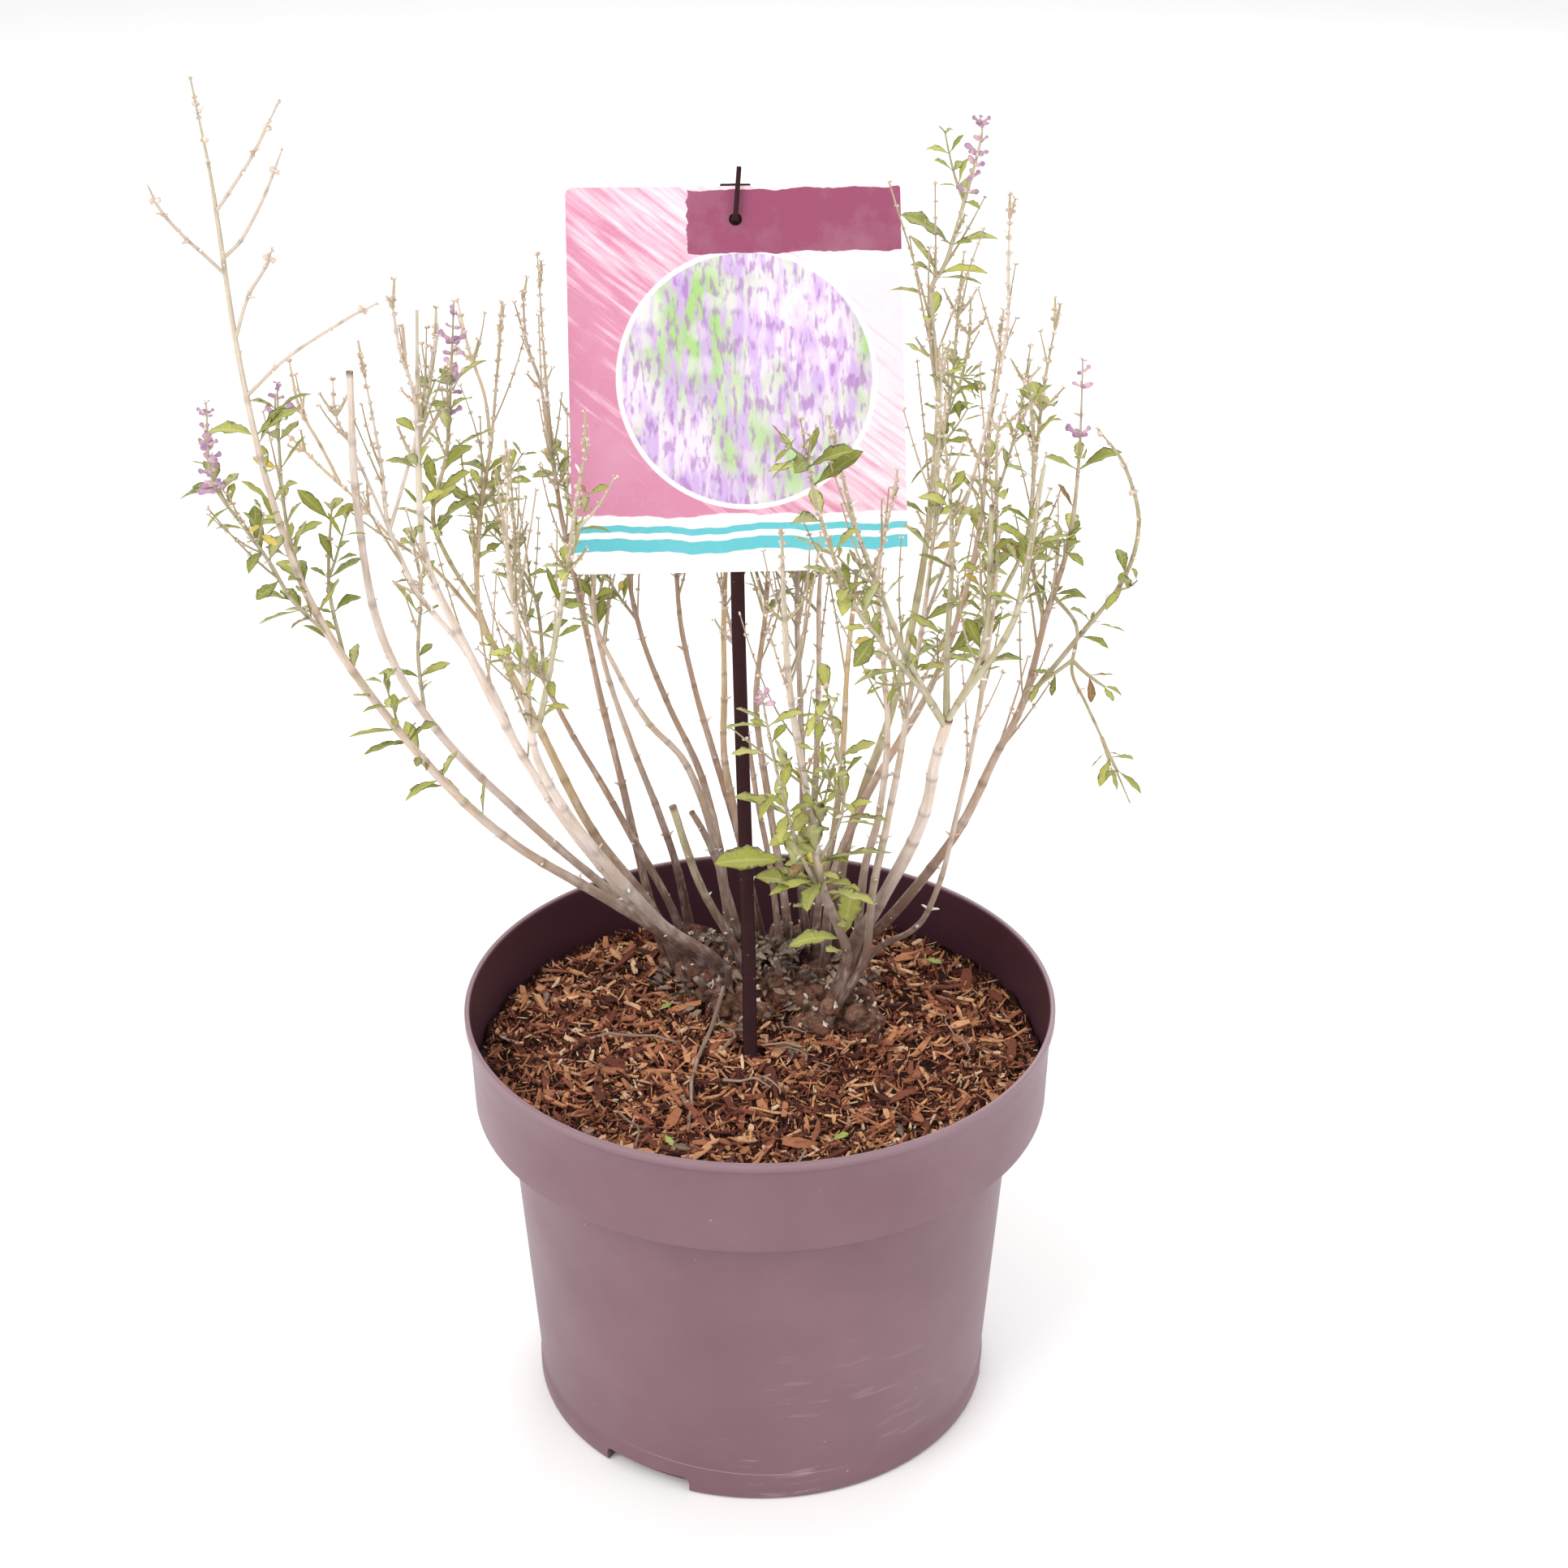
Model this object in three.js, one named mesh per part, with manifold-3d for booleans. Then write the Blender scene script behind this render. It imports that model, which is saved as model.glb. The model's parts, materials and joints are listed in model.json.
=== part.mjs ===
import * as THREE from 'three';
import { mergeVertices } from 'three/addons/utils/BufferGeometryUtils.js';
import Module from 'manifold-3d';

// A semi-woody sage in its nursery pot, with a picture label on a stake.
// Millimetres, +Z up, the front of the pot towards -Y. The origin is the middle of the pot's base.

const wasm = await Module();
wasm.setup();

// Driving dimensions of the pot
const RIM_RADIUS = 115.4;
const POT_HEIGHT = 175;
const BAND_FOOT = 134.5;
const BAND_RADIUS = 112.9;
const NECK_RADIUS = 100.1;
const BASE_RADIUS = 91.1;
const WALL = 1.8;
const FLOOR = 3;
const LIP_HEIGHT = 5;
const POT_SIDES = 32;
const DRAIN_NOTCHES = 3;
const DRAIN_WIDTH = 38;
const DRAIN_HEIGHT = 7;
const DRAIN_DEPTH = 14;
const DRAIN_TURN = -30;
const FOOT_KINK = 9;
const FOOT_FLARE = 1.2;
const FOOT_EDGE = 1.8;
const EDGE = 0.6;

// Driving dimensions of the mulch
const SOIL_LEVEL = 150;
const SOIL_MOUND = 4;
const MOUND_MIDDLE = [5, 30];
const MOUND_SPREAD = 2500;
const SOIL_BACK_DIP = 21;
const BACK_DIP_STARTS = 72;
const BACK_DIP_ENDS = 98;
const BACK_DIP_HALF_WIDTH = 55;
const BACK_DIP_SLOPE = 40;
const SHELF_LAYER = 1;
const SOIL_RINGS = [0.75, 0.58, 0.34];
const SOIL_ROUGHNESS = 0.9;

// Driving dimensions of the label and its stake
const LEAN = THREE.MathUtils.degToRad(27);
const STAKE_FOOT = new THREE.Vector3(-4, -9, 152);
const STAKE_SUNK = 60;
const STAKE_RISE = 342.3;
const STAKE_SWAY = -4.2;
const SWAY_ENDS = 210;
const STAKE_STATIONS = [60, 105, 150, 200];
const STAKE_WIDTH = 5.5;
const STAKE_DEPTH = 3;
const HOOK_WIDTH = 2.6;
const HOOK_RISE = 21;
const HOOK_BAR = 12;
const PRONG_WIDTH = 1.9;
const PRONG_TURN = THREE.MathUtils.degToRad(-4.5);
const PRONG_DEPTH = 1.6;
const PRONG_ROOM = 2.4;
const BAR_ABOVE_CARD = 1.3;
const STAKE_SIDES = 8;
const STAKE_POINT = 0.35;
const STAKE_POINT_LENGTH = 35;
const CARD_WIDTH = 131;
const CARD_HEIGHT = 151;
const CARD_TURN = THREE.MathUtils.degToRad(0.93);
const CARD_THICKNESS = 0.8;
const CARD_BOW = 2.5;
const CARD_HOLE_DROP = 13;
const CARD_HOLE_RADIUS = 2.6;
const CARD_SHIFT = 0.2;

// Clearances: between touching solids, round a stem's hole, and between neighbouring sprays.
// Sprays also keep clear of the mulch, the rim and the label.
const GAP = 0.35;
const SOCKET_GAP = 0.45;
const ROOM = 0.7;
const ABOVE_SOIL = 14;
const INSIDE_RIM = 8;
const ABOVE_RIM = 2;
const OFF_CARD = 1.5;
const BESIDE_CARD = 1;

// Every limb, leaf and twig is a row of balls, which keep that clearance
const BALLS_A_SPAN = 9;
const SHORT_SPRAY_BALLS = [0.6];
const SPRAY_BALLS = [0.15, 0.32, 0.49, 0.66, 0.83, 1];
const SHORT_SPRAY_RADIUS = 1.6;
const TWIG_RADIUS = 0.9;
const LEAF_RADIUS = 0.14;
const OWN_STEM_SHARE = 0.4;
const STAKE_BALL_STEP = 4;

// How a spray that isn't clear is turned, and how often
const TRIES = 7;
const TURN = 0.8;

// How sprays stand: the angle to their limb, and the bend up or down
const HABIT = {
  leaves: { kind: 'leaf', spread: 1.05, bend: -0.22 },
  twigs: { kind: 'twig', spread: 0.75, bend: 0.25 },
  sprigs: { kind: 'twig', spread: 0.85, bend: 0.1 },
  blooms: { kind: 'bloom', spread: 1.0, bend: 0 },
  beads: { kind: 'bead', spread: 1.2, bend: 0 },
};
const LAST_PAIR = 0.97;
const TURN_SCATTER = 0.6;
const ROLL_SCATTER = 0.9;
const BEND_SCATTER = 0.3;
const SHORTEST = 0.8;
const LENGTH_SCATTER = 0.4;

// The small leaves of a sprig
const SPRIG_GIRTH = [1.4, 0.8];
const SPRIG_PAIRS = [0.5, 0.95];
const SPRIG_LEAF = 0.55;
const SPRIG_SPREAD = 0.8;
const SPRIG_BEND = -0.1;

// Sides of a stem and of its forks, by girth, and where a fork's taper into its limb ends
const MAIN_SIDES = 5;
const SLIM_SIDES = 4;
const THIN_SIDES = 3;
const THICK_GIRTH = 5;
const THIN_GIRTH = 2;
const FORK_SHOULDER = 0.3;

// Outlines: share of the way, and half width as a share of the full width
const LARGE_LEAF = 19;
const LARGE_LEAF_OUTLINE = [[0, 0], [0.27, 0.42], [0.4, 0.32], [0.62, 0.5], [0.8, 0.32], [1, 0]];
const LEAF_OUTLINE = [[0, 0], [0.32, 0.44], [0.5, 0.32], [0.7, 0.46], [1, 0]];
const LEAF_WIDTH = 0.36;
const LEAF_KEEL = 0.45;
const TWIG_OUTLINE = [[0, 0], [0.15, 0.36], [0.86, 0.55], [1.04, 0]];
const TWIG_WIDTH = 1.9;
const BEAD_OUTLINE = [[0, 0], [0.65, 0.5], [1, 0]];
const BEAD_WIDTH = 2.6;
const FLORET_OUTLINE = [[0, 0], [0.4, 0.2], [0.86, 0.5], [1, 0]];
const FLORET_WIDTH = 0.62;

// Bark colours
const GREY = 0x9a8672;
const TAN = 0xc4ab92;
const WHITE = 0xd9c7b4;
const BROWN = 0x8a6a50;
const GOLD = 0xb89254;
const OLIVE = 0x9da06c;

// Colours of the other pieces
const PLUM = 0x8c6e76;
const RUST = 0x8c5a3c;
const OLD_WOOD = 0x6e5546;
const DARK_PLUM = 0x3a1c26;
const PINK = 0xe3b4cb;

// The burls of the rootstock: centre and radius, and their height as a share of their width
const BURL_HEIGHT = 0.85;
const BURLS = [
  [4, 46, 146, 27], [-24, 58, 147, 19], [28, 38, 148, 18], [18, 68, 148, 17], [-29, 77, 148, 12],
  [36, 20, 150, 15], [-10, 29, 152, 14],
];

// The stems. A limb runs through its points, which are in millimetres; a fork first starts on the
// limb numbered "on", at the share "at" of its way. Girth is the diameter at foot and tip.
// Each line of dress is a kind, the stretch it covers, its number of pairs and its length.
const STEMS = [
  {
    name: 'stem_far_left', bark: TAN,
    limbs: [
      {
        path: [[-10, 43, 147], [-28, 38, 171], [-59, 30, 200], [-97, 20, 233], [-127, 8, 275],
          [-157, -5, 334], [-171, -8, 384], [-179, -4, 436], [-184, 4, 494], [-189, 10, 529]],
        girth: [5.6, 1.4],
        dress: [['leaves', 0.38, 0.46, 1, 15], ['leaves', 0.46, 0.72, 3, 17],
          ['beads', 0.93, 1, 2, 3]],
      },
      { on: 0, at: 0.55, girth: [2, 1.2],
        path: [[-166, -14, 349], [-172, -22, 368], [-178, -28, 383], [-186, -34, 403],
          [-185, -36, 431]],
        dress: [['leaves', 0.15, 0.75, 3, 15], ['blooms', 0.76, 1, 3, 6]] },
      { on: 0, at: 0.6, girth: [1.8, 1.2], path: [[-169, 2, 375], [-171, 12, 395], [-171, 20, 419]],
        dress: [['leaves', 0.2, 0.8, 2, 14], ['blooms', 0.85, 1, 2, 6]] },
      { on: 0, at: 0.53, girth: [1.8, 1.2],
        path: [[-156, 6, 341], [-157, 14, 353], [-155, 20, 373]],
        dress: [['leaves', 0.25, 0.95, 2, 15]] },
      { on: 0, at: 0.75, girth: [1.6, 1.2], path: [[-160, -16, 440], [-137, -32, 458], [-125, -40, 466]],
        dress: [['beads', 0.7, 1, 1, 3]] },
      { on: 0, at: 0.79, girth: [1.6, 1.2], path: [[-173, -9, 459], [-165, -16, 471], [-161, -22, 479]],
        dress: [['beads', 0.7, 1, 1, 3]] },
      { on: 0, at: 0.83, girth: [1.6, 1.2],
        path: [[-187, -8, 474], [-191, -16, 482], [-196, -24, 493], [-198, -30, 503]],
        dress: [['beads', 0.7, 1, 1, 3]] },
      { on: 0, at: 0.84, girth: [1.6, 1.2], path: [[-176, 6, 475], [-169, 16, 487], [-163, 24, 501]],
        dress: [['beads', 0.7, 1, 1, 3]] },
      { on: 0, at: 0.87, girth: [1.6, 1.2], path: [[-176, 0, 495], [-168, -6, 506], [-156, -14, 526]],
        dress: [['beads', 0.7, 1, 1, 3]] },
    ],
  },
  {
    name: 'stem_left_cut', bark: WHITE,
    limbs: [
      {
        path: [[-22, 49, 147], [-38, 46, 176], [-63, 42, 201], [-92, 38, 233], [-123, 30, 275],
          [-141, 22, 320], [-146, 20, 373], [-145, 20, 423]],
        girth: [4.6, 3], dress: [],
      },
      { on: 0, at: 0.6, girth: [1.8, 1.2], path: [[-130, 38, 305], [-128, 44, 330], [-131, 46, 352]],
        dress: [['leaves', 0.2, 0.9, 2, 15]] },
    ],
  },
  {
    name: 'stem_left_twiggy', bark: WHITE,
    limbs: [
      {
        path: [[-14, 32, 147], [-31, 25, 180], [-53, 14, 213], [-73, 2, 250], [-90, -8, 289],
          [-106, -16, 334], [-117, -18, 366], [-118, -14, 404], [-116, -8, 454]],
        girth: [5, 2.4], dress: [['leaves', 0.8, 0.92, 1, 13]],
      },
      { on: 0, at: 0.5, girth: [3.2, 1.2],
        path: [[-98, -4, 309], [-110, 2, 326], [-124, 8, 342], [-134, 14, 366], [-136, 18, 390],
          [-141, 24, 427]],
        dress: [['twigs', 0.5, 0.98, 2, 11]] },
      { on: 1, at: 0.64, girth: [1.6, 1.2], path: [[-147, 31, 388], [-154, 38, 400], [-155, 43, 412]],
        dress: [['twigs', 0.4, 0.95, 1, 8]] },
      { on: 1, at: 0.66, girth: [1.6, 1.2],
        path: [[-126, 10, 388], [-121, 4, 403], [-113, -2, 433], [-110, -6, 447]],
        dress: [['twigs', 0.4, 0.95, 2, 8]] },
      { on: 0, at: 0.86, girth: [1.6, 1.2], path: [[-117, -22, 428], [-120, -28, 446], [-121, -32, 465]],
        dress: [['twigs', 0.3, 0.95, 2, 7]] },
    ],
  },
  {
    name: 'stem_left_forked', bark: WHITE,
    limbs: [
      {
        path: [[-6, 22, 147], [-24, 17, 180], [-46, 6, 213], [-68, -14, 257], [-80, -26, 290],
          [-82, -34, 317], [-84, -40, 350], [-86, -42, 378], [-84, -40, 415]],
        girth: [6, 1.2],
        dress: [['sprigs', 0.6, 0.75, 1, 14], ['twigs', 0.68, 0.98, 2, 9]],
      },
      { on: 0, at: 0.58, girth: [3, 1.2],
        path: [[-78, -38, 312], [-70, -47, 350], [-65, -52, 376], [-60, -58, 406], [-56, -60, 424]],
        dress: [['leaves', 0.25, 0.6, 2, 12], ['twigs', 0.6, 0.98, 2, 10]] },
    ],
  },
  {
    name: 'stem_left_brown', bark: GOLD,
    limbs: [
      {
        path: [[-30, 52, 147], [-44, 55, 182], [-68, 58, 218], [-87, 60, 262], [-98, 60, 288],
          [-108, 58, 312], [-106, 58, 350], [-100, 64, 384], [-95, 74, 432]],
        girth: [5.2, 1.2],
        dress: [['leaves', 0.72, 0.82, 1, 16], ['twigs', 0.78, 0.98, 2, 9]],
      },
      { on: 0, at: 0.64, girth: [2.2, 1.2],
        path: [[-118, 52, 338], [-122, 46, 358], [-115, 42, 384], [-112, 42, 410], [-109, 42, 442]],
        dress: [['leaves', 0.35, 0.8, 2, 21], ['blooms', 0.72, 1, 4, 7]] },
      { on: 0, at: 0.61, girth: [1.8, 1.2],
        path: [[-124, 60, 330], [-140, 66, 340], [-151, 72, 350], [-163, 78, 361]],
        dress: [['twigs', 0.5, 0.95, 1, 8]] },
      { on: 2, at: 0.9, girth: [1.6, 1.2], path: [[-168, 84, 362], [-177, 92, 368], [-185, 98, 373]],
        dress: [['twigs', 0.3, 0.95, 1, 6]] },
      { on: 2, at: 0.96, girth: [1.6, 1.2], path: [[-168, 80, 374], [-175, 82, 388], [-178, 86, 405]],
        dress: [['twigs', 0.3, 0.95, 1, 6]] },
      { on: 0, at: 0.86, girth: [1.6, 1.2], path: [[-103, 72, 396], [-109, 80, 412], [-113, 88, 428]],
        dress: [['twigs', 0.2, 0.95, 1, 7]] },
    ],
  },
  {
    name: 'stem_left_back', bark: BROWN,
    limbs: [
      {
        path: [[-30, 64, 147], [-36, 66, 175], [-54, 72, 210], [-64, 77, 228], [-78, 84, 252],
          [-91, 92, 280], [-95, 100, 310], [-100, 106, 352]],
        girth: [4.2, 1.2],
        dress: [['leaves', 0.8, 0.9, 1, 15], ['twigs', 0.82, 0.98, 1, 9]],
      },
      { on: 0, at: 0.66, girth: [1.8, 1.2], path: [[-90, 104, 298], [-102, 118, 320], [-112, 130, 350]],
        dress: [['leaves', 0.25, 0.8, 2, 15], ['twigs', 0.75, 0.98, 1, 8]] },
    ],
  },
  {
    name: 'stem_card_left', bark: BROWN,
    limbs: [
      {
        path: [[-38, 68, 147], [-48, 75, 186], [-57, 86, 227], [-65, 94, 262], [-72, 100, 300],
          [-79, 104, 340], [-82, 106, 380], [-84, 110, 440]],
        girth: [4.4, 1.2], dress: [['leaves', 0.6, 0.78, 2, 15], ['twigs', 0.74, 0.98, 2, 9]],
      },
      { on: 0, at: 0.8, girth: [1.6, 1.2], path: [[-84, 98, 392], [-88, 92, 411], [-88, 86, 432]],
        dress: [['twigs', 0.3, 0.95, 2, 7]] },
    ],
  },
  {
    name: 'stem_back_left', bark: TAN,
    limbs: [
      {
        path: [[-28, 80, 147], [-34, 88, 180], [-42, 97, 204], [-54, 106, 235], [-64, 116, 265],
          [-71, 128, 302], [-74, 140, 345], [-72, 150, 392]],
        girth: [4.2, 1.2], dress: [['leaves', 0.66, 0.84, 2, 15], ['twigs', 0.82, 0.98, 1, 9]],
      },
      { on: 0, at: 0.64, girth: [1.8, 1.2], path: [[-60, 136, 312], [-48, 148, 338], [-44, 156, 372]],
        dress: [['leaves', 0.2, 0.7, 2, 14], ['twigs', 0.7, 0.98, 1, 8]] },
    ],
  },
  {
    name: 'stem_back_middle_left', bark: BROWN,
    limbs: [
      {
        path: [[-12, 72, 147], [-16, 82, 191], [-24, 98, 221], [-38, 116, 246], [-49, 132, 270],
          [-55, 144, 300], [-56, 158, 345], [-52, 168, 388]],
        girth: [4.2, 1.2], dress: [['leaves', 0.7, 0.84, 1, 15], ['twigs', 0.82, 0.98, 1, 9]],
      },
      { on: 0, at: 0.6, girth: [1.6, 1.2], path: [[-62, 142, 290], [-78, 156, 318], [-86, 164, 350]],
        dress: [['leaves', 0.25, 0.75, 2, 14], ['twigs', 0.7, 0.98, 1, 8]] },
    ],
  },
  {
    name: 'stem_middle_left', bark: TAN,
    limbs: [
      {
        path: [[-9, 56, 147], [-18, 61, 208], [-29, 66, 242], [-44, 74, 257], [-56, 82, 275],
          [-66, 92, 300], [-60, 108, 340], [-50, 128, 392]],
        girth: [4, 1.2], dress: [['leaves', 0.7, 0.82, 1, 14], ['twigs', 0.8, 0.98, 1, 9]],
      },
    ],
  },
  {
    name: 'stem_back_middle', bark: BROWN,
    limbs: [
      {
        path: [[2, 76, 147], [-8, 90, 194], [-19, 106, 228], [-27, 124, 250], [-33, 140, 275],
          [-34, 152, 305], [-30, 162, 350], [-24, 170, 400]],
        girth: [4, 1.2], dress: [['leaves', 0.68, 0.84, 2, 15], ['twigs', 0.82, 0.98, 1, 9]],
      },
      { on: 0, at: 0.66, girth: [1.6, 1.2], path: [[-20, 158, 316], [-8, 164, 340], [-2, 168, 372]],
        dress: [['leaves', 0.2, 0.8, 2, 14]] },
    ],
  },
  {
    name: 'stem_behind_card', bark: GOLD,
    limbs: [
      {
        path: [[1, 60, 147], [-8, 68, 208], [-14, 80, 238], [-14, 94, 262], [-14, 108, 290],
          [-12, 122, 325], [-8, 136, 370], [-6, 150, 415]],
        girth: [4.2, 1.2], dress: [['leaves', 0.7, 0.84, 1, 15], ['twigs', 0.8, 0.98, 1, 9]],
      },
    ],
  },
  {
    name: 'stem_behind_stake', bark: BROWN,
    limbs: [
      {
        path: [[10, 44, 147], [5, 48, 200], [-1, 58, 232], [-5, 66, 260], [-10, 78, 292],
          [-18, 92, 322]],
        girth: [3.2, 1.2], dress: [['twigs', 0.6, 0.98, 1, 9]],
      },
    ],
  },
  {
    name: 'stem_middle', bark: BROWN,
    limbs: [
      {
        path: [[14, 54, 147], [10, 60, 185], [4, 76, 220], [-1, 90, 258], [3, 102, 294],
          [6, 116, 336], [14, 132, 385]],
        girth: [4.4, 1.2], dress: [['leaves', 0.68, 0.84, 1, 15], ['twigs', 0.8, 0.98, 1, 9]],
      },
      { on: 0, at: 0.68, girth: [1.8, 1.2], path: [[-2, 114, 312], [-6, 126, 340]],
        dress: [['leaves', 0.3, 0.9, 1, 14]] },
    ],
  },
  {
    name: 'stem_middle_right', bark: GREY,
    limbs: [
      {
        path: [[22, 60, 147], [17, 68, 186], [18, 82, 220], [17, 96, 258], [16, 112, 300],
          [22, 128, 345], [30, 144, 405]],
        girth: [4.2, 1.2], dress: [['leaves', 0.7, 0.84, 1, 14], ['twigs', 0.8, 0.98, 1, 9]],
      },
    ],
  },
  {
    name: 'stem_back_right', bark: TAN,
    limbs: [
      {
        path: [[24, 72, 147], [22, 84, 190], [24, 100, 228], [25, 114, 260], [26, 130, 300],
          [34, 146, 345], [44, 158, 395]],
        girth: [4, 1.2], dress: [['leaves', 0.68, 0.84, 2, 15], ['twigs', 0.82, 0.98, 1, 9]],
      },
      { on: 0, at: 0.6, girth: [1.8, 1.2], path: [[16, 136, 292], [6, 150, 318], [4, 160, 350]],
        dress: [['leaves', 0.3, 0.8, 2, 14], ['twigs', 0.8, 0.98, 1, 8]] },
    ],
  },
  {
    name: 'stem_right_yellow', bark: GOLD,
    limbs: [
      {
        path: [[22, 47, 147], [24, 56, 182], [30, 64, 210], [34, 76, 243], [36, 90, 275],
          [40, 104, 312], [44, 120, 352], [46, 134, 400]],
        girth: [4, 1.2], dress: [['leaves', 0.7, 0.84, 1, 15], ['twigs', 0.8, 0.98, 1, 9]],
      },
    ],
  },
  {
    name: 'stem_tall_right', bark: OLIVE,
    limbs: [
      {
        path: [[32, 60, 147], [34, 70, 192], [43, 80, 224], [52, 84, 250], [60, 88, 284],
          [66, 92, 320], [69, 94, 355], [70, 94, 391], [66, 92, 428], [72, 90, 444], [82, 84, 487],
          [82, 84, 498]],
        girth: [4.8, 1.2],
        dress: [['leaves', 0.5, 0.7, 2, 16], ['twigs', 0.66, 0.84, 2, 10],
          ['leaves', 0.8, 0.86, 1, 22], ['leaves', 0.74, 0.8, 1, 16], ['blooms', 0.9, 1, 3, 6]],
      },
      { on: 0, at: 0.58, girth: [1.8, 1.2],
        path: [[72, 102, 360], [76, 108, 384], [78, 112, 410], [80, 116, 438]],
        dress: [['leaves', 0.15, 0.6, 2, 15], ['twigs', 0.6, 0.98, 1, 9]] },
      { on: 0, at: 0.66, girth: [1.6, 1.2], path: [[76, 86, 392], [80, 82, 412], [80, 76, 432]],
        dress: [['leaves', 0.2, 0.5, 1, 14], ['twigs', 0.5, 0.98, 1, 8]] },
    ],
  },
  {
    name: 'stem_right_long', bark: BROWN,
    limbs: [
      {
        path: [[26, 36, 147], [29, 50, 195], [42, 60, 228], [56, 66, 252], [68, 72, 272],
          [78, 76, 298], [86, 78, 335], [88, 74, 371], [89, 70, 398], [91, 64, 428]],
        girth: [4.4, 1.2],
        dress: [['leaves', 0.5, 0.76, 2, 15], ['twigs', 0.76, 0.98, 2, 9]],
      },
      { on: 0, at: 0.6, girth: [1.6, 1.2], path: [[94, 88, 350], [102, 98, 376], [106, 104, 404]],
        dress: [['leaves', 0.2, 0.7, 2, 15], ['twigs', 0.7, 0.98, 1, 8]] },
    ],
  },
  {
    name: 'stem_right_pale', bark: TAN,
    limbs: [
      {
        path: [[38, 38, 147], [41, 32, 208], [47, 34, 236], [50, 38, 268], [48, 42, 300],
          [46, 50, 332], [52, 44, 372]],
        girth: [4.2, 1.2], dress: [['twigs', 0.66, 0.98, 2, 9]],
      },
    ],
  },
  {
    name: 'stem_right_upright', bark: TAN,
    limbs: [
      {
        path: [[42, 12, 147], [43, 5, 210], [48, -3, 250], [52, -8, 280], [55, -9, 305],
          [61, 2, 340], [65, 16, 378], [67, 34, 428]],
        girth: [4, 1.2],
        dress: [['leaves', 0.62, 0.84, 2, 15], ['twigs', 0.8, 0.98, 2, 9]],
      },
      { on: 0, at: 0.68, girth: [1.8, 1.2],
        path: [[76, 26, 368], [85, 38, 400], [91, 46, 428], [91, 50, 452], [91, 52, 472]],
        dress: [['twigs', 0.3, 0.98, 2, 8]] },
    ],
  },
  {
    name: 'stem_right_forked', bark: WHITE,
    limbs: [
      {
        path: [[31, 24, 147], [36, 21, 182], [45, 14, 204], [58, 2, 240], [63, -6, 262],
          [65, -12, 282], [69, -18, 303]],
        girth: [6.6, 4.4], dress: [],
      },
      { on: 0, at: 0.97, girth: [3.4, 1.2],
        path: [[54, -30, 330], [43, -44, 362], [33, -52, 392], [25, -56, 426]],
        dress: [['leaves', 0.4, 0.6, 1, 14], ['twigs', 0.6, 0.98, 2, 9]] },
      { on: 1, at: 0.12, girth: [2.2, 1.2],
        path: [[44, -44, 344], [34, -54, 362], [24, -60, 388], [18, -64, 412], [14, -70, 436]],
        dress: [['leaves', 0.1, 0.85, 3, 18]] },
      { on: 0, at: 0.98, girth: [3, 1.2],
        path: [[68, -16, 328], [69, -12, 361], [68, -8, 386], [65, -4, 412]],
        dress: [['leaves', 0.3, 0.7, 2, 17], ['twigs', 0.66, 0.98, 2, 10]] },
      { on: 0, at: 0.99, girth: [3, 2], path: [[78, -24, 326], [81, -28, 348], [81, -28, 390]],
        dress: [['leaves', 0.35, 0.8, 2, 15]] },
      { on: 4, at: 0.12, girth: [3, 2.2], path: [[88, -30, 342], [93, -33, 365], [98, -34, 407]],
        dress: [['leaves', 0.6, 0.95, 1, 15]] },
    ],
  },
  {
    name: 'stem_right_outer', bark: BROWN,
    limbs: [
      {
        path: [[30, 46, 147], [40, 42, 170], [57, 34, 196], [78, 30, 231], [91, 28, 264],
          [101, 26, 289], [108, 26, 324], [115, 26, 353], [117, 24, 386], [116, 20, 427]],
        girth: [5.6, 1.2],
        dress: [['leaves', 0.7, 0.88, 3, 16], ['blooms', 0.92, 1, 2, 6]],
      },
      { on: 0, at: 0.55, girth: [2.6, 1.2],
        path: [[119, 14, 321], [133, 6, 347], [137, 2, 371], [131, 4, 392], [121, 8, 405]],
        dress: [['leaves', 0.25, 0.42, 2, 14], ['beads', 0.7, 1, 2, 3]] },
      { on: 0, at: 0.66, girth: [2.4, 1.2],
        path: [[103, 34, 342], [102, 38, 365], [105, 42, 408], [109, 46, 433]],
        dress: [['leaves', 0.3, 0.7, 2, 17], ['twigs', 0.7, 0.98, 2, 10]] },
      { on: 0, at: 0.7, girth: [1.8, 1.2], path: [[118, 12, 326], [116, 4, 312], [121, -4, 302],
        [129, -10, 286], [138, -14, 266]],
        dress: [['sprigs', 0.35, 0.75, 2, 18]] },
    ],
  },
  {
    name: 'stem_right_thin', bark: TAN,
    limbs: [
      {
        path: [[40, 30, 147], [50, 26, 180], [62, 19, 193], [70, 13, 217], [75, 8, 247],
          [81, 5, 286], [85, 6, 321], [87, 8, 352], [86, 14, 397], [89, 18, 414]],
        girth: [3.2, 1.2],
        dress: [['leaves', 0.7, 0.84, 2, 15], ['twigs', 0.84, 0.98, 1, 9]],
      },
      { on: 0, at: 0.72, girth: [2, 1.4], path: [[98, 14, 360], [100, 20, 392], [97, 22, 418]],
        dress: [['leaves', 0.3, 0.9, 2, 15]] },
    ],
  },
  {
    name: 'stem_front_leafy', bark: WHITE,
    limbs: [
      {
        path: [[35, 12, 147], [33, 10, 190], [24, 2, 222], [20, -8, 253], [15, -22, 291],
          [11, -32, 322], [9, -42, 357], [8, -50, 389]],
        girth: [4.6, 2.2],
        dress: [['leaves', 0.16, 0.3, 2, 24], ['leaves', 0.34, 0.5, 2, 15],
          ['twigs', 0.72, 0.95, 1, 10]],
      },
      { on: 0, at: 0.24, girth: [2, 1.2],
        path: [[16, -8, 240], [12, -20, 260], [8, -30, 281], [4, -40, 306], [1, -48, 328]],
        dress: [['leaves', 0.1, 0.85, 3, 16], ['blooms', 0.94, 1, 1, 5]] },
      { on: 0, at: 0.34, girth: [1.8, 1.2],
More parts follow.
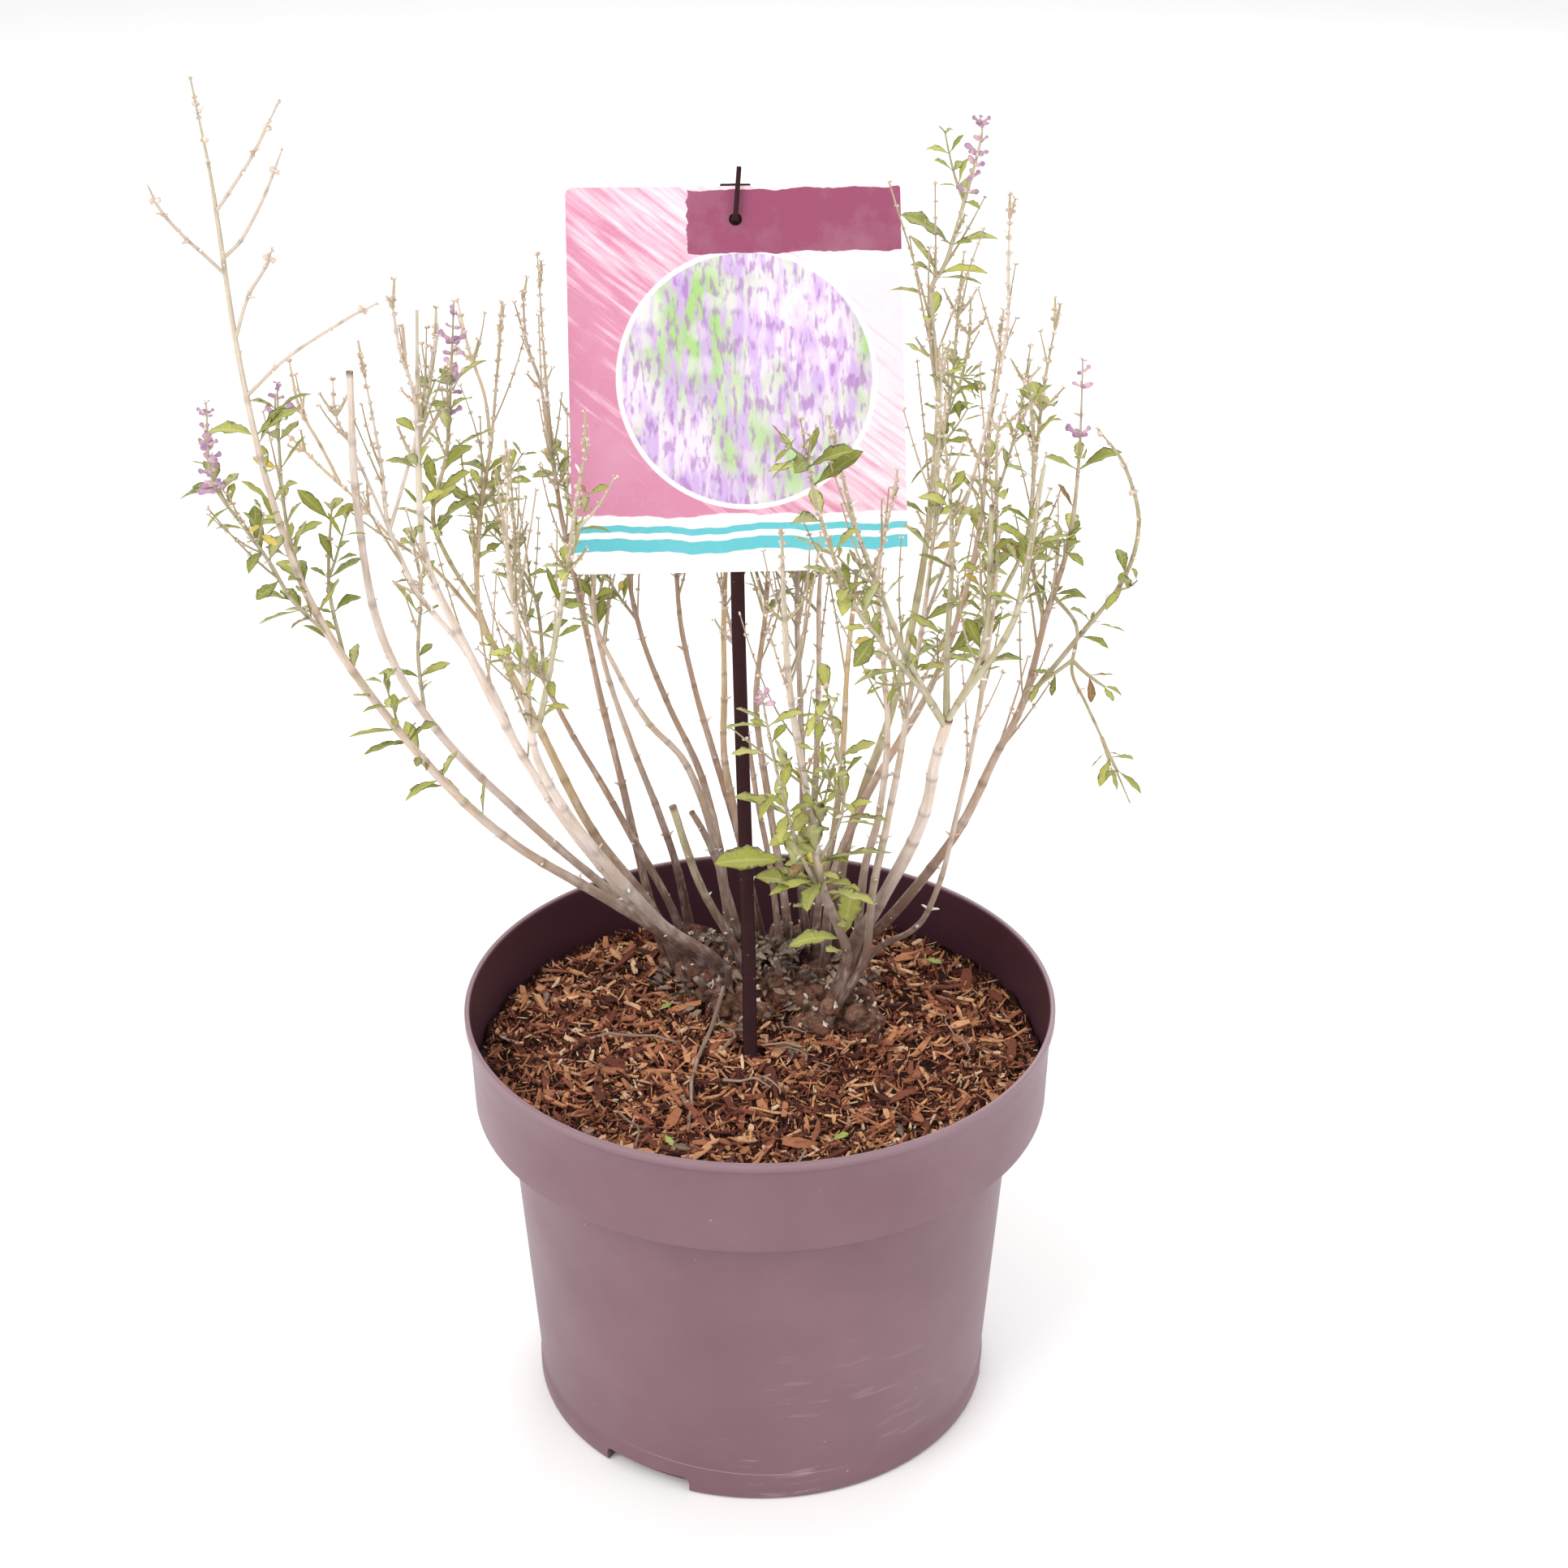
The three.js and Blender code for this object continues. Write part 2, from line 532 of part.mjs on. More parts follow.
        path: [[30, -14, 259], [31, -22, 280], [27, -30, 306], [24, -35, 324]],
        dress: [['leaves', 0.3, 0.95, 2, 15]] },
    ],
  },
  {
    name: 'stub_left', bark: OLIVE,
    limbs: [
      { path: [[-2, 36, 147], [-10, 35, 175], [-24, 34, 206], [-34, 35, 240]],
        girth: [4.4, 3.4], dress: [] },
    ],
  },
  {
    name: 'stub_middle', bark: GREY,
    limbs: [
      { path: [[-3, 52, 147], [-14, 53, 194], [-21, 52, 216], [-27, 51, 229]],
        girth: [3.8, 2.8], dress: [] },
    ],
  },
];

// Seeded random numbers, so that the plant is the same each time
let seed = 20261127;
function random() {
  seed = (Math.imul(seed, 1664525) + 1013904223) >>> 0;
  return seed / 4294967296;
}

function vector(triple) {
  return new THREE.Vector3(triple[0], triple[1], triple[2]);
}

// A limb of a stem: straight spans between its points, with a girth that tapers
class Limb {
  constructor(points, girth) {
    this.points = points;
    this.girth = girth;
    this.spans = points.length - 1;
  }

  span(t) {
    return Math.min(Math.floor(t * this.spans), this.spans - 1);
  }

  point(t) {
    const span = this.span(t);
    return this.points[span].clone().lerp(this.points[span + 1], t * this.spans - span);
  }

  tangent(t) {
    const span = this.span(t);
    return this.points[span + 1].clone().sub(this.points[span]).normalize();
  }

  radius(t) {
    return THREE.MathUtils.lerp(this.girth[0], this.girth[1], t) / 2;
  }

  // The tangent, and two directions square to it, halfway between the spans that meet at t
  frame(t) {
    const before = this.tangent(Math.max(t - 0.001, 0));
    const tangent = this.tangent(t).add(before).normalize();
    const across = new THREE.Vector3(0, 1, 0).cross(tangent).normalize();
    return { tangent, across, front: tangent.clone().cross(across) };
  }

  // A direction that leaves the limb at t, turned about it by angle and leaning out by spread
  outward(t, angle, spread) {
    const { tangent, across, front } = this.frame(t);
    const side = across.multiplyScalar(Math.cos(angle)).addScaledVector(front, Math.sin(angle));
    return tangent.multiplyScalar(Math.cos(spread)).addScaledVector(side, Math.sin(spread));
  }

  // The corner of a ring round the limb at t
  corner(t, x, z, radius) {
    const { across, front } = this.frame(t);
    return this.point(t).addScaledVector(across, x * radius).addScaledVector(front, -z * radius);
  }
}

// The frame of the label: right, up along the leaning card, and out of its face
const CARD_UP = new THREE.Vector3(0, Math.sin(LEAN), Math.cos(LEAN));
const CARD_OUT = new THREE.Vector3(0, -Math.cos(LEAN), Math.sin(LEAN));
const CARD_TOP = STAKE_RISE - BAR_ABOVE_CARD;
const CARD_FORWARD = STAKE_DEPTH / 2 + GAP + CARD_THICKNESS / 2;
const HOOK_REACH = STAKE_DEPTH + CARD_THICKNESS + PRONG_ROOM;
const CARD_MIDDLE = STAKE_FOOT.clone().addScaledVector(CARD_UP, CARD_TOP - CARD_HEIGHT / 2)
  .addScaledVector(CARD_OUT, CARD_FORWARD).add(new THREE.Vector3(STAKE_SWAY + CARD_SHIFT, 0, 0));

// How far the stake has bent sideways at a height up from its foot
function sway(rise) {
  return STAKE_SWAY * THREE.MathUtils.smoothstep(rise, 0, SWAY_ENDS);
}

const taken = [];

function ball(centre, radius, owner) {
  return { centre, radius, owner };
}

// Whether a ball is clear of the mulch, the pot's rim and the label
function inTheOpen({ centre, radius }) {
  const bottom = centre.z - radius;
  if (bottom < SOIL_LEVEL + ABOVE_SOIL) return false;
  const reachOut = Math.hypot(centre.x, centre.y) + radius;
  if (bottom < POT_HEIGHT + ABOVE_RIM && reachOut > RIM_RADIUS - INSIDE_RIM) return false;
  const offset = centre.clone().sub(CARD_MIDDLE);
  const near = Math.abs(offset.dot(CARD_OUT)) < radius + CARD_BOW + OFF_CARD;
  const beside = Math.abs(offset.x) > CARD_WIDTH / 2 + radius + BESIDE_CARD;
  const beyond = Math.abs(offset.dot(CARD_UP)) > CARD_HEIGHT / 2 + radius + BESIDE_CARD;
  return !near || beside || beyond;
}

// A new row of balls is clear when it meets nothing; its first ones may touch its own stem
function isClear(row) {
  return row.every((one, index) => {
    if (!inTheOpen(one)) return false;
    return taken.every((other) => {
      const root = index < Math.max(1, row.length * OWN_STEM_SHARE);
      if (other.owner === one.owner && root) return true;
      return one.centre.distanceTo(other.centre) > one.radius + other.radius + ROOM;
    });
  });
}

// The way of a leaf or twig: straight out, then bending up or down
function reach(spray, share) {
  const point = spray.base.clone().addScaledVector(spray.direction, spray.length * share);
  point.z += spray.bend * spray.length * share * share;
  return point;
}

// The balls of a spray: a bead or floret may touch its own stem all along
function rowOf(spray, owner) {
  if (spray.kind === 'bead' || spray.kind === 'bloom') {
    return SHORT_SPRAY_BALLS.map((share) => ball(reach(spray, share), SHORT_SPRAY_RADIUS, owner));
  }
  const radius = spray.kind === 'leaf' ? spray.length * LEAF_RADIUS : TWIG_RADIUS;
  return SPRAY_BALLS.map((share) => ball(reach(spray, share), radius, owner));
}

// Places a spray at t on a limb, turned until it is clear, or not at all
function place(stem, limb, t, kind, length, angle, spread, bend, roll) {
  for (let attempt = 0; attempt < TRIES; attempt += 1) {
    const direction = limb.outward(t, angle + attempt * TURN, spread);
    const spray = { kind, base: limb.point(t), direction, length, bend, roll };
    const row = rowOf(spray, stem.name);
    if (isClear(row)) {
      taken.push(...row);
      stem.sprays.push(spray);
      return spray;
    }
  }
  return null;
}

function scatter(range) {
  return (random() - 0.5) * range;
}

// One kind of dress along a stretch of a limb, in opposite pairs, each a quarter turn on
function dressLimb(stem, limb, [dress, from, to, pairs, size]) {
  const habit = HABIT[dress];
  for (let pair = 0; pair < pairs; pair += 1) {
    const share = pairs === 1 ? (from + to) / 2 : from + ((to - from) * pair) / (pairs - 1);
    const t = Math.min(share, LAST_PAIR);
    for (let side = 0; side < 2; side += 1) {
      const angle = pair * (Math.PI / 2) + side * Math.PI + scatter(TURN_SCATTER);
      const length = size * (SHORTEST + LENGTH_SCATTER * random());
      const roll = scatter(ROLL_SCATTER);
      const bend = habit.bend + scatter(BEND_SCATTER);
      const spray = place(stem, limb, t, habit.kind, length, angle, habit.spread, bend, roll);
      if (spray && dress === 'sprigs') dressSprig(stem, spray);
    }
  }
}

// A sprig is a twig that carries small leaves of its own
function dressSprig(stem, spray) {
  const twig = new Limb([0, 0.5, 1].map((share) => reach(spray, share)), SPRIG_GIRTH);
  const length = spray.length * SPRIG_LEAF;
  SPRIG_PAIRS.forEach((t, pair) => {
    for (let side = 0; side < 2; side += 1) {
      const angle = pair * (Math.PI / 2) + side * Math.PI;
      place(stem, twig, t, 'leaf', length, angle, SPRIG_SPREAD, SPRIG_BEND, 0);
    }
  });
}

// The stems with their sprays: first every limb takes up its room, then each is dressed in turn
function grow() {
  const grownStems = STEMS.map(({ name, bark, limbs }) => {
    const grown = [];
    limbs.forEach(({ on, at, path, girth }) => {
      const points = path.map(vector);
      if (on !== undefined) points.unshift(grown[on].point(at));
      grown.push(new Limb(points, girth));
    });
    return { name, bark, limbs: grown, plan: limbs, sprays: [] };
  });
  grownStems.forEach((stem) => stem.limbs.forEach((limb) => {
    const steps = limb.spans * BALLS_A_SPAN;
    for (let step = 0; step <= steps; step += 1) {
      taken.push(ball(limb.point(step / steps), limb.radius(step / steps), stem.name));
    }
  }));
  for (let rise = 0; rise < STAKE_RISE + HOOK_RISE; rise += STAKE_BALL_STEP) {
    const centre = STAKE_FOOT.clone().addScaledVector(CARD_UP, rise);
    centre.x += sway(rise);
    taken.push(ball(centre, STAKE_WIDTH / 2, 'label_stake'));
  }
  grownStems.forEach((stem) => stem.limbs.forEach((limb, index) => {
    stem.plan[index].dress.forEach((line) => dressLimb(stem, limb, line));
  }));
  return grownStems;
}

// A closed solid of a geometry, for cutting and joining
function solid(geometry) {
  const bare = geometry.clone();
  bare.deleteAttribute('normal');
  bare.deleteAttribute('uv');
  const merged = mergeVertices(bare, 1e-4);
  return new wasm.Manifold(new wasm.Mesh({
    numProp: 3,
    vertProperties: Float32Array.from(merged.attributes.position.array),
    triVerts: Uint32Array.from(merged.index.array),
  }));
}

// The geometry of a closed solid
function surface(manifold) {
  const { vertProperties, triVerts } = manifold.getMesh();
  const geometry = new THREE.BufferGeometry();
  geometry.setAttribute('position', new THREE.BufferAttribute(Float32Array.from(vertProperties), 3));
  geometry.setIndex(new THREE.BufferAttribute(Uint32Array.from(triVerts), 1));
  geometry.computeVertexNormals();
  return geometry;
}

function join(solids) {
  return solids.reduce((whole, one) => whole.add(one));
}

// The largest body of a solid, without the scraps that a cut may leave
function outerBody(whole) {
  const bodies = whole.decompose();
  return bodies.reduce((best, body) => (body.volume() > best.volume() ? body : best));
}

// A main stem: a tapered tube with a ring at each of its points, thicker by extra all round
function stemTube(limb, extra = 0) {
  const sides = limb.girth[0] < THICK_GIRTH ? SLIM_SIDES : MAIN_SIDES;
  const geometry = new THREE.CylinderGeometry(1, 1, 1, sides, limb.spans);
  const place = geometry.attributes.position;
  for (let index = 0; index < place.count; index += 1) {
    const t = Math.round((place.getY(index) + 0.5) * limb.spans) / limb.spans;
    const point = limb.corner(t, place.getX(index), place.getZ(index), limb.radius(t) + extra);
    if (t === 0) point.addScaledVector(limb.tangent(0), -extra);
    place.setXYZ(index, point.x, point.y, point.z);
  }
  return geometry;
}

// A fork: the same, with a point sunk in the limb it leaves and another at its tip
function forkSpike(limb) {
  const rings = limb.spans + 1;
  const sides = limb.girth[0] < THIN_GIRTH ? THIN_SIDES : SLIM_SIDES;
  const geometry = new THREE.SphereGeometry(1, sides, rings);
  const place = geometry.attributes.position;
  for (let index = 0; index < place.count; index += 1) {
    const polar = Math.acos(THREE.MathUtils.clamp(place.getY(index), -1, 1));
    const ring = Math.round((1 - polar / Math.PI) * rings);
    const inner = Math.max(ring - 1, 0) / limb.spans;
    const t = ring === 1 ? FORK_SHOULDER / limb.spans : inner;
    const size = ring === 0 || ring === rings ? 0 : limb.radius(t) / Math.sin(polar);
    const point = limb.corner(t, place.getX(index), place.getZ(index), size);
    place.setXYZ(index, point.x, point.y, point.z);
  }
  return geometry;
}

// A slender closed shape along the way of a spray. Its outline gives the half width at each share
// of the way, and it starts and ends in a point, the first one sunk in what it grows from. Its
// depth below its upper face is given by keel.
function spike(spray, outline, width, keel) {
  const { direction, roll } = spray;
  const rings = outline.length - 1;
  const geometry = new THREE.SphereGeometry(1, THIN_SIDES, rings).rotateY(Math.PI / 2);
  const up = new THREE.Vector3(0, 0, 1).addScaledVector(direction, -direction.z).normalize();
  const down = up.applyAxisAngle(direction, roll).negate();
  const side = direction.clone().cross(down);
  const place = geometry.attributes.position;
  for (let index = 0; index < place.count; index += 1) {
    const polar = Math.acos(THREE.MathUtils.clamp(place.getY(index), -1, 1));
    const ring = Math.round((1 - polar / Math.PI) * rings);
    const [along, half] = outline[ring];
    const size = half === 0 ? 0 : 1 / Math.sin(polar);
    const point = reach(spray, along)
      .addScaledVector(side, place.getX(index) * size * half * width)
      .addScaledVector(down, place.getZ(index) * size * keel(half * width));
    place.setXYZ(index, point.x, point.y, point.z);
  }
  return geometry;
}

// A leaf: a blade with toothed edges, flat above and keeled below along its midrib
function leafBlade(spray) {
  const outline = spray.length > LARGE_LEAF ? LARGE_LEAF_OUTLINE : LEAF_OUTLINE;
  return spike(spray, outline, spray.length * LEAF_WIDTH, () => LEAF_KEEL);
}

// A twig: a thin spike with a dry calyx at its end
function twigSpike(spray) {
  return spike(spray, TWIG_OUTLINE, TWIG_WIDTH, (half) => half);
}

// A dry calyx: a short swollen spike
function calyxBead(spray) {
  return spike(spray, BEAD_OUTLINE, BEAD_WIDTH, (half) => half);
}

// A floret: a tube that flares to a blunt mouth
function floret(spray) {
  return spike(spray, FLORET_OUTLINE, spray.length * FLORET_WIDTH, (half) => half);
}

function sprayShape(spray) {
  if (spray.kind === 'leaf') return leafBlade(spray);
  if (spray.kind === 'bloom') return floret(spray);
  if (spray.kind === 'bead') return calyxBead(spray);
  return twigSpike(spray);
}

function stemSolid(stem) {
  const [main, ...forks] = stem.limbs;
  const shapes = [stemTube(main), ...forks.map(forkSpike), ...stem.sprays.map(sprayShape)];
  return outerBody(join(shapes.map(solid)));
}

// Outer radius of the pot's wall below its band
function potRadius(z) {
  return THREE.MathUtils.mapLinear(z, 0, BAND_FOOT, BASE_RADIUS, NECK_RADIUS);
}

// The pot: a turned wall with a stepped rim band, and drain notches in its foot
function potSolid() {
  const lip = POT_HEIGHT - LIP_HEIGHT;
  const shelf = BAND_FOOT + WALL;
  const outer = [
    [0, 0], [BASE_RADIUS - EDGE, 0], [BASE_RADIUS + FOOT_FLARE, FOOT_EDGE],
    [potRadius(FOOT_KINK) + EDGE, FOOT_KINK], [NECK_RADIUS, BAND_FOOT],
    [BAND_RADIUS - EDGE * 2, BAND_FOOT], [BAND_RADIUS, BAND_FOOT + EDGE * 2],
    [RIM_RADIUS - EDGE * 2, lip], [RIM_RADIUS, lip + EDGE * 2],
    [RIM_RADIUS, POT_HEIGHT - EDGE], [RIM_RADIUS - EDGE, POT_HEIGHT],
  ];
  const inner = [
    [RIM_RADIUS - WALL, POT_HEIGHT], [RIM_RADIUS - WALL - EDGE, lip],
    [BAND_RADIUS - WALL, shelf + EDGE * 2], [NECK_RADIUS - WALL, shelf],
    [potRadius(FLOOR) - WALL, FLOOR], [0, FLOOR],
  ];
  const profile = [...outer, ...inner].map(([r, z]) => new THREE.Vector2(r, z));
  let pot = solid(new THREE.LatheGeometry(profile, POT_SIDES).rotateX(Math.PI / 2));
  for (let index = 0; index < DRAIN_NOTCHES; index += 1) {
    const turn = THREE.MathUtils.degToRad(DRAIN_TURN - 90 + (360 / DRAIN_NOTCHES) * index);
    const cutter = new THREE.BoxGeometry(DRAIN_DEPTH, DRAIN_WIDTH, DRAIN_HEIGHT * 2);
    cutter.translate(BASE_RADIUS, 0, 0).rotateZ(turn);
    pot = pot.subtract(solid(cutter));
  }
  return pot;
}

// Height of the mulch: a low mound round the crown, lower at the back, rough all over
function soilHeight(x, y) {
  const { smoothstep } = THREE.MathUtils;
  const fromMiddle = (x - MOUND_MIDDLE[0]) ** 2 + (y - MOUND_MIDDLE[1]) ** 2;
  const mound = SOIL_MOUND * Math.exp(-fromMiddle / MOUND_SPREAD);
  const back = smoothstep(y, BACK_DIP_STARTS, BACK_DIP_ENDS)
    * smoothstep(BACK_DIP_HALF_WIDTH - Math.abs(x), 0, BACK_DIP_SLOPE);
  const swells = Math.sin(x * 0.31 + y * 0.17) + Math.sin(y * 0.37 - x * 0.12);
  const rough = SOIL_ROUGHNESS * (swells + Math.sin(x * 1.3 + y * 1.7));
  return SOIL_LEVEL + mound - SOIL_BACK_DIP * back + rough;
}

// The mulch and the soil below it fill the pot, inside its neck and above the shelf of its band.
// Where the mulch is lower than the shelf, a thin layer of it still lies there.
function soilSolid(cutters) {
  const neck = NECK_RADIUS - WALL - GAP;
  const wall = BAND_RADIUS - WALL - GAP;
  const shelf = BAND_FOOT + WALL + EDGE * 2 + GAP;
  const profile = [
    [0, FLOOR + GAP], [potRadius(FLOOR) - WALL - GAP, FLOOR + GAP], [neck, BAND_FOOT],
    [neck, shelf], [wall, shelf + GAP], [wall, SOIL_LEVEL], [neck + EDGE, SOIL_LEVEL],
    [neck - EDGE, SOIL_LEVEL], ...SOIL_RINGS.map((share) => [wall * share, SOIL_LEVEL]),
    [0, SOIL_LEVEL],
  ].map(([r, z]) => new THREE.Vector2(r, z));
  const body = new THREE.LatheGeometry(profile, POT_SIDES).rotateX(Math.PI / 2);
  const place = body.attributes.position;
  for (let index = 0; index < place.count; index += 1) {
    const x = place.getX(index);
    const y = place.getY(index);
    const onShelf = Math.hypot(x, y) > neck ? shelf + SHELF_LAYER : 0;
    if (place.getZ(index) > SOIL_LEVEL - 1) {
      place.setZ(index, Math.max(soilHeight(x, y), onShelf));
    }
  }
  return outerBody(cutters.reduce((soil, cutter) => soil.subtract(cutter), solid(body)));
}

// The crown: woody burls grown together, each turned another way, and larger by extra all round
function burls(extra = 0) {
  return join(BURLS.map(([x, y, z, radius], index) => {
    const knob = new THREE.IcosahedronGeometry(radius + extra, 0).scale(1, 1, BURL_HEIGHT);
    return solid(knob.rotateZ(index).translate(x, y, z));
  }));
}

// Places a shape that is drawn in the label's frame, with the foot of the stake at the origin
function leaning(geometry) {
  const frame = new THREE.Matrix4().makeBasis(new THREE.Vector3(1, 0, 0), CARD_UP, CARD_OUT);
  return solid(geometry.applyMatrix4(frame.setPosition(STAKE_FOOT)));
}

// The rod of the stake, pointed and slightly bent, and thicker by extra all round
function stakeRod(extra = 0) {
  const outline = [
    [0, -STAKE_SUNK], [STAKE_POINT, -STAKE_SUNK], [1, STAKE_POINT_LENGTH - STAKE_SUNK],
    ...STAKE_STATIONS.map((rise) => [1, rise]), [1, STAKE_RISE], [0, STAKE_RISE],
  ].map(([r, rise]) => new THREE.Vector2(r, rise));
  const rod = new THREE.LatheGeometry(outline, STAKE_SIDES);
  rod.scale(STAKE_WIDTH / 2 + extra, 1, STAKE_DEPTH / 2 + extra);
  const place = rod.attributes.position;
  for (let index = 0; index < place.count; index += 1) {
    place.setX(index, place.getX(index) + sway(place.getY(index)));
  }
  return leaning(rod.translate(0, -extra, 0));
}

// The stake: its rod, a cross bar, a peg through the hole of the label and a prong up from it
function stakeSolid() {
  const pegHeight = CARD_TOP - CARD_HOLE_DROP;
  const bar = new THREE.BoxGeometry(HOOK_BAR, HOOK_WIDTH, STAKE_DEPTH * 0.9);
  bar.translate(0, STAKE_RISE - HOOK_WIDTH / 2, 0);
  const peg = new THREE.BoxGeometry(HOOK_WIDTH, HOOK_WIDTH, HOOK_REACH);
  peg.translate(0, pegHeight, HOOK_REACH / 2 - 0.5);
  const prong = new THREE.BoxGeometry(PRONG_WIDTH, HOOK_RISE, PRONG_DEPTH);
  prong.translate(0, HOOK_RISE / 2 - 1, HOOK_REACH - 0.9).rotateZ(PRONG_TURN);
  prong.translate(0, pegHeight, 0);
  const hook = [bar, peg, prong].map((bit) => leaning(bit.translate(STAKE_SWAY, 0, 0)));
  return join([stakeRod(), ...hook]);
}

// The label: a thin sheet, bowed outwards at both sides, with a hole near its top edge
function cardSolid() {
  const card = new THREE.BoxGeometry(CARD_WIDTH, CARD_HEIGHT, CARD_THICKNESS, 4, 3, 1);
  const place = card.attributes.position;
  for (let index = 0; index < place.count; index += 1) {
    const across = place.getX(index) / (CARD_WIDTH / 2);
    place.setZ(index, place.getZ(index) + CARD_BOW * across ** 2);
  }
  card.rotateZ(CARD_TURN);
  card.translate(STAKE_SWAY + CARD_SHIFT, CARD_TOP - CARD_HEIGHT / 2, CARD_FORWARD);
  const punch = new THREE.CylinderGeometry(CARD_HOLE_RADIUS, CARD_HOLE_RADIUS, CARD_WIDTH, 8);
  punch.rotateX(Math.PI / 2).translate(STAKE_SWAY, CARD_TOP - CARD_HOLE_DROP, 0);
  return leaning(card).subtract(leaning(punch));
}

const part = new THREE.Group();

function addPiece(name, manifold, color, roughness) {
  const material = new THREE.MeshStandardMaterial({ color, roughness, metalness: 0 });
  const mesh = new THREE.Mesh(surface(manifold), material);
  mesh.name = name;
  part.add(mesh);
}

const stems = grow();
const sockets = stems.map((stem) => solid(stemTube(stem.limbs[0], SOCKET_GAP)));
const crown = sockets.reduce((wood, socket) => wood.subtract(socket), burls());

addPiece('pot', potSolid(), PLUM, 0.45);
addPiece('mulch', soilSolid([burls(GAP), stakeRod(GAP), ...sockets]), RUST, 0.95);
addPiece('crown', crown, OLD_WOOD, 0.9);
addPiece('label_stake', stakeSolid(), DARK_PLUM, 0.5);
addPiece('label_card', cardSolid(), PINK, 0.35);
stems.forEach((stem) => addPiece(stem.name, stemSolid(stem), stem.bark, 0.8));

export default part;
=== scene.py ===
"""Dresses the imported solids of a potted, woody sage that has a picture label on a stake.

Each sub-assembly is a class: the pot, the mulch, the rootstock, the label and the plant. The plant
is grown in millimetres from the same values as its solids, and every mesh is made in metres.
"""

import json
import logging
import math
import random
from dataclasses import dataclass, field
from enum import Enum
from math import cos, hypot, pi, radians, sin
from typing import Any, Iterable, Mapping, Sequence

import bmesh
import bpy
import numpy as np
from mathutils import Matrix, Vector, noise

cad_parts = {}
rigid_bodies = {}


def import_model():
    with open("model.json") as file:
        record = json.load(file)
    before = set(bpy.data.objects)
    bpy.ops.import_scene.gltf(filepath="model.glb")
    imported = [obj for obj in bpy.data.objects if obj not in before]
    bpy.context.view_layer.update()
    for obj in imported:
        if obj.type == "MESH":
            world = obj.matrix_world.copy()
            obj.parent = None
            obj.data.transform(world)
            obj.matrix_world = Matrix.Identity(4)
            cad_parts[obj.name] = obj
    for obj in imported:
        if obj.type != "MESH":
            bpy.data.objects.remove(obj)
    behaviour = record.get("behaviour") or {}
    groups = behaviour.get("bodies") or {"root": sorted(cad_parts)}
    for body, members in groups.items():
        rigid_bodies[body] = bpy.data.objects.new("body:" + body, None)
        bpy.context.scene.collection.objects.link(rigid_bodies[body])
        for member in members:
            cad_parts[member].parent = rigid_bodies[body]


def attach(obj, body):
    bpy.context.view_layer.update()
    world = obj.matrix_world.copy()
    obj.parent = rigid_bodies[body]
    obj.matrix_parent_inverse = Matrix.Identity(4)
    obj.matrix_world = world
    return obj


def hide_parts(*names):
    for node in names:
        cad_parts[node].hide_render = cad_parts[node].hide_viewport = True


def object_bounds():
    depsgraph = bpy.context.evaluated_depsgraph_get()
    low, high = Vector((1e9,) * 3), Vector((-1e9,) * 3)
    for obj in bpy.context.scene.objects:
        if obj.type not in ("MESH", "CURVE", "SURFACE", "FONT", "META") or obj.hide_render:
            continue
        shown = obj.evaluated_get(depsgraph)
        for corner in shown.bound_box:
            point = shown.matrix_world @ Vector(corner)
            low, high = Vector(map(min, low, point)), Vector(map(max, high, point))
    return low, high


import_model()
CAD_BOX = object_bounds()

LOG = logging.getLogger("sage")
MM = 0.001
FULL_TURN = 2 * pi

Colour = tuple[float, ...]
Ramp = tuple[tuple[float, Colour], ...]
Point = np.ndarray
Spot = tuple[float, float, float]
Ball = tuple[float, float, float, float]
Material = bpy.types.Material
Object = bpy.types.Object
DressLine = tuple[str, float, float, int, float]


def paint(*screen: float) -> Colour:
    """Turns red, green and blue of 0 to 255, as seen on a screen, into an opaque linear colour."""
    shares = [value / 255 for value in screen]
    return (*(s / 12.92 if s <= 0.04045 else ((s + 0.055) / 1.055) ** 2.4 for s in shares), 1.0)


def ramp(*stops: tuple[float, ...]) -> Ramp:
    """Makes a ramp of stops, each with its place from 0 to 1 and its colour on a screen."""
    return tuple((float(place), paint(*screen)) for place, *screen in stops)


def blend(first: Sequence[float], second: Sequence[float], share: float) -> tuple[float, ...]:
    """Mixes two rows of numbers, from the first at share 0 to the second at share 1."""
    return tuple(a + (b - a) * share for a, b in zip(first, second))


def smoothstep(value: float, low: float, high: float) -> float:
    """Rises smoothly from 0 at low to 1 at high."""
    share = min(max((value - low) / (high - low), 0.0), 1.0)
    return share * share * (3 - 2 * share)


def vec(*values: float) -> Point:
    """Makes a vector."""
    return np.array(values, float)


def unit(vector: Point) -> Point:
    """Scales a vector to length 1."""
    return vector / np.linalg.norm(vector)


def polar(angle: float, out: float = 1.0) -> tuple[float, float]:
    """The place at an angle, as far out as given."""
    return out * cos(angle), out * sin(angle)


def turn_by(angle: float, x: float, y: float) -> tuple[float, float]:
    """Turns a flat place about the origin."""
    return x * cos(angle) - y * sin(angle), x * sin(angle) + y * cos(angle)


def way(points: Sequence[Point]) -> list[float]:
    """The length of each step of a way."""
    return [float(np.linalg.norm(b - a)) for a, b in zip(points, points[1:])]


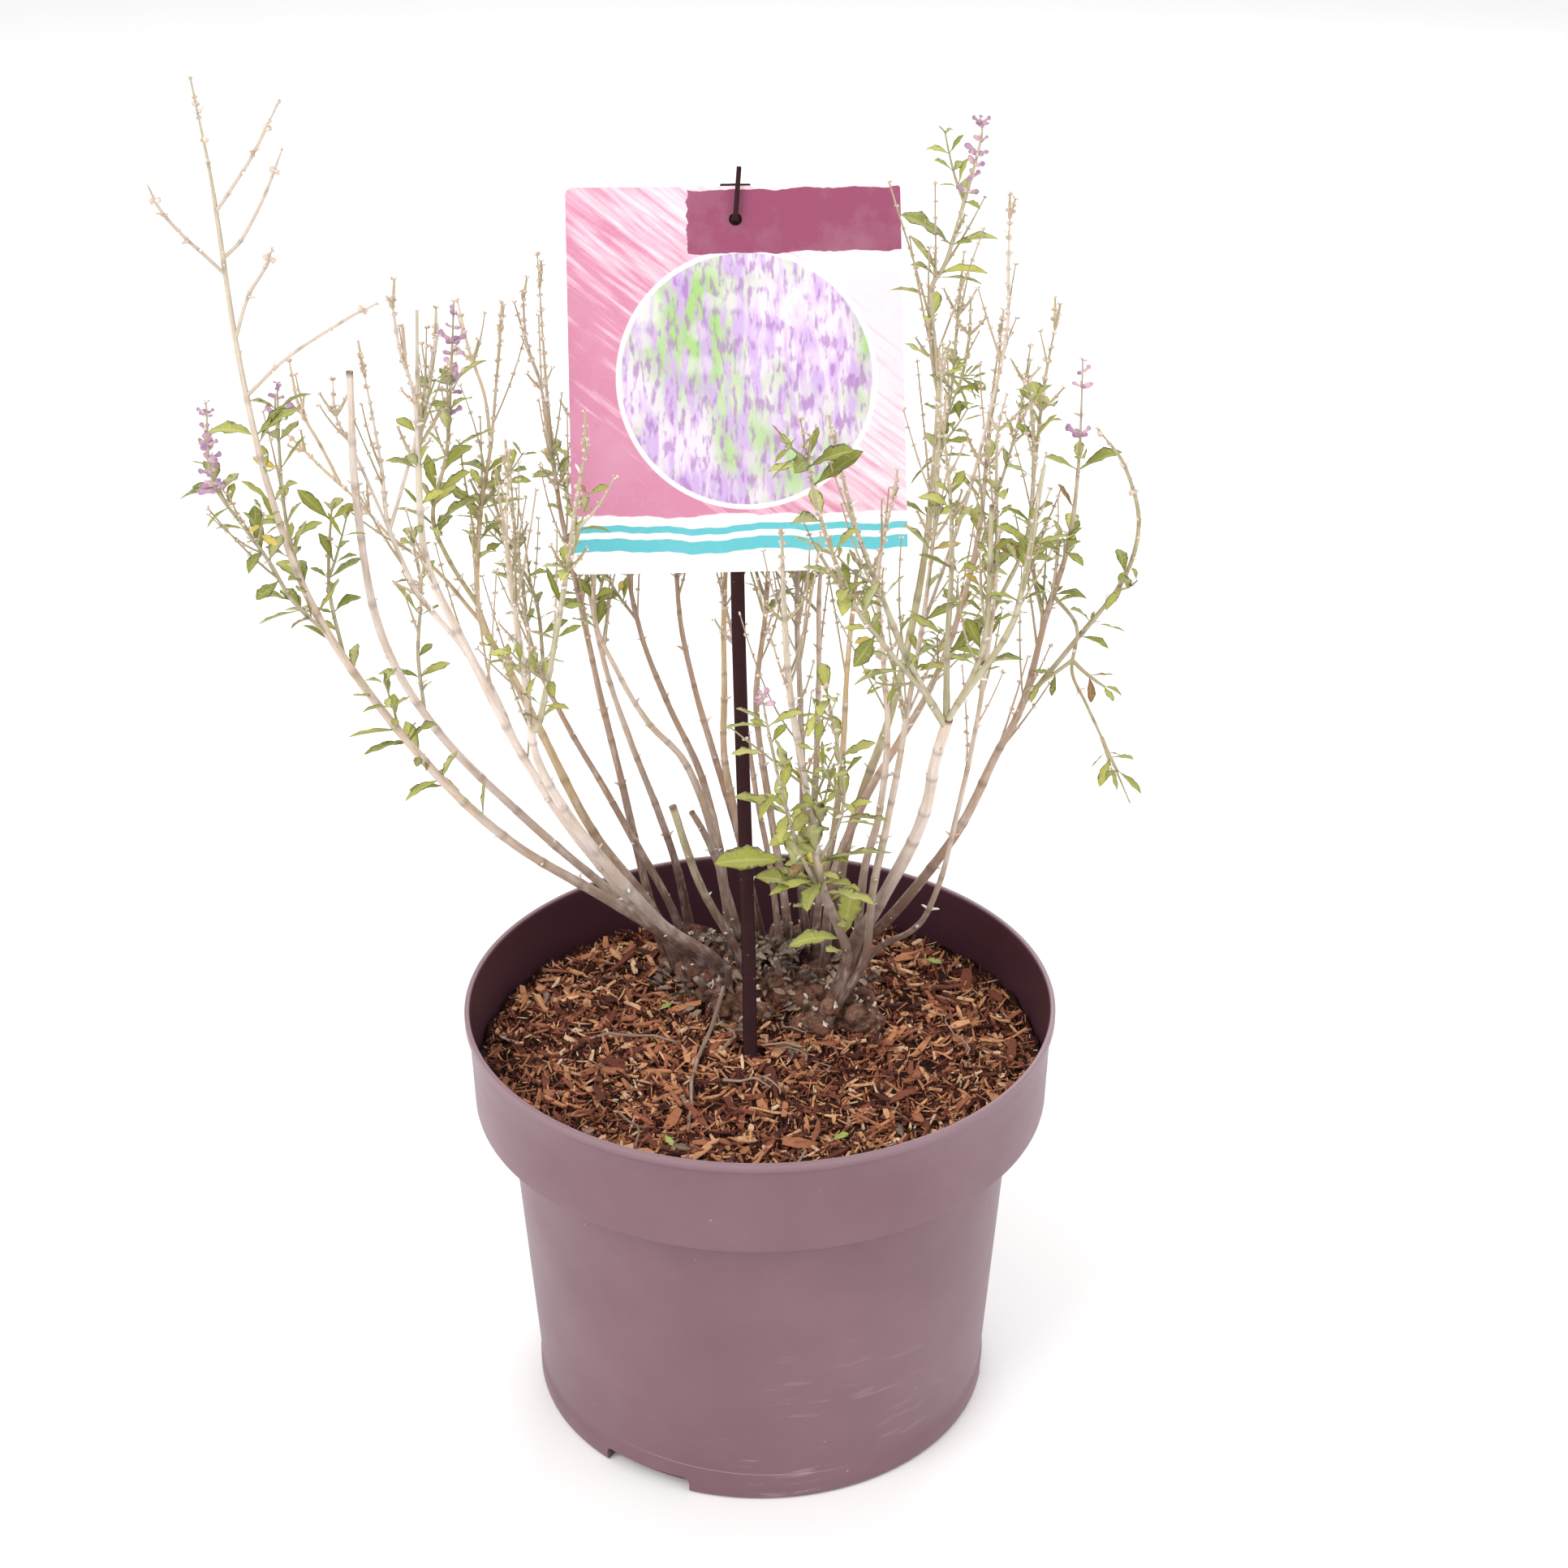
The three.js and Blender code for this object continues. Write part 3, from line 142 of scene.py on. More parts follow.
# Sizes in millimetres that the pieces share with their solids
SOIL_LEVEL = 150.0
POT_HEIGHT = 175.0
RIM_RADIUS = 115.4
BAND_FOOT = 134.5
NECK_RADIUS = 100.1
BASE_RADIUS = 91.1
WALL = 1.8
FLOOR = 3.0
SHELF = 136.3
LEAN = radians(27)
STAKE_FOOT = vec(-4, -9, 152)
STAKE_SUNK = 60.0
STAKE_RISE = 342.3
STAKE_SWAY = -4.2
STAKE_WIDTH = 5.5
STAKE_DEPTH = 3.0
HOOK_RISE = 21.0
CARD_WIDTH = 131.0
CARD_HEIGHT = 151.0
CARD_TURN = radians(0.93)
CARD_THICKNESS = 0.8
CARD_BOW = 2.5
CARD_TOP = STAKE_RISE - 1.3
CARD_HOLE_DROP = 13.0
CARD_HOLE_RADIUS = 2.6
PEG_RISE = CARD_TOP - CARD_HOLE_DROP
CARD_UP = vec(0, sin(LEAN), cos(LEAN))
CARD_OUT = vec(0, -cos(LEAN), sin(LEAN))
CARD_FORWARD = STAKE_DEPTH / 2 + 0.35 + CARD_THICKNESS / 2
CARD_SHIFT = vec(STAKE_SWAY + 0.2, 0, 0)
CARD_MIDDLE = (STAKE_FOOT + CARD_UP * (CARD_TOP - CARD_HEIGHT / 2) + CARD_OUT * CARD_FORWARD
               + CARD_SHIFT)


def soil_height(x: float, y: float) -> float:
    """Height of the mulch: a low mound round the rootstock, lower at the back, rough all over."""
    mound = 4 * math.exp(-((x - 5) ** 2 + (y - 30) ** 2) / 2500)
    back = smoothstep(y, 72, 98) * smoothstep(55 - abs(x), 0, 40)
    swells = sin(x * 0.31 + y * 0.17) + sin(y * 0.37 - x * 0.12)
    return SOIL_LEVEL + mound - 21 * back + 0.9 * (swells + sin(x * 1.3 + y * 1.7))


def sway(rise: float) -> float:
    """How far the stake has bent sideways at a height up from its foot, in millimetres."""
    return STAKE_SWAY * smoothstep(rise, 0, 210)


# Node trees


class Net:
    """Short calls that add nodes to a node tree and link them."""

    def __init__(self, tree: bpy.types.NodeTree) -> None:
        """Keeps the tree that the nodes go into."""
        self.tree = tree

    def put(self, kind: str, inputs: Mapping[Any, Any] | None = None, **settings: Any) -> Any:
        """Adds a node.

        Args:
            kind: The node's type name.
            inputs: Values, sockets or nodes for its inputs, by name or number.
            **settings: The node's own settings.

        Returns:
            The new node.
        """
        node = self.tree.nodes.new(kind)
        for name, value in settings.items():
            setattr(node, name, value)
        for key, value in (inputs or {}).items():
            value = value.outputs[0] if isinstance(value, bpy.types.Node) else value
            if isinstance(value, bpy.types.NodeSocket):
                self.tree.links.new(value, node.inputs[key])
            else:
                node.inputs[key].default_value = value
        return node

    def math(self, operation: str, *values: Any) -> Any:
        """Adds a Math node and returns its value."""
        return self.put("ShaderNodeMath", dict(enumerate(values)), operation=operation).outputs[0]

    def times(self, first: Any, *others: Any) -> Any:
        """Multiplies values."""
        for other in others:
            first = self.math("MULTIPLY", first, other)
        return first

    def plus(self, first: Any, second: Any) -> Any:
        """Adds two values."""
        return self.math("ADD", first, second)

    def apart(self, value: Any, middle: float) -> Any:
        """How far a value lies from a middle."""
        return self.math("ABSOLUTE", self.math("SUBTRACT", value, middle))

    def vector(self, operation: str, *values: Any) -> Any:
        """Adds a Vector Math node and returns its vector."""
        return self.put("ShaderNodeVectorMath", dict(enumerate(values)),
                        operation=operation).outputs[0]

    def scaled(self, vector: Any, factor: Any) -> Any:
        """Scales a vector."""
        return self.put("ShaderNodeVectorMath", {0: vector, "Scale": factor}, operation="SCALE")

    def xyz(self, x: Any = 0.0, y: Any = 0.0, z: Any = 0.0) -> Any:
        """Makes a vector of three values."""
        return self.put("ShaderNodeCombineXYZ", {0: x, 1: y, 2: z})

    def cloud(self, place: Any, scale: Any, detail: float, roughness: float = 0.5) -> Any:
        """Soft noise of 0 to 1 at a place."""
        return self.put("ShaderNodeTexNoise", {
            "Vector": place, "Scale": scale, "Detail": detail, "Roughness": roughness
        }).outputs["Fac"]

    def ranged(self, value: Any, low: Any, high: Any, start: float = 0.0, end: float = 1.0) -> Any:
        """Maps a value from one range to another, held to its ends."""
        node = self.put("ShaderNodeMapRange", {0: value, 1: low, 2: high, 3: start, 4: end})
        return node.outputs[0]

    def named(self, name: str, kind: str = "FLOAT") -> Any:
        """Reads one of the mesh's own attributes in a geometry tree."""
        node = self.put("GeometryNodeInputNamedAttribute", {"Name": name}, data_type=kind)
        return node.outputs["Attribute"]

    def place(self) -> Any:
        """Gives the object's own coordinates, in metres."""
        return self.put("ShaderNodeTexCoord").outputs["Object"]


SOCKETS = {float: "Float", int: "Int", bool: "Bool", tuple: "Vector"}


def new_group(name: str, kind: str, result: str, **inputs: Any) -> tuple[Net, Any]:
    """Starts a node group with named inputs and one output.

    Args:
        name: The group's name.
        kind: The type of its tree.
        result: The socket type of its output.
        **inputs: Value or socket type of each input, with _ for a space in its name.

    Returns:
        The net, and its inputs by name.
    """
    tree = bpy.data.node_groups.new(name, kind)
    for title, value in inputs.items():
        socket = value if isinstance(value, str) else SOCKETS[type(value)]
        item = tree.interface.new_socket(title.replace("_", " "), in_out="INPUT",
                                         socket_type="NodeSocket" + socket)
        if not isinstance(value, str):
            item.default_value = value
    tree.interface.new_socket("Result", in_out="OUTPUT", socket_type="NodeSocket" + result)
    net = Net(tree)
    return net, net.put("NodeGroupInput").outputs


class Effects:
    """Shader groups that several finishes share, each built once."""

    def __init__(self) -> None:
        """Builds soft blotches, which an uneven stretch turns into streaks, and small spots."""
        net, given = new_group("mottle", "ShaderNodeTree", "Float", Place="Vector", Scale=100.0,
                               Stretch=(1, 1, 1), Low=0.35, High=0.65)
        spot = net.vector("MULTIPLY", given["Place"], given["Stretch"])
        cloud = net.cloud(spot, given["Scale"], 4.0, 0.6)
        net.put("NodeGroupOutput", {0: net.ranged(cloud, given["Low"], given["High"])})
        self.mottle = net.tree
        net, given = new_group("specks", "ShaderNodeTree", "Float", Scale=300.0, Size=0.25,
                               Share=0.2)
        cells = net.put("ShaderNodeTexVoronoi", {"Vector": net.place(), "Scale": given["Scale"]})
        near = net.ranged(cells.outputs["Distance"], given["Size"], net.times(given["Size"], 0.6))
        dice = net.put("ShaderNodeSeparateColor", {0: cells.outputs["Color"]}).outputs[0]
        chosen = net.math("LESS_THAN", dice, given["Share"])
        net.put("NodeGroupOutput", {0: net.times(near, chosen)})
        self.specks = net.tree


class Surface(Net):
    """A material under construction, with one Principled shader."""

    def __init__(self, name: str, effects: Effects) -> None:
        """Starts an empty material of that name."""
        self.material = bpy.data.materials.new(name)
        self.material.use_nodes = True
        super().__init__(self.material.node_tree)
        self.tree.nodes.clear()
        self.effects = effects

    def mottle(self, scale: float, low: float, high: float, stretch: Spot = (1, 1, 1),
               place: Any = None) -> Any:
        """Places the mottle group with its own values.

        Args:
            scale: The size of its pattern, larger for finer blotches.
            low: Where the mask begins.
            high: Where it is full.
            stretch: Factors on each axis of its place.
            place: The place's socket, or None for the object's own coordinates.

        Returns:
            The mask's socket.
        """
        return self.put("ShaderNodeGroup", {
            "Scale": scale, "Stretch": stretch, "Low": low, "High": high,
            "Place": place or self.place()}, node_tree=self.effects.mottle).outputs[0]

    def specks(self, scale: float, size: float, share: float) -> Any:
        """Places the specks group with its own values and returns its mask."""
        return self.put("ShaderNodeGroup", {"Scale": scale, "Size": size, "Share": share},
                        node_tree=self.effects.specks).outputs[0]

    def over(self, colour: Any, other: Any, mask: Any, strength: float = 1.0) -> Any:
        """Lays another colour over one.

        Args:
            colour: The colour below, or its socket.
            other: The colour on top, or its socket.
            mask: Where it lies, from 0 to 1.
            strength: How strongly it covers there.

        Returns:
            The mixed colour's socket.
        """
        mask = mask if strength == 1 else self.times(mask, strength)
        return self.put("ShaderNodeMix", {0: mask, 6: colour, 7: other},
                        data_type="RGBA").outputs[2]

    def tones(self, value: Any, stops: Ramp) -> Any:
        """Turns a value into a colour by way of a ramp.

        Args:
            value: A value of 0 to 1.
            stops: The places and colours of the ramp.

        Returns:
            The colour's socket.
        """
        node = self.put("ShaderNodeValToRGB", {0: value})
        elements = node.color_ramp.elements
        while len(elements) < len(stops):
            elements.new(1.0)
        for element, (place, colour) in zip(elements, stops):
            element.position, element.color = place, colour
        return node.outputs[0]

    def read(self, name: str, output: str = "Fac") -> Any:
        """Reads one of the mesh's own attributes."""
        return self.put("ShaderNodeAttribute", attribute_name=name).outputs[output]

    def finish(self, colour: Any, roughness: Any, height: Any = None, depth: float = 0.0,
               **constants: float) -> Material:
        """Ends the material with its shader.

        Args:
            colour: The base colour or its socket.
            roughness: The roughness or its socket.
            height: A relief of 0 to 1, or None for a smooth surface.
            depth: The depth of the relief, in metres.
            **constants: Further inputs of the shader, with _ for a space.

        Returns:
            The material.
        """
        values = {"Base Color": colour, "Roughness": roughness}
        if height is not None:
            values["Normal"] = self.put("ShaderNodeBump", {
                "Strength": 1.0, "Distance": depth, "Height": height})
        values |= {key.replace("_", " "): value for key, value in constants.items()}
        self.put("ShaderNodeOutputMaterial", {
            "Surface": self.put("ShaderNodeBsdfPrincipled", values)})
        return self.material


# Finishes: each keeps its colours and draws itself on a new surface


@dataclass(frozen=True)
class MouldedPlastic:
    """Dull plum plastic with a fine skin, dust and worn patches near the foot, with painted light:
    shade on its inner side and highlights on its lip and shelf.
    """

    body: Colour = paint(112, 80, 90)
    dusty: Colour = paint(124, 93, 102)
    # Worn patches and streaks, and also the painted highlights on the lip and on the shelf rings
    rubbed_and_highlight: Colour = paint(158, 134, 140)
    grit: Colour = paint(176, 154, 146)
    # Painted shade on the inner side of the pot
    inside: Colour = paint(72, 42, 52)

    def draw(self, net: Surface) -> Material:
        """Draws dust, worn streaks, a painted highlight on the lip, a pale foot line, painted shade
        on the inner side and painted highlight rings on the inner shelf.

        Args:
            net: The new surface.

        Returns:
            The material.
        """
        x, y, z = net.put("ShaderNodeSeparateXYZ", {0: net.place()}).outputs
        front = net.ranged(y, -0.06, -0.085)
        inside = net.read("inside")
        colour = net.over(self.body, self.dusty, net.mottle(14, 0.35, 0.75))
        worn = net.times(net.mottle(34, 0.6, 0.68, (1, 1, 7)), net.times(
            net.ranged(z, 0.085, 0.03), net.times(front, net.ranged(x, -0.03, 0.0))))
        colour = net.over(colour, self.rubbed_and_highlight, worn, 0.5)
        colour = net.over(colour, self.rubbed_and_highlight, net.mottle(60, 0.7, 0.8, (1, 1, 12)), 0.15)
        # Painted highlight: the rim lip is lightened all round
        colour = net.over(colour, self.rubbed_and_highlight, net.ranged(z, 0.1715, 0.1742), 0.4)
        foot = net.apart(net.plus(z, net.times(x, 0.04)), 0.0125)
        middle = net.math("ABSOLUTE", net.plus(x, 0.012))
        line = net.times(net.ranged(foot, 0.00026, 0.0001), front, net.ranged(middle, 0.05, 0.03))
        colour = net.over(colour, self.grit, line, 0.5)
        # Painted shade: the inner side is darkened
        colour = net.over(colour, self.inside, inside)
        # Painted highlights: pale rings on the ridges of the inner shelf stand in for their
        # reflections
        out = net.put("ShaderNodeVectorMath", {0: net.vector("MULTIPLY", net.place(), (1, 1, 0))},
                      operation="LENGTH").outputs["Value"]
        rings = net.apart(net.math("FRACT", net.math("DIVIDE", out, 0.0026)), 0.5)
        shelf = net.times(net.ranged(z, 0.1375, 0.137), net.ranged(z, 0.1345, 0.1355))
        rings = net.times(net.ranged(rings, 0.12, 0.04), shelf, inside)
        colour = net.over(colour, self.rubbed_and_highlight, rings, 0.6)
        colour = net.over(colour, self.grit, net.specks(330, 0.16, 0.02), 0.6)
        roughness = net.plus(net.times(net.mottle(25, 0.3, 0.7), 0.08), 0.36)
        return net.finish(colour, roughness, net.cloud(net.place(), 900.0, 2.0), 0.00006,
                          Specular_IOR_Level=0.42)


@dataclass(frozen=True)
class Earth:
    """The fine dark crumbs between the chips."""

    dark: Colour = paint(42, 20, 17)
    light: Colour = paint(98, 54, 40)

    def draw(self, net: Surface) -> Material:
        """Draws crumbs in two browns."""
        colour = net.over(self.dark, self.light, net.mottle(260, 0.4, 0.7))
        return net.finish(colour, 0.95, net.mottle(700, 0.3, 0.7), 0.0012, Specular_IOR_Level=0.2)


@dataclass(frozen=True)
class Shreds:
    """Shredded bark: rust, tan and dark splinters, with a few pale bits."""

    stops: Ramp = ramp((0, 60, 28, 23), (0.24, 112, 58, 43), (0.5, 164, 100, 72),
                       (0.74, 206, 144, 102), (0.92, 232, 182, 138), (0.99, 238, 212, 182),
                       (1, 240, 236, 228))
    fibre: Colour = paint(84, 42, 32)

    def draw(self, net: Surface) -> Material:
        """Draws each splinter in its own tint, with fibres."""
        colour = net.tones(net.read("tint"), self.stops)
        colour = net.over(colour, self.fibre, net.mottle(420, 0.35, 0.7), 0.35)
        return net.finish(colour, 0.82, net.mottle(1400, 0.3, 0.7), 0.0002, Specular_IOR_Level=0.3)


@dataclass(frozen=True)
class StemBark:
    """Thin bark that takes its own colour from the mesh, with streaks, scars and pale patches."""

    scar: Colour = paint(104, 78, 62)
    bloom: Colour = paint(240, 230, 222)
    crack: Colour = paint(112, 88, 74)

    def draw(self, net: Surface) -> Material:
        """Draws streaks and patches along each limb.

        Args:
            net: The new surface.

        Returns:
            The material.
        """
        place = net.vector("ADD", net.read("around", "Vector"),
                           net.xyz(z=net.read("along")).outputs[0])
        colour = net.over(net.read("bark_tint", "Color"), self.crack,
                          net.mottle(900, 0.46, 0.68, (1, 1, 0.09), place), 0.3)
        colour = net.over(colour, self.bloom, net.mottle(240, 0.5, 0.68, (1, 1, 0.35), place), 0.34)
        colour = net.over(colour, self.scar, net.read("scar"), 0.4)
        ridges = net.plus(net.mottle(1500, 0.3, 0.7, (1, 1, 0.07), place),
                          net.mottle(500, 0.3, 0.7, (1, 1, 0.5), place))
        return net.finish(colour, 0.74, ridges, 0.00016, Specular_IOR_Level=0.28, Sheen_Weight=0.1)


@dataclass(frozen=True)
class OldWood:
    """The rootstock: red-brown knobs, cracked, with painted shade between them."""

    # Dark cracks, and painted shade in the hollows between the knobs
    deep: Colour = paint(42, 22, 19)
    knob: Colour = paint(132, 88, 72)
    high: Colour = paint(168, 128, 108)
    lichen: Colour = paint(214, 202, 190)

    def draw(self, net: Surface) -> Material:
        """Draws knobs, cracks, painted shade in the hollows between the knobs, and lichen.

        Args:
            net: The new surface.

        Returns:
            The material.
        """
        colour = net.over(self.knob, self.high, net.mottle(110, 0.36, 0.66))
        colour = net.over(colour, self.deep, net.mottle(420, 0.45, 0.7), 0.5)
        # Painted shade: the hollows between the knobs are darkened
        colour = net.over(colour, self.deep, net.read("hollow_shade"))
        colour = net.over(colour, self.lichen, net.specks(300, 0.3, 0.14), 0.7)
        ridges = net.plus(net.mottle(330, 0.3, 0.7), net.mottle(1100, 0.3, 0.7))
        return net.finish(colour, 0.88, ridges, 0.0007, Specular_IOR_Level=0.22)


@dataclass(frozen=True)
class Foliage:
    """A downy leaf: greens by its tint, a pale midrib and side veins, and a paler underside."""

    stops: Ramp = ramp((0, 122, 126, 46), (0.3, 148, 151, 60), (0.6, 178, 178, 82),
                       (0.8, 200, 198, 108), (0.93, 222, 190, 76), (1, 150, 102, 64))
    under: Colour = paint(192, 191, 134)
    vein: Colour = paint(216, 220, 156)
    vein_share: float = 0.3
    burnt: Colour = paint(140, 104, 58)

    def draw(self, net: Surface) -> Material:
        """Draws the blade, its veins and its burnt rim.

        Args:
            net: The new surface.

        Returns:
            The material.
        """
        share = net.read("share")
        across = net.math("ABSOLUTE", net.read("across"))
        colour = net.tones(net.read("tint"), self.stops)
        colour = net.over(colour, self.stops[0][1], net.mottle(300, 0.35, 0.7), 0.3)
        colour = net.over(colour, self.under, net.read("under"), 0.65)
        slant = net.math("SUBTRACT", net.times(share, 7.0), net.times(across, 1.1))
        side = net.ranged(net.apart(net.math("FRACT", slant), 0.5), 0.12, 0.02)
        veins = net.math("MAXIMUM", net.ranged(across, 0.2, 0.04), net.times(side, 0.3))
        colour = net.over(colour, self.vein, veins, self.vein_share)
        rim = net.times(net.ranged(across, 0.86, 1.0), net.mottle(120, 0.6, 0.72))
        colour = net.over(colour, self.burnt, rim, 0.6)
        relief = net.math("SUBTRACT", net.mottle(1100, 0.3, 0.7), veins)
        return net.finish(colour, 0.62, relief, 0.00014, Specular_IOR_Level=0.3,
                          Sheen_Weight=0.2, Sheen_Roughness=0.5)


@dataclass(frozen=True)
class Petal:
    """Downy buds: a pinkish calyx, a lavender tube and a violet tip."""

    stops: Ramp = ramp((0, 196, 172, 144), (0.25, 222, 180, 182), (0.5, 226, 186, 202),
                       (0.8, 212, 164, 190), (1, 132, 94, 146))
    dark: Colour = paint(136, 92, 128)
    down: Colour = paint(226, 208, 222)

    def draw(self, net: Surface) -> Material:
        """Draws each bud from calyx to tip, darker by its tint, with down."""
        colour = net.tones(net.read("share"), self.stops)
        colour = net.over(colour, self.dark, net.read("tint"), 0.9)
        down = net.mottle(1500, 0.35, 0.7)
        colour = net.over(colour, self.down, down, 0.25)
        return net.finish(colour, 0.7, down, 0.0002, Specular_IOR_Level=0.25, Sheen_Weight=0.35)


@dataclass(frozen=True)
class DryCalyx:
    """Dry calyces, bud scales and leaf stubs: from white down to tan and brown."""

    stops: Ramp = ramp((0, 250, 245, 240), (0.3, 234, 216, 202), (0.6, 214, 190, 170),
                       (0.85, 190, 176, 138), (1, 148, 116, 96))
    stain: Colour = paint(140, 112, 94)

    def draw(self, net: Surface) -> Material:
        """Draws each calyx in its own tint, stained."""
        colour = net.tones(net.read("tint"), self.stops)
        colour = net.over(colour, self.stain, net.mottle(900, 0.4, 0.7), 0.25)
        return net.finish(colour, 0.8, net.mottle(1600, 0.3, 0.7), 0.0002,
                          Specular_IOR_Level=0.25, Sheen_Weight=0.15)


@dataclass(frozen=True)
class StakePlastic:
    """Very dark plum plastic with a little dust on it."""

    body: Colour = paint(44, 15, 18)
    bloom: Colour = paint(70, 34, 40)
    dust: Colour = paint(128, 100, 94)

    def draw(self, net: Surface) -> Material:
        """Draws a blotchy skin and dust."""
        colour = net.over(self.body, self.bloom, net.mottle(160, 0.45, 0.8), 0.25)
        colour = net.over(colour, self.dust, net.specks(420, 0.2, 0.08), 0.5)
        return net.finish(colour, 0.56, net.mottle(700, 0.3, 0.7), 0.00008,
                          Specular_IOR_Level=0.16)


@dataclass(frozen=True)
class PrintedSheet:
    """A generic print: rose wash, a round window of soft lights, a plum bar and teal waves."""

    rose: Colour = paint(206, 132, 162)
    blush: Colour = paint(250, 220, 230)
    white: Colour = paint(247, 244, 243)
    plum: Colour = paint(144, 64, 98)
    teal: Colour = paint(96, 190, 200)
    lavender: Colour = paint(196, 160, 218)
    violet: Colour = paint(158, 106, 176)
    haze: Colour = paint(232, 216, 236)
    leaf: Colour = paint(160, 200, 120)
    plain: Colour = paint(240, 238, 236)
    tall: float = 1.153

    @staticmethod
    def _wavy(net: Surface, value: Any, along: Any, size: float, scale: float) -> Any:
        """Shifts a value by a wave that runs along another one."""
        wave = net.cloud(net.xyz(net.times(along, scale)), 1.0, 3.0)
        return net.plus(value, net.times(net.math("SUBTRACT", wave, 0.5), size))

    @staticmethod
    def _inside(net: Surface, value: Any, low: float, high: float, soft: float = 0.001) -> Any:
        """A mask that is 1 between two values, with soft edges."""
        return net.times(net.ranged(value, low - soft, low + soft),
                         net.ranged(value, high + soft, high - soft))

    def _wash(self, net: Surface, u: Any, v: Any) -> Any:
        """The rose wash, brushed along a slant and deepest at the lower left."""
        slant = net.xyz(net.plus(net.times(u, 3.0), net.times(v, -2.0)),
                        net.plus(net.times(u, 26.0), net.times(v, 38.0)))
        fade = net.math("SUBTRACT", 0.9, net.plus(net.times(u, 0.45), net.times(v, 0.35)))
        depth = net.ranged(net.plus(net.cloud(slant, 1.0, 6.0, 0.62), fade), 0.82, 1.12)
        return net.over(self.blush, self.rose, depth)

    def _lights(self, net: Surface, u: Any, v: Any, colour: Any) -> Any:
        """A round window of soft lights and upright streaks on a green and lavender ground.

        Args:
            net: The new surface.
            u: The place across the label.
            v: The place up the label.
            colour: The colour so far.

        Returns:
            The colour's socket.
        """
        flat = net.xyz(u, net.times(v, self.tall)).outputs[0]
        clouds = [net.cloud(net.vector("MULTIPLY", flat, stretch), scale, 3.0) for scale, stretch
                  in ((3.0, (1, 0.7, 1)), (7.0, (4.0, 0.9, 1)), (17.0, (3.4, 1.0, 1)))]
        view = net.over(self.leaf, self.haze, net.ranged(clouds[0], 0.38, 0.56))
        view = net.over(view, self.lavender, net.ranged(clouds[1], 0.46, 0.6), 0.85)
        view = net.over(view, self.violet, net.ranged(clouds[2], 0.5, 0.62), 0.7)
        for scale, size, tone in ((6.0, 0.44, self.white), (11.0, 0.4, self.haze)):
            cells = net.put("ShaderNodeTexVoronoi", {"Vector": flat, "Scale": scale},
                            voronoi_dimensions="2D").outputs
            disc = net.ranged(cells["Distance"], size, size - 0.2)
            dice = net.put("ShaderNodeSeparateColor", {0: cells["Color"]}).outputs[1]
            view = net.over(view, tone, net.times(disc, net.math("GREATER_THAN", dice, 0.55)), 0.4)
        across = net.math("SUBTRACT", u, 0.53)
        along = net.times(net.math("SUBTRACT", v, 0.5), self.tall)
        out = net.math("SQRT", net.plus(net.math("POWER", across, 2.0),
                                        net.math("POWER", along, 2.0)))
        colour = net.over(colour, self.white, net.ranged(out, 0.392, 0.388))
        return net.over(colour, view, net.ranged(out, 0.378, 0.374))

    def draw(self, net: Surface) -> Material:
        """Draws the wash, the window, the bar and the waves on the label's face.

        Args:
            net: The new surface.

        Returns:
            The material.
        """
        u, v = net.read("card_u"), net.read("card_v")
        colour = self._lights(net, u, v, self._wash(net, u, v))
        foot = net.ranged(self._wavy(net, v, u, 0.05, 5.0), 0.15, 0.146)
        colour = net.over(colour, self.white, foot)
        bar = net.times(self._inside(net, self._wavy(net, v, u, 0.03, 9.0), 0.825, 0.99),
                        net.ranged(self._wavy(net, u, v, 0.03, 30.0), 0.36, 0.362))
        colour = net.over(colour, self.plum, bar)
        for low, high in ((0.055, 0.088), (0.104, 0.122)):
            wave = self._inside(net, self._wavy(net, v, u, 0.06, 4.0), low, high)
            colour = net.over(colour, self.teal, wave)
        dull = net.times(net.mottle(45, 0.45, 0.75), 0.08)
        colour = net.over(colour, self.white, dull)
        colour = net.over(self.plain, colour, net.read("printed"))
        return net.finish(colour, net.plus(dull, 0.26), Specular_IOR_Level=0.45,
                          Coat_Weight=0.15, Coat_Roughness=0.2)


@dataclass(frozen=True)
class StudioFloor:
    """A plain pale floor."""

    white: Colour = paint(248, 247, 247)

    def draw(self, net: Surface) -> Material:
        """Draws the bare floor."""
        return net.finish(self.white, 0.9, Specular_IOR_Level=0.1)


FINISHES = {
    "plum_plastic": MouldedPlastic(), "dark_crumbs": Earth(), "shredded_bark": Shreds(),
    "stem_bark": StemBark(), "rootstock_wood": OldWood(), "downy_leaf": Foliage(),
    "dry_leaf": Foliage(
        ramp((0, 92, 70, 58), (0.4, 142, 120, 102), (0.7, 182, 162, 144), (0.85, 156, 108, 76),
             (0.9, 150, 170, 70), (1, 170, 190, 80)),
        paint(140, 124, 108), paint(170, 152, 132), 0.4),
    "lavender_petal": Petal(), "dry_calyx": DryCalyx(), "stake_plastic": StakePlastic(),
    "printed_sheet": PrintedSheet(), "studio_floor": StudioFloor(),
}


# Meshes


def planted(name: str, mesh: bpy.types.Mesh) -> Object:
    """Puts a mesh in the scene as an object at the origin."""
    piece = bpy.data.objects.new(name, mesh)
    bpy.context.scene.collection.objects.link(piece)
    return piece


def drawn(name: str, points: Iterable[Sequence[float]], edges: Iterable[Any] = (),
          faces: Iterable[Any] = (), scale: float = MM) -> bpy.types.Mesh:
    """Makes a mesh of points, in millimetres unless a scale is given, with edges or faces."""
    mesh = bpy.data.meshes.new(name)
    mesh.from_pydata([tuple(float(value) * scale for value in point) for point in points],
                     list(edges), [tuple(face) for face in faces])
    return mesh


def sheet(name: str, points: Iterable[Sequence[float]], faces: Iterable[Any]) -> Object:
    """Makes an object from points in millimetres and faces."""
    return planted(name, drawn(name, points, (), faces))


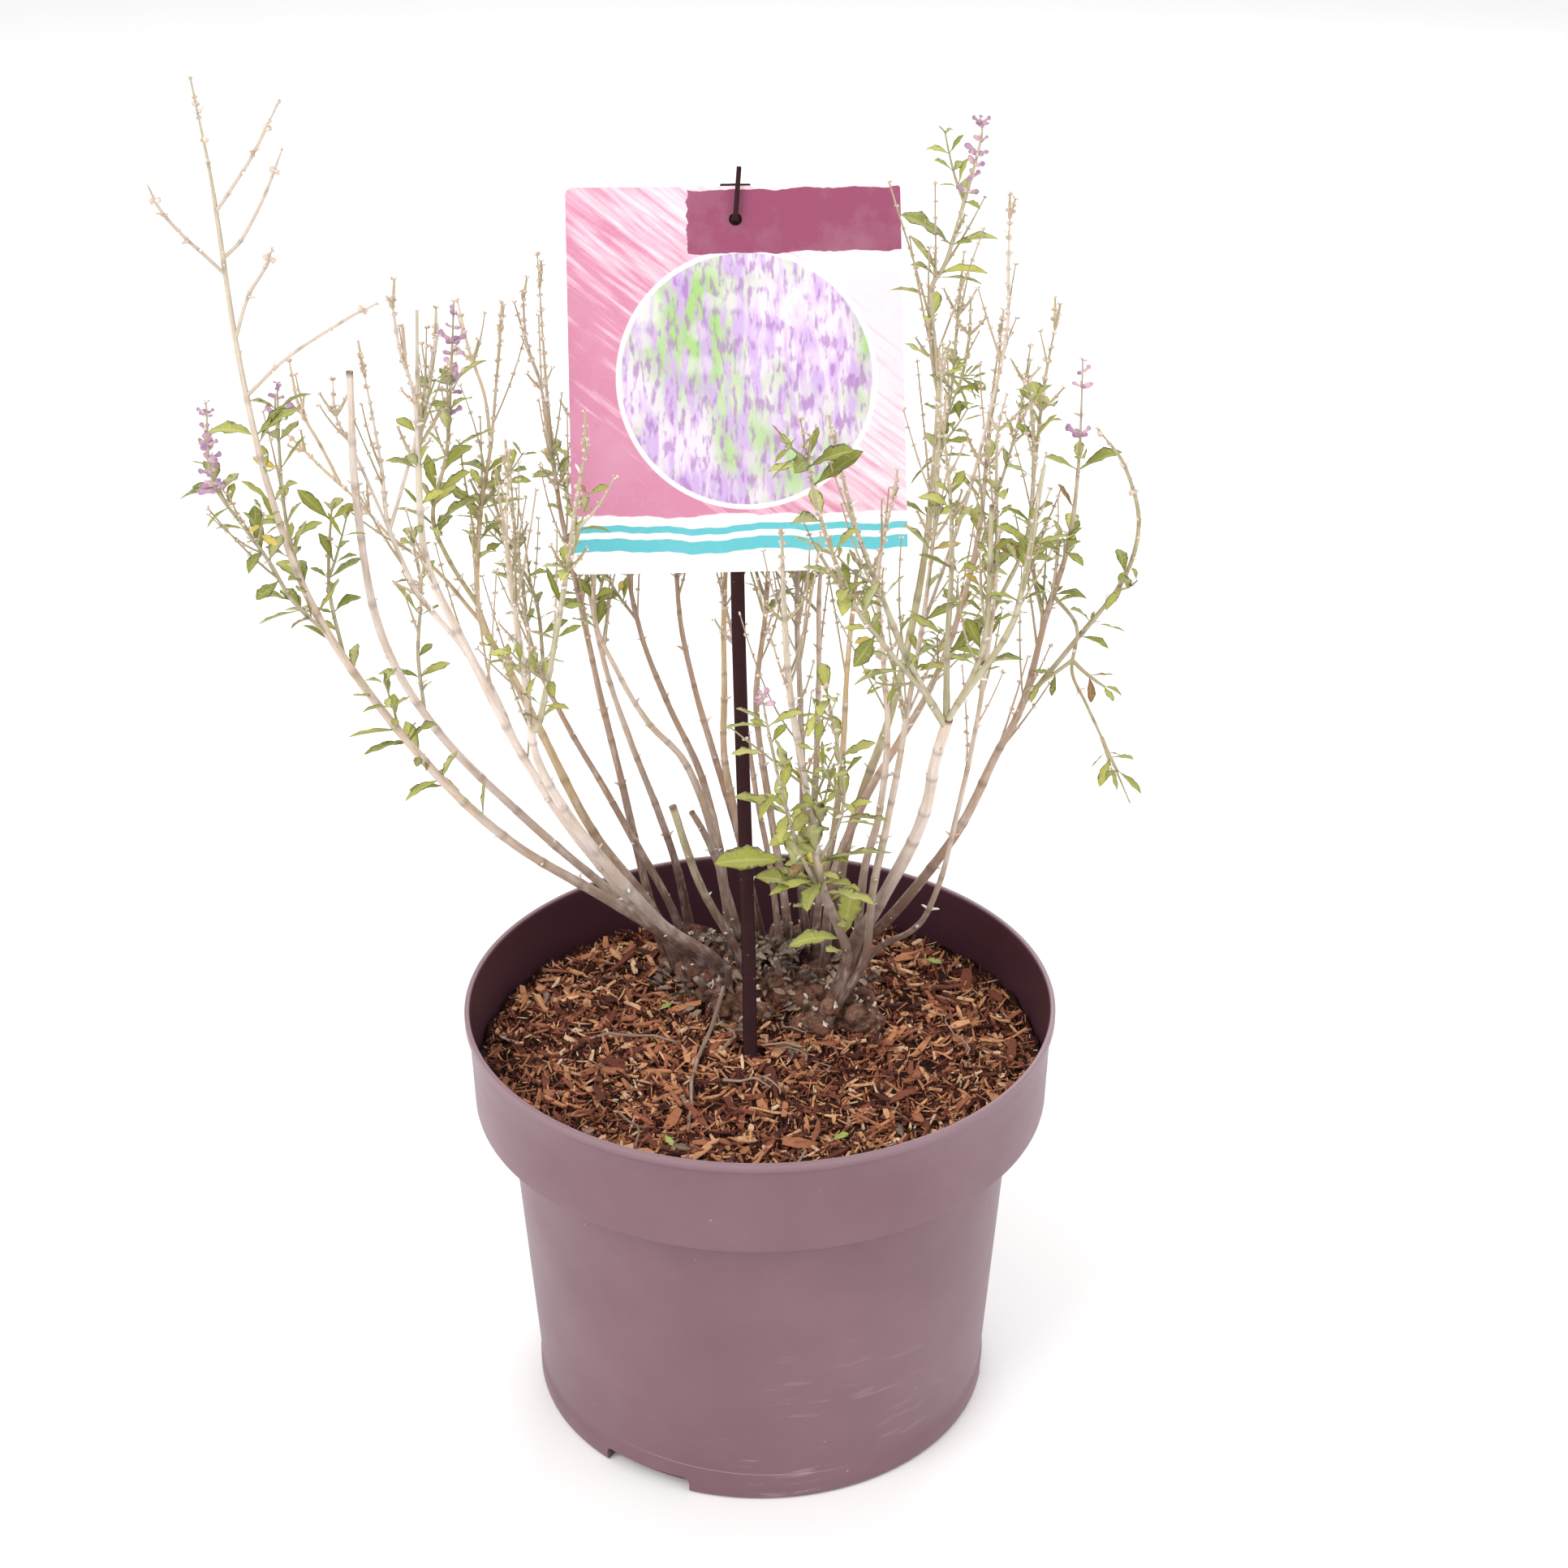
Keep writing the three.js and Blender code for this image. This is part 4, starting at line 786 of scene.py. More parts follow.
def give(mesh: bpy.types.Mesh, name: str, values: Any, domain: str = "POINT") -> None:
    """Stores a row of values on a mesh.

    Args:
        mesh: The mesh.
        name: The attribute's name.
        values: One number, vector or colour for each point or face.
        domain: Where the values belong.
    """
    row = np.asarray(values)
    kind, key = {1: ("FLOAT", "value"), 3: ("FLOAT_VECTOR", "vector"),
                 4: ("FLOAT_COLOR", "color")}[1 if row.ndim == 1 else row.shape[1]]
    whole = row.ndim == 1 and row.dtype.kind == "i"
    attribute = mesh.attributes.new(name, "INT" if whole else kind, domain)
    attribute.data.foreach_set(key, row.astype(np.int32 if whole else np.float32).ravel())


def harvest(carrier: Object, name: str, *spares: str) -> Object:
    """Turns an object with modifiers into a plain mesh of its own and removes the carrier.

    Args:
        carrier: The object whose modifiers make the shape.
        name: The new object's name.
        *spares: Attributes that the new mesh has no use for.

    Returns:
        The new object, without modifiers.
    """
    seen = carrier.evaluated_get(bpy.context.evaluated_depsgraph_get())
    mesh = bpy.data.meshes.new_from_object(seen)
    carrier.modifiers.clear()
    bpy.data.objects.remove(carrier)
    mesh.name = name
    for spare in spares:
        if spare in mesh.attributes:
            mesh.attributes.remove(mesh.attributes[spare])
    return planted(name, mesh)


def tidy_mesh(piece: Object, smooth: bool = True) -> None:
    """Merges doubles, turns every face outwards and shades the piece.

    Args:
        piece: The object.
        smooth: Whether its faces are shaded smooth.
    """
    shape = bmesh.new()
    shape.from_mesh(piece.data)
    bmesh.ops.remove_doubles(shape, verts=shape.verts, dist=1e-6)
    bmesh.ops.recalc_face_normals(shape, faces=shape.faces)
    shape.to_mesh(piece.data)
    shape.free()
    piece.data.shade_smooth() if smooth else piece.data.shade_flat()


def settle(piece: Object, slot: str, material: Material | None, *nodes: str) -> Object:
    """Gives a finished piece its material and its body, and hides the solids that it stands for.

    Args:
        piece: The finished object.
        slot: Not used.
        material: Its material, or None where the mesh has its own.
        *nodes: The solids that it replaces.

    Returns:
        The same object.
    """
    if material is not None:
        piece.data.materials.clear()
        piece.data.materials.append(material)
    if nodes:
        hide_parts(*nodes)
    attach(piece, "root")
    LOG.info("%s: %d faces", piece.name, len(piece.data.polygons))
    return piece


def skinned(rings: Sequence[Sequence[int]], first: int = 0) -> list[tuple[int, ...]]:
    """Joins rings of corners, one above the other, with faces.

    Args:
        rings: The corners of each ring by number, as many in each. A point repeats its own.
        first: The corner that each face starts with.

    Returns:
        The faces.
    """
    faces = []
    for below, above in zip(rings, rings[1:]):
        for side, corner in enumerate(below):
            after = (side + 1) % len(below)
            face = (corner, below[after], above[after], above[side])
            faces.append(tuple(dict.fromkeys(face[first:] + face[:first])))
    return [face for face in faces if len(face) > 2]


def turned(profile: Iterable[tuple[float, float]], sides: int) -> tuple[list, list]:
    """Turns a closed profile about the upright axis. Points on the axis make one corner each.

    Args:
        profile: Radius and height of each point, in millimetres.
        sides: The number of sides.

    Returns:
        The corners and the faces.
    """
    points: list[Spot] = []
    rings = []
    for radius, height in profile:
        count = 1 if radius < 1e-6 else sides
        rings.append([len(points) + side % count for side in range(sides)])
        points += [(*polar(FULL_TURN * side / sides, radius), height) for side in range(count)]
    return points, skinned(rings)


# Shapes that are repeated, each one unit long along X, with Z up


def pattern(name: str, points: list[Spot], faces: list[Any], **rows: Any) -> Object:
    """Makes a shape that stays out of the scene, with rows of values on its points."""
    mesh = drawn(name, points, (), faces, 1.0)
    for title, values in rows.items():
        give(mesh, title, values)
    return bpy.data.objects.new(name, mesh)


@dataclass(frozen=True)
class LeafShape:
    """A leaf with a folded, toothed blade. Half widths are shares of its full width."""

    stations: tuple[tuple[float, float], ...]
    fold: float
    wave: float
    curl: float
    twist: float = 0.0
    keel: float = 0.026

    def build(self, name: str) -> Object:
        """Makes the leaf as a thin closed shell, with shares, places across and underside.

        Args:
            name: Its name.

        Returns:
            The new object.
        """
        points, faces, across = [], [], []
        for share, half in self.stations[:-1]:
            drop = self.curl * share ** 3
            for column in (-1, -0.5, 0, 0.5, 1):
                y = half * column
                lift = self.fold * half + self.wave * sin(share * 17) * half
                points.append((share, y, abs(column) * lift + self.twist * share * y - drop))
            points.append((share, 0, -self.keel - drop))
            across += [-1.0, -0.5, 0.0, 0.5, 1.0, 0.0]
        tip = len(points)
        points.append((1, 0, -self.curl))
        for here in range(0, tip, 6):
            for near in range(6):
                far = (near + 1) % 6
                beyond = (tip,) if here + 6 == tip else (here + 6 + near, here + 6 + far)
                faces.append((here + near, *beyond, here + far))
        leaf = pattern(name, points, faces + [tuple(range(6))],
                       share=[float(point[0]) for point in points], across=across + [0.0])
        give(leaf.data, "under", [float(number % 6 > 3) for number in range(tip)] + [1.0], "FACE")
        return leaf


@dataclass(frozen=True)
class PodShape:
    """A bud, calyx or floret: a turned shape that may be bent. Half widths are in lengths."""

    stations: tuple[tuple[float, float], ...]
    sides: int = 5
    bend: float = 0.0
    flat: float = 1.0

    def build(self, name: str) -> Object:
        """Makes the pod as a closed shell with its share of the way as an attribute.

        Args:
            name: Its name.

        Returns:
            The new object.
        """
        points, rings = [], []
        for share, half in self.stations:
            count = 1 if half == 0 else self.sides
            rings.append([len(points) + side % count for side in range(self.sides)])
            for side in range(count):
                y, z = polar(FULL_TURN * side / self.sides + share, half)
                points.append((share, y, z * self.flat - self.bend * share ** 2))
        return pattern(name, points, [tuple(reversed(rings[0]))] + skinned(rings, 1),
                       share=[point[0] for point in points])


@dataclass(frozen=True)
class ChipShape:
    """A splinter of bark: a skewed wedge with rough ends."""

    seed: int
    width: float = 0.28
    thickness: float = 0.12

    def build(self, name: str) -> Object:
        """Makes the splinter as a closed shell.

        Args:
            name: Its name.

        Returns:
            The new object.
        """
        dice = random.Random(self.seed)
        points = []
        for x in (-0.5, dice.uniform(-0.15, 0.2), 0.5):
            swell = 1.0 if abs(x) < 0.4 else dice.uniform(0.25, 0.8)
            lift = dice.uniform(-0.05, 0.05)
            for y, z in ((-0.6, -0.5), (0.6, -0.5), (0.6, 0.5), (-0.6, 0.5)):
                points.append((x + dice.uniform(-0.08, 0.08),
                               self.width * y * swell * dice.uniform(0.7, 1.2),
                               self.thickness * z * dice.uniform(0.6, 1.2) + lift))
        return pattern(name, points, [(3, 2, 1, 0), (8, 9, 10, 11)]
                       + skinned([range(4), range(4, 8), range(8, 12)]))


SMALL_LEAF = ((0.0, 0.05), (0.14, 0.08), (0.28, 0.24), (0.4, 0.37), (0.51, 0.47), (0.6, 0.45),
              (0.7, 0.5), (0.8, 0.39), (0.91, 0.22), (1.0, 0.0))
LARGE_LEAF = ((0.0, 0.05), (0.11, 0.08), (0.22, 0.25), (0.3, 0.28), (0.38, 0.42), (0.44, 0.4),
              (0.53, 0.51), (0.59, 0.46), (0.68, 0.5), (0.74, 0.42), (0.82, 0.38), (0.88, 0.27),
              (0.94, 0.17), (1.0, 0.0))
NARROW_LEAF = ((0.0, 0.05), (0.2, 0.2), (0.45, 0.4), (0.6, 0.34), (0.75, 0.36), (0.9, 0.18),
               (1.0, 0.0))


class Family(Enum):
    """The families of repeated shapes. A row says which member of its family it takes."""

    LEAVES = "leaf"
    PODS = "pod"
    FLORETS = "floret"
    CHIPS = "chip"


FAMILY_SHAPES: dict[Family, tuple[Any, ...]] = {
    Family.LEAVES: (
        LeafShape(SMALL_LEAF, 0.35, 0.1, 0.06), LeafShape(SMALL_LEAF, 0.6, -0.14, 0.16, 0.35),
        LeafShape(SMALL_LEAF, 0.2, 0.16, -0.07, -0.3), LeafShape(LARGE_LEAF, 0.4, 0.14, 0.08, 0.1),
        LeafShape(LARGE_LEAF, 0.25, -0.16, 0.14, -0.2),
        LeafShape(NARROW_LEAF, 0.7, 0.06, 0.1, 0.3)),
    Family.PODS: (
        PodShape(((0.0, 0.14), (0.25, 0.4), (0.6, 0.46), (0.85, 0.24), (1.0, 0.0))),
        PodShape(((0.0, 0.2), (0.3, 0.34), (0.7, 0.5), (0.95, 0.4), (1.0, 0.0)), 5, 0.1),
        PodShape(((0.0, 0.42), (0.35, 0.3), (0.75, 0.2), (1.0, 0.0)), 4, 0.2)),
    Family.FLORETS: (
        PodShape(((0.0, 0.06), (0.1, 0.12), (0.28, 0.2), (0.4, 0.17), (0.52, 0.19), (0.72, 0.25),
                  (0.88, 0.22), (0.97, 0.1), (1.0, 0.0)), 6, 0.1, 0.85),
        PodShape(((0.0, 0.07), (0.12, 0.15), (0.32, 0.22), (0.46, 0.16), (0.66, 0.2), (0.84, 0.3),
                  (0.95, 0.2), (1.0, 0.0)), 6, -0.08, 0.8),
        PodShape(((0.0, 0.1), (0.2, 0.24), (0.5, 0.28), (0.8, 0.24), (1.0, 0.0)), 6, 0.05)),
    Family.CHIPS: (ChipShape(3), ChipShape(11, 0.2, 0.1), ChipShape(19, 0.36, 0.09),
                   ChipShape(27, 0.14, 0.09), ChipShape(35, 0.24, 0.16), ChipShape(43, 0.1, 0.07)),
}


class Recipe(Net):
    """A Geometry Nodes tree with named inputs, put on an object as a modifier."""

    def __init__(self, name: str, **inputs: Any) -> None:
        """Starts a tree that takes geometry, its finish and further inputs."""
        net, self.given = new_group(name, "GeometryNodeTree", "Geometry", **inputs)
        super().__init__(net.tree)

    def chosen(self, points: Any, index: Any, turn: Any, size: Any) -> Any:
        """Sets one of the given shapes on each point, turned and sized."""
        shapes = self.put("GeometryNodeCollectionInfo", {
            "Collection": self.given["Shapes"], "Separate Children": True, "Reset Children": True})
        return self.put("GeometryNodeInstanceOnPoints", {
            "Points": points, "Instance": shapes, "Pick Instance": True, "Instance Index": index,
            "Rotation": turn, "Scale": size})

    def moved(self, shape: Any, offset: Any) -> Any:
        """Moves geometry by an offset."""
        return self.put("GeometryNodeSetPosition", {"Geometry": shape, "Offset": offset})

    def end(self, shape: Any) -> None:
        """Ends the tree: real meshes, with their material."""
        real = self.put("GeometryNodeRealizeInstances", {"Geometry": shape})
        made = self.put("GeometryNodeSetMaterial", {"Geometry": real,
                                                    "Material": self.given["Finish"]})
        self.put("NodeGroupOutput", {0: made})

    def apply(self, piece: Object, **values: Any) -> None:
        """Adds the tree to an object, with values for its inputs and _ for a space.

        Args:
            piece: The object.
            **values: Further inputs of the tree.
        """
        modifier = piece.modifiers.new(self.tree.name, "NODES")
        modifier.node_group = self.tree
        given = {key.replace("_", " "): value for key, value in values.items()}
        for item in self.tree.interface.items_tree:
            if item.in_out == "INPUT" and item.name in given:
                modifier[item.identifier] = given[item.name]


def sprouts_recipe() -> Recipe:
    """Sets a member of a family on each point, aimed, sized and sagging as the point says."""
    net = Recipe("sprouts", Points="Geometry", Shapes="Collection", Finish="Material", Smooth=True)
    turn = net.put("FunctionNodeAxesToRotation", {
        0: net.named("aim", "FLOAT_VECTOR"), 1: net.named("face", "FLOAT_VECTOR")},
        primary_axis="X", secondary_axis="Z")
    placed = net.chosen(net.given["Points"], net.named("shape", "INT"), turn,
                        net.named("span", "FLOAT_VECTOR"))
    real = net.put("GeometryNodeRealizeInstances", {"Geometry": placed})
    share = net.named("share")
    drop = net.times(net.named("sag"), net.times(share, share))
    net.end(net.put("GeometryNodeSetShadeSmooth", {
        "Geometry": net.moved(real, net.xyz(z=drop)), "Shade Smooth": net.given["Smooth"]}))
    return net


def tubes_recipe() -> Recipe:
    """Draws a round, slightly uneven tube along each line, with more sides on thick ones."""
    net = Recipe("tubes", Lines="Geometry", Finish="Material", Thick_Sides=12, Thin_Sides=6,
                 Ridges=0.00025)
    lines = net.put("GeometryNodeMeshToCurve", {"Mesh": net.given["Lines"]})
    parted = net.put("GeometryNodeSeparateGeometry", {
        "Geometry": lines, "Selection": net.math("GREATER_THAN", net.named("stout"), 0.5)},
        domain="CURVE").outputs
    joined = net.put("GeometryNodeJoinGeometry")
    for output, sides in (("Selection", "Thick Sides"), ("Inverted", "Thin Sides")):
        ring = net.put("GeometryNodeCurvePrimitiveCircle", {"Resolution": net.given[sides],
                                                            "Radius": 1.0})
        marked = net.put("GeometryNodeStoreNamedAttribute", {
            "Geometry": ring, "Name": "around",
            "Value": net.scaled(net.put("GeometryNodeInputPosition"), 0.002)},
            data_type="FLOAT_VECTOR", domain="POINT")
        tube = net.put("GeometryNodeCurveToMesh", {
            "Curve": parted[output], "Profile Curve": marked, "Scale": net.named("girth"),
            "Fill Caps": True})
        net.tree.links.new(tube.outputs[0], joined.inputs[0])
    spot = net.vector("MULTIPLY", net.put("GeometryNodeInputPosition"), (1.0, 1.0, 0.35))
    height = net.times(net.math("SUBTRACT", net.cloud(spot, 420.0, 2.0), 0.5),
                       net.given["Ridges"])
    push = net.scaled(net.put("GeometryNodeInputNormal"), height)
    net.end(net.put("GeometryNodeSetShadeSmooth", {"Geometry": net.moved(joined, push)}))
    return net


def scatter_recipe() -> Recipe:
    """Scatters splinters over a surface, each with a turn, a size and a tint of its own."""
    net = Recipe("scatter", Ground="Geometry", Shapes="Collection", Finish="Material",
                 Density=1000.0, Seed=1, Smallest=(0.004,) * 3, Largest=(0.008,) * 3, Tilt=0.4,
                 Pile=0.002, Lightest=1.0)
    given, seed, tilt = net.given, net.given["Seed"], net.given["Tilt"]
    spots = net.put("GeometryNodeDistributePointsOnFaces", {
        "Mesh": given["Ground"], "Density": given["Density"], "Seed": seed})

    def drawn_at_random(kind: str, output: int, step: float, values: dict[int, Any]) -> Any:
        """Draws random values of a kind with a seed of their own."""
        values[8] = net.plus(seed, step) if step else seed
        return net.put("FunctionNodeRandomValue", values, data_type=kind).outputs[output]

    rise = drawn_at_random("FLOAT", 1, 0, {2: 0.0, 3: given["Pile"]})
    low = net.xyz(net.times(tilt, -1.0), net.times(tilt, -1.0))
    angles = drawn_at_random("FLOAT_VECTOR", 0, 1.0, {0: low, 1: net.xyz(tilt, tilt, FULL_TURN)})
    size = drawn_at_random("FLOAT_VECTOR", 0, 2.0, {0: given["Smallest"], 1: given["Largest"]})
    which = drawn_at_random("INT", 2, 3.0, {4: 0, 5: 5})
    placed = net.chosen(net.moved(spots, net.xyz(z=rise)), which,
                        net.put("FunctionNodeEulerToRotation", {0: angles}), size)
    tint = drawn_at_random("FLOAT", 1, 4.0, {2: 0.0, 3: given["Lightest"]})
    net.end(net.put("GeometryNodeStoreNamedAttribute", {
        "Geometry": placed, "Name": "tint", "Value": tint}, data_type="FLOAT",
        domain="INSTANCE"))
    return net


class Workshop:
    """What every sub-assembly builds with: trees, families of shapes and materials."""

    def __init__(self) -> None:
        """Builds the trees, the families and the materials."""
        self.sprouts, self.tubes, self.chips = sprouts_recipe(), tubes_recipe(), scatter_recipe()
        self.families = {family: self._family(family) for family in Family}
        effects = Effects()
        self.finish = {name: finish.draw(Surface(name, effects))
                       for name, finish in FINISHES.items()}

    @staticmethod
    def _family(family: Family) -> bpy.types.Collection:
        """Builds the members of a family in a collection outside the scene."""
        collection = bpy.data.collections.new(family.value)
        for number, shape in enumerate(FAMILY_SHAPES[family]):
            collection.objects.link(shape.build(f"{family.value}_{number}"))
        return collection

    def clear(self) -> None:
        """Removes the families, which are only patterns."""
        for collection in self.families.values():
            for member in list(collection.objects):
                bpy.data.objects.remove(member)
            bpy.data.collections.remove(collection)


@dataclass
class Sprouts:
    """Rows of repeated shapes: where each starts, how it points, its size and its tint."""

    family: Family
    rows: list[tuple[Any, ...]] = field(default_factory=list)

    def add(self, root: Point, aim: Point, up: Point, span: Spot, tint: float, shape: int,
            sag: float = 0.0) -> None:
        """Adds a row.

        Args:
            root: Where the shape starts, in millimetres.
            aim: The direction that it points in.
            up: The side that faces up.
            span: Its length, width and height, in millimetres.
            tint: Its place on the material's ramp.
            shape: Which member of the family it is.
            sag: How far its end is lifted, in millimetres.
        """
        self.rows.append((root, aim, up, span, sag, tint, shape))

    def build(self, name: str, shop: Workshop, finish: str, smooth: bool = True) -> Object:
        """Makes one plain mesh of all the rows.

        Args:
            name: Its name.
            shop: The workshop.
            finish: The name of its finish.
            smooth: Whether its faces are shaded smooth.

        Returns:
            The new object.
        """
        roots, aims, ups, spans, sags, tints, shapes = zip(*self.rows)
        mesh = drawn(name, roots)
        for title, values in (
                ("aim", aims), ("face", ups), ("span", np.array(spans) * MM),
                ("sag", np.array(sags, float) * MM), ("tint", np.array(tints, float)),
                ("shape", np.array(shapes, int))):
            give(mesh, title, values)
        carrier = planted(name + "_points", mesh)
        shop.sprouts.apply(carrier, Shapes=shop.families[self.family],
                           Finish=shop.finish[finish], Smooth=smooth)
        return harvest(carrier, name, "aim", "face", "span", "sag", "shape")


@dataclass
class Strands:
    """Lines that are drawn as tubes: stems, forks and twigs."""

    points: list[Point] = field(default_factory=list)
    edges: list[tuple[int, int]] = field(default_factory=list)
    rows: list[tuple[Any, ...]] = field(default_factory=list)

    def add(self, points: Sequence[Point], girths: Iterable[float], tints: Iterable[Any],
            scars: Iterable[float] | None = None, stout: bool = False) -> None:
        """Adds a line.

        Args:
            points: Its points, in millimetres.
            girths: Its radius at each point, in millimetres.
            tints: Its bark colour at each point.
            scars: How much of a scar each point is.
            stout: Whether it is thick enough to have more sides.
        """
        start, count = len(self.points), len(points)
        self.points += list(points)
        self.edges += [(index, index + 1) for index in range(start, start + count - 1)]
        scars = [0.0] * count if scars is None else scars
        alongs = start * 0.37 + np.cumsum([0.0] + way(points))
        self.rows += zip(girths, tints, scars, [float(stout)] * count, alongs)

    def build(self, name: str, shop: Workshop) -> Object:
        """Makes one plain mesh of all the lines.

        Args:
            name: Its name.
            shop: The workshop.

        Returns:
            The new object.
        """
        mesh = drawn(name, self.points, self.edges)
        titles = (("girth", MM), ("bark_tint", 1.0), ("scar", 1.0), ("stout", 1.0), ("along", MM))
        for (title, scale), values in zip(titles, zip(*self.rows)):
            give(mesh, title, np.array(values, float) * scale)
        carrier = planted(name + "_lines", mesh)
        shop.tubes.apply(carrier, Finish=shop.finish["stem_bark"])
        return harvest(carrier, name, "girth", "stout")


# The plan of the plant


class Bark(Enum):
    """Bark colours of the stems above their foot."""

    GREY = paint(188, 170, 158)
    TAN = paint(218, 198, 182)
    WHITE = paint(232, 216, 206)
    BROWN = paint(184, 156, 138)
    GOLD = paint(208, 182, 142)
    OLIVE = paint(190, 184, 144)


@dataclass(frozen=True)
class LimbPlan:
    """A limb of a stem: its points, its girths and its dress.

    A fork first starts on the limb numbered "on", at the share "at" of its way. Each line of
    dress is a kind, the stretch that it covers, its number of pairs and its length.
    """

    path: tuple[tuple[float, float, float], ...]
    girth: tuple[float, float]
    dress: tuple[DressLine, ...]
    on: int | None = None
    at: float = 0.0


@dataclass(frozen=True)
class StemPlan:
    """A stem: its name, its bark and its limbs."""

    name: str
    bark: Bark
    limbs: tuple[LimbPlan, ...]


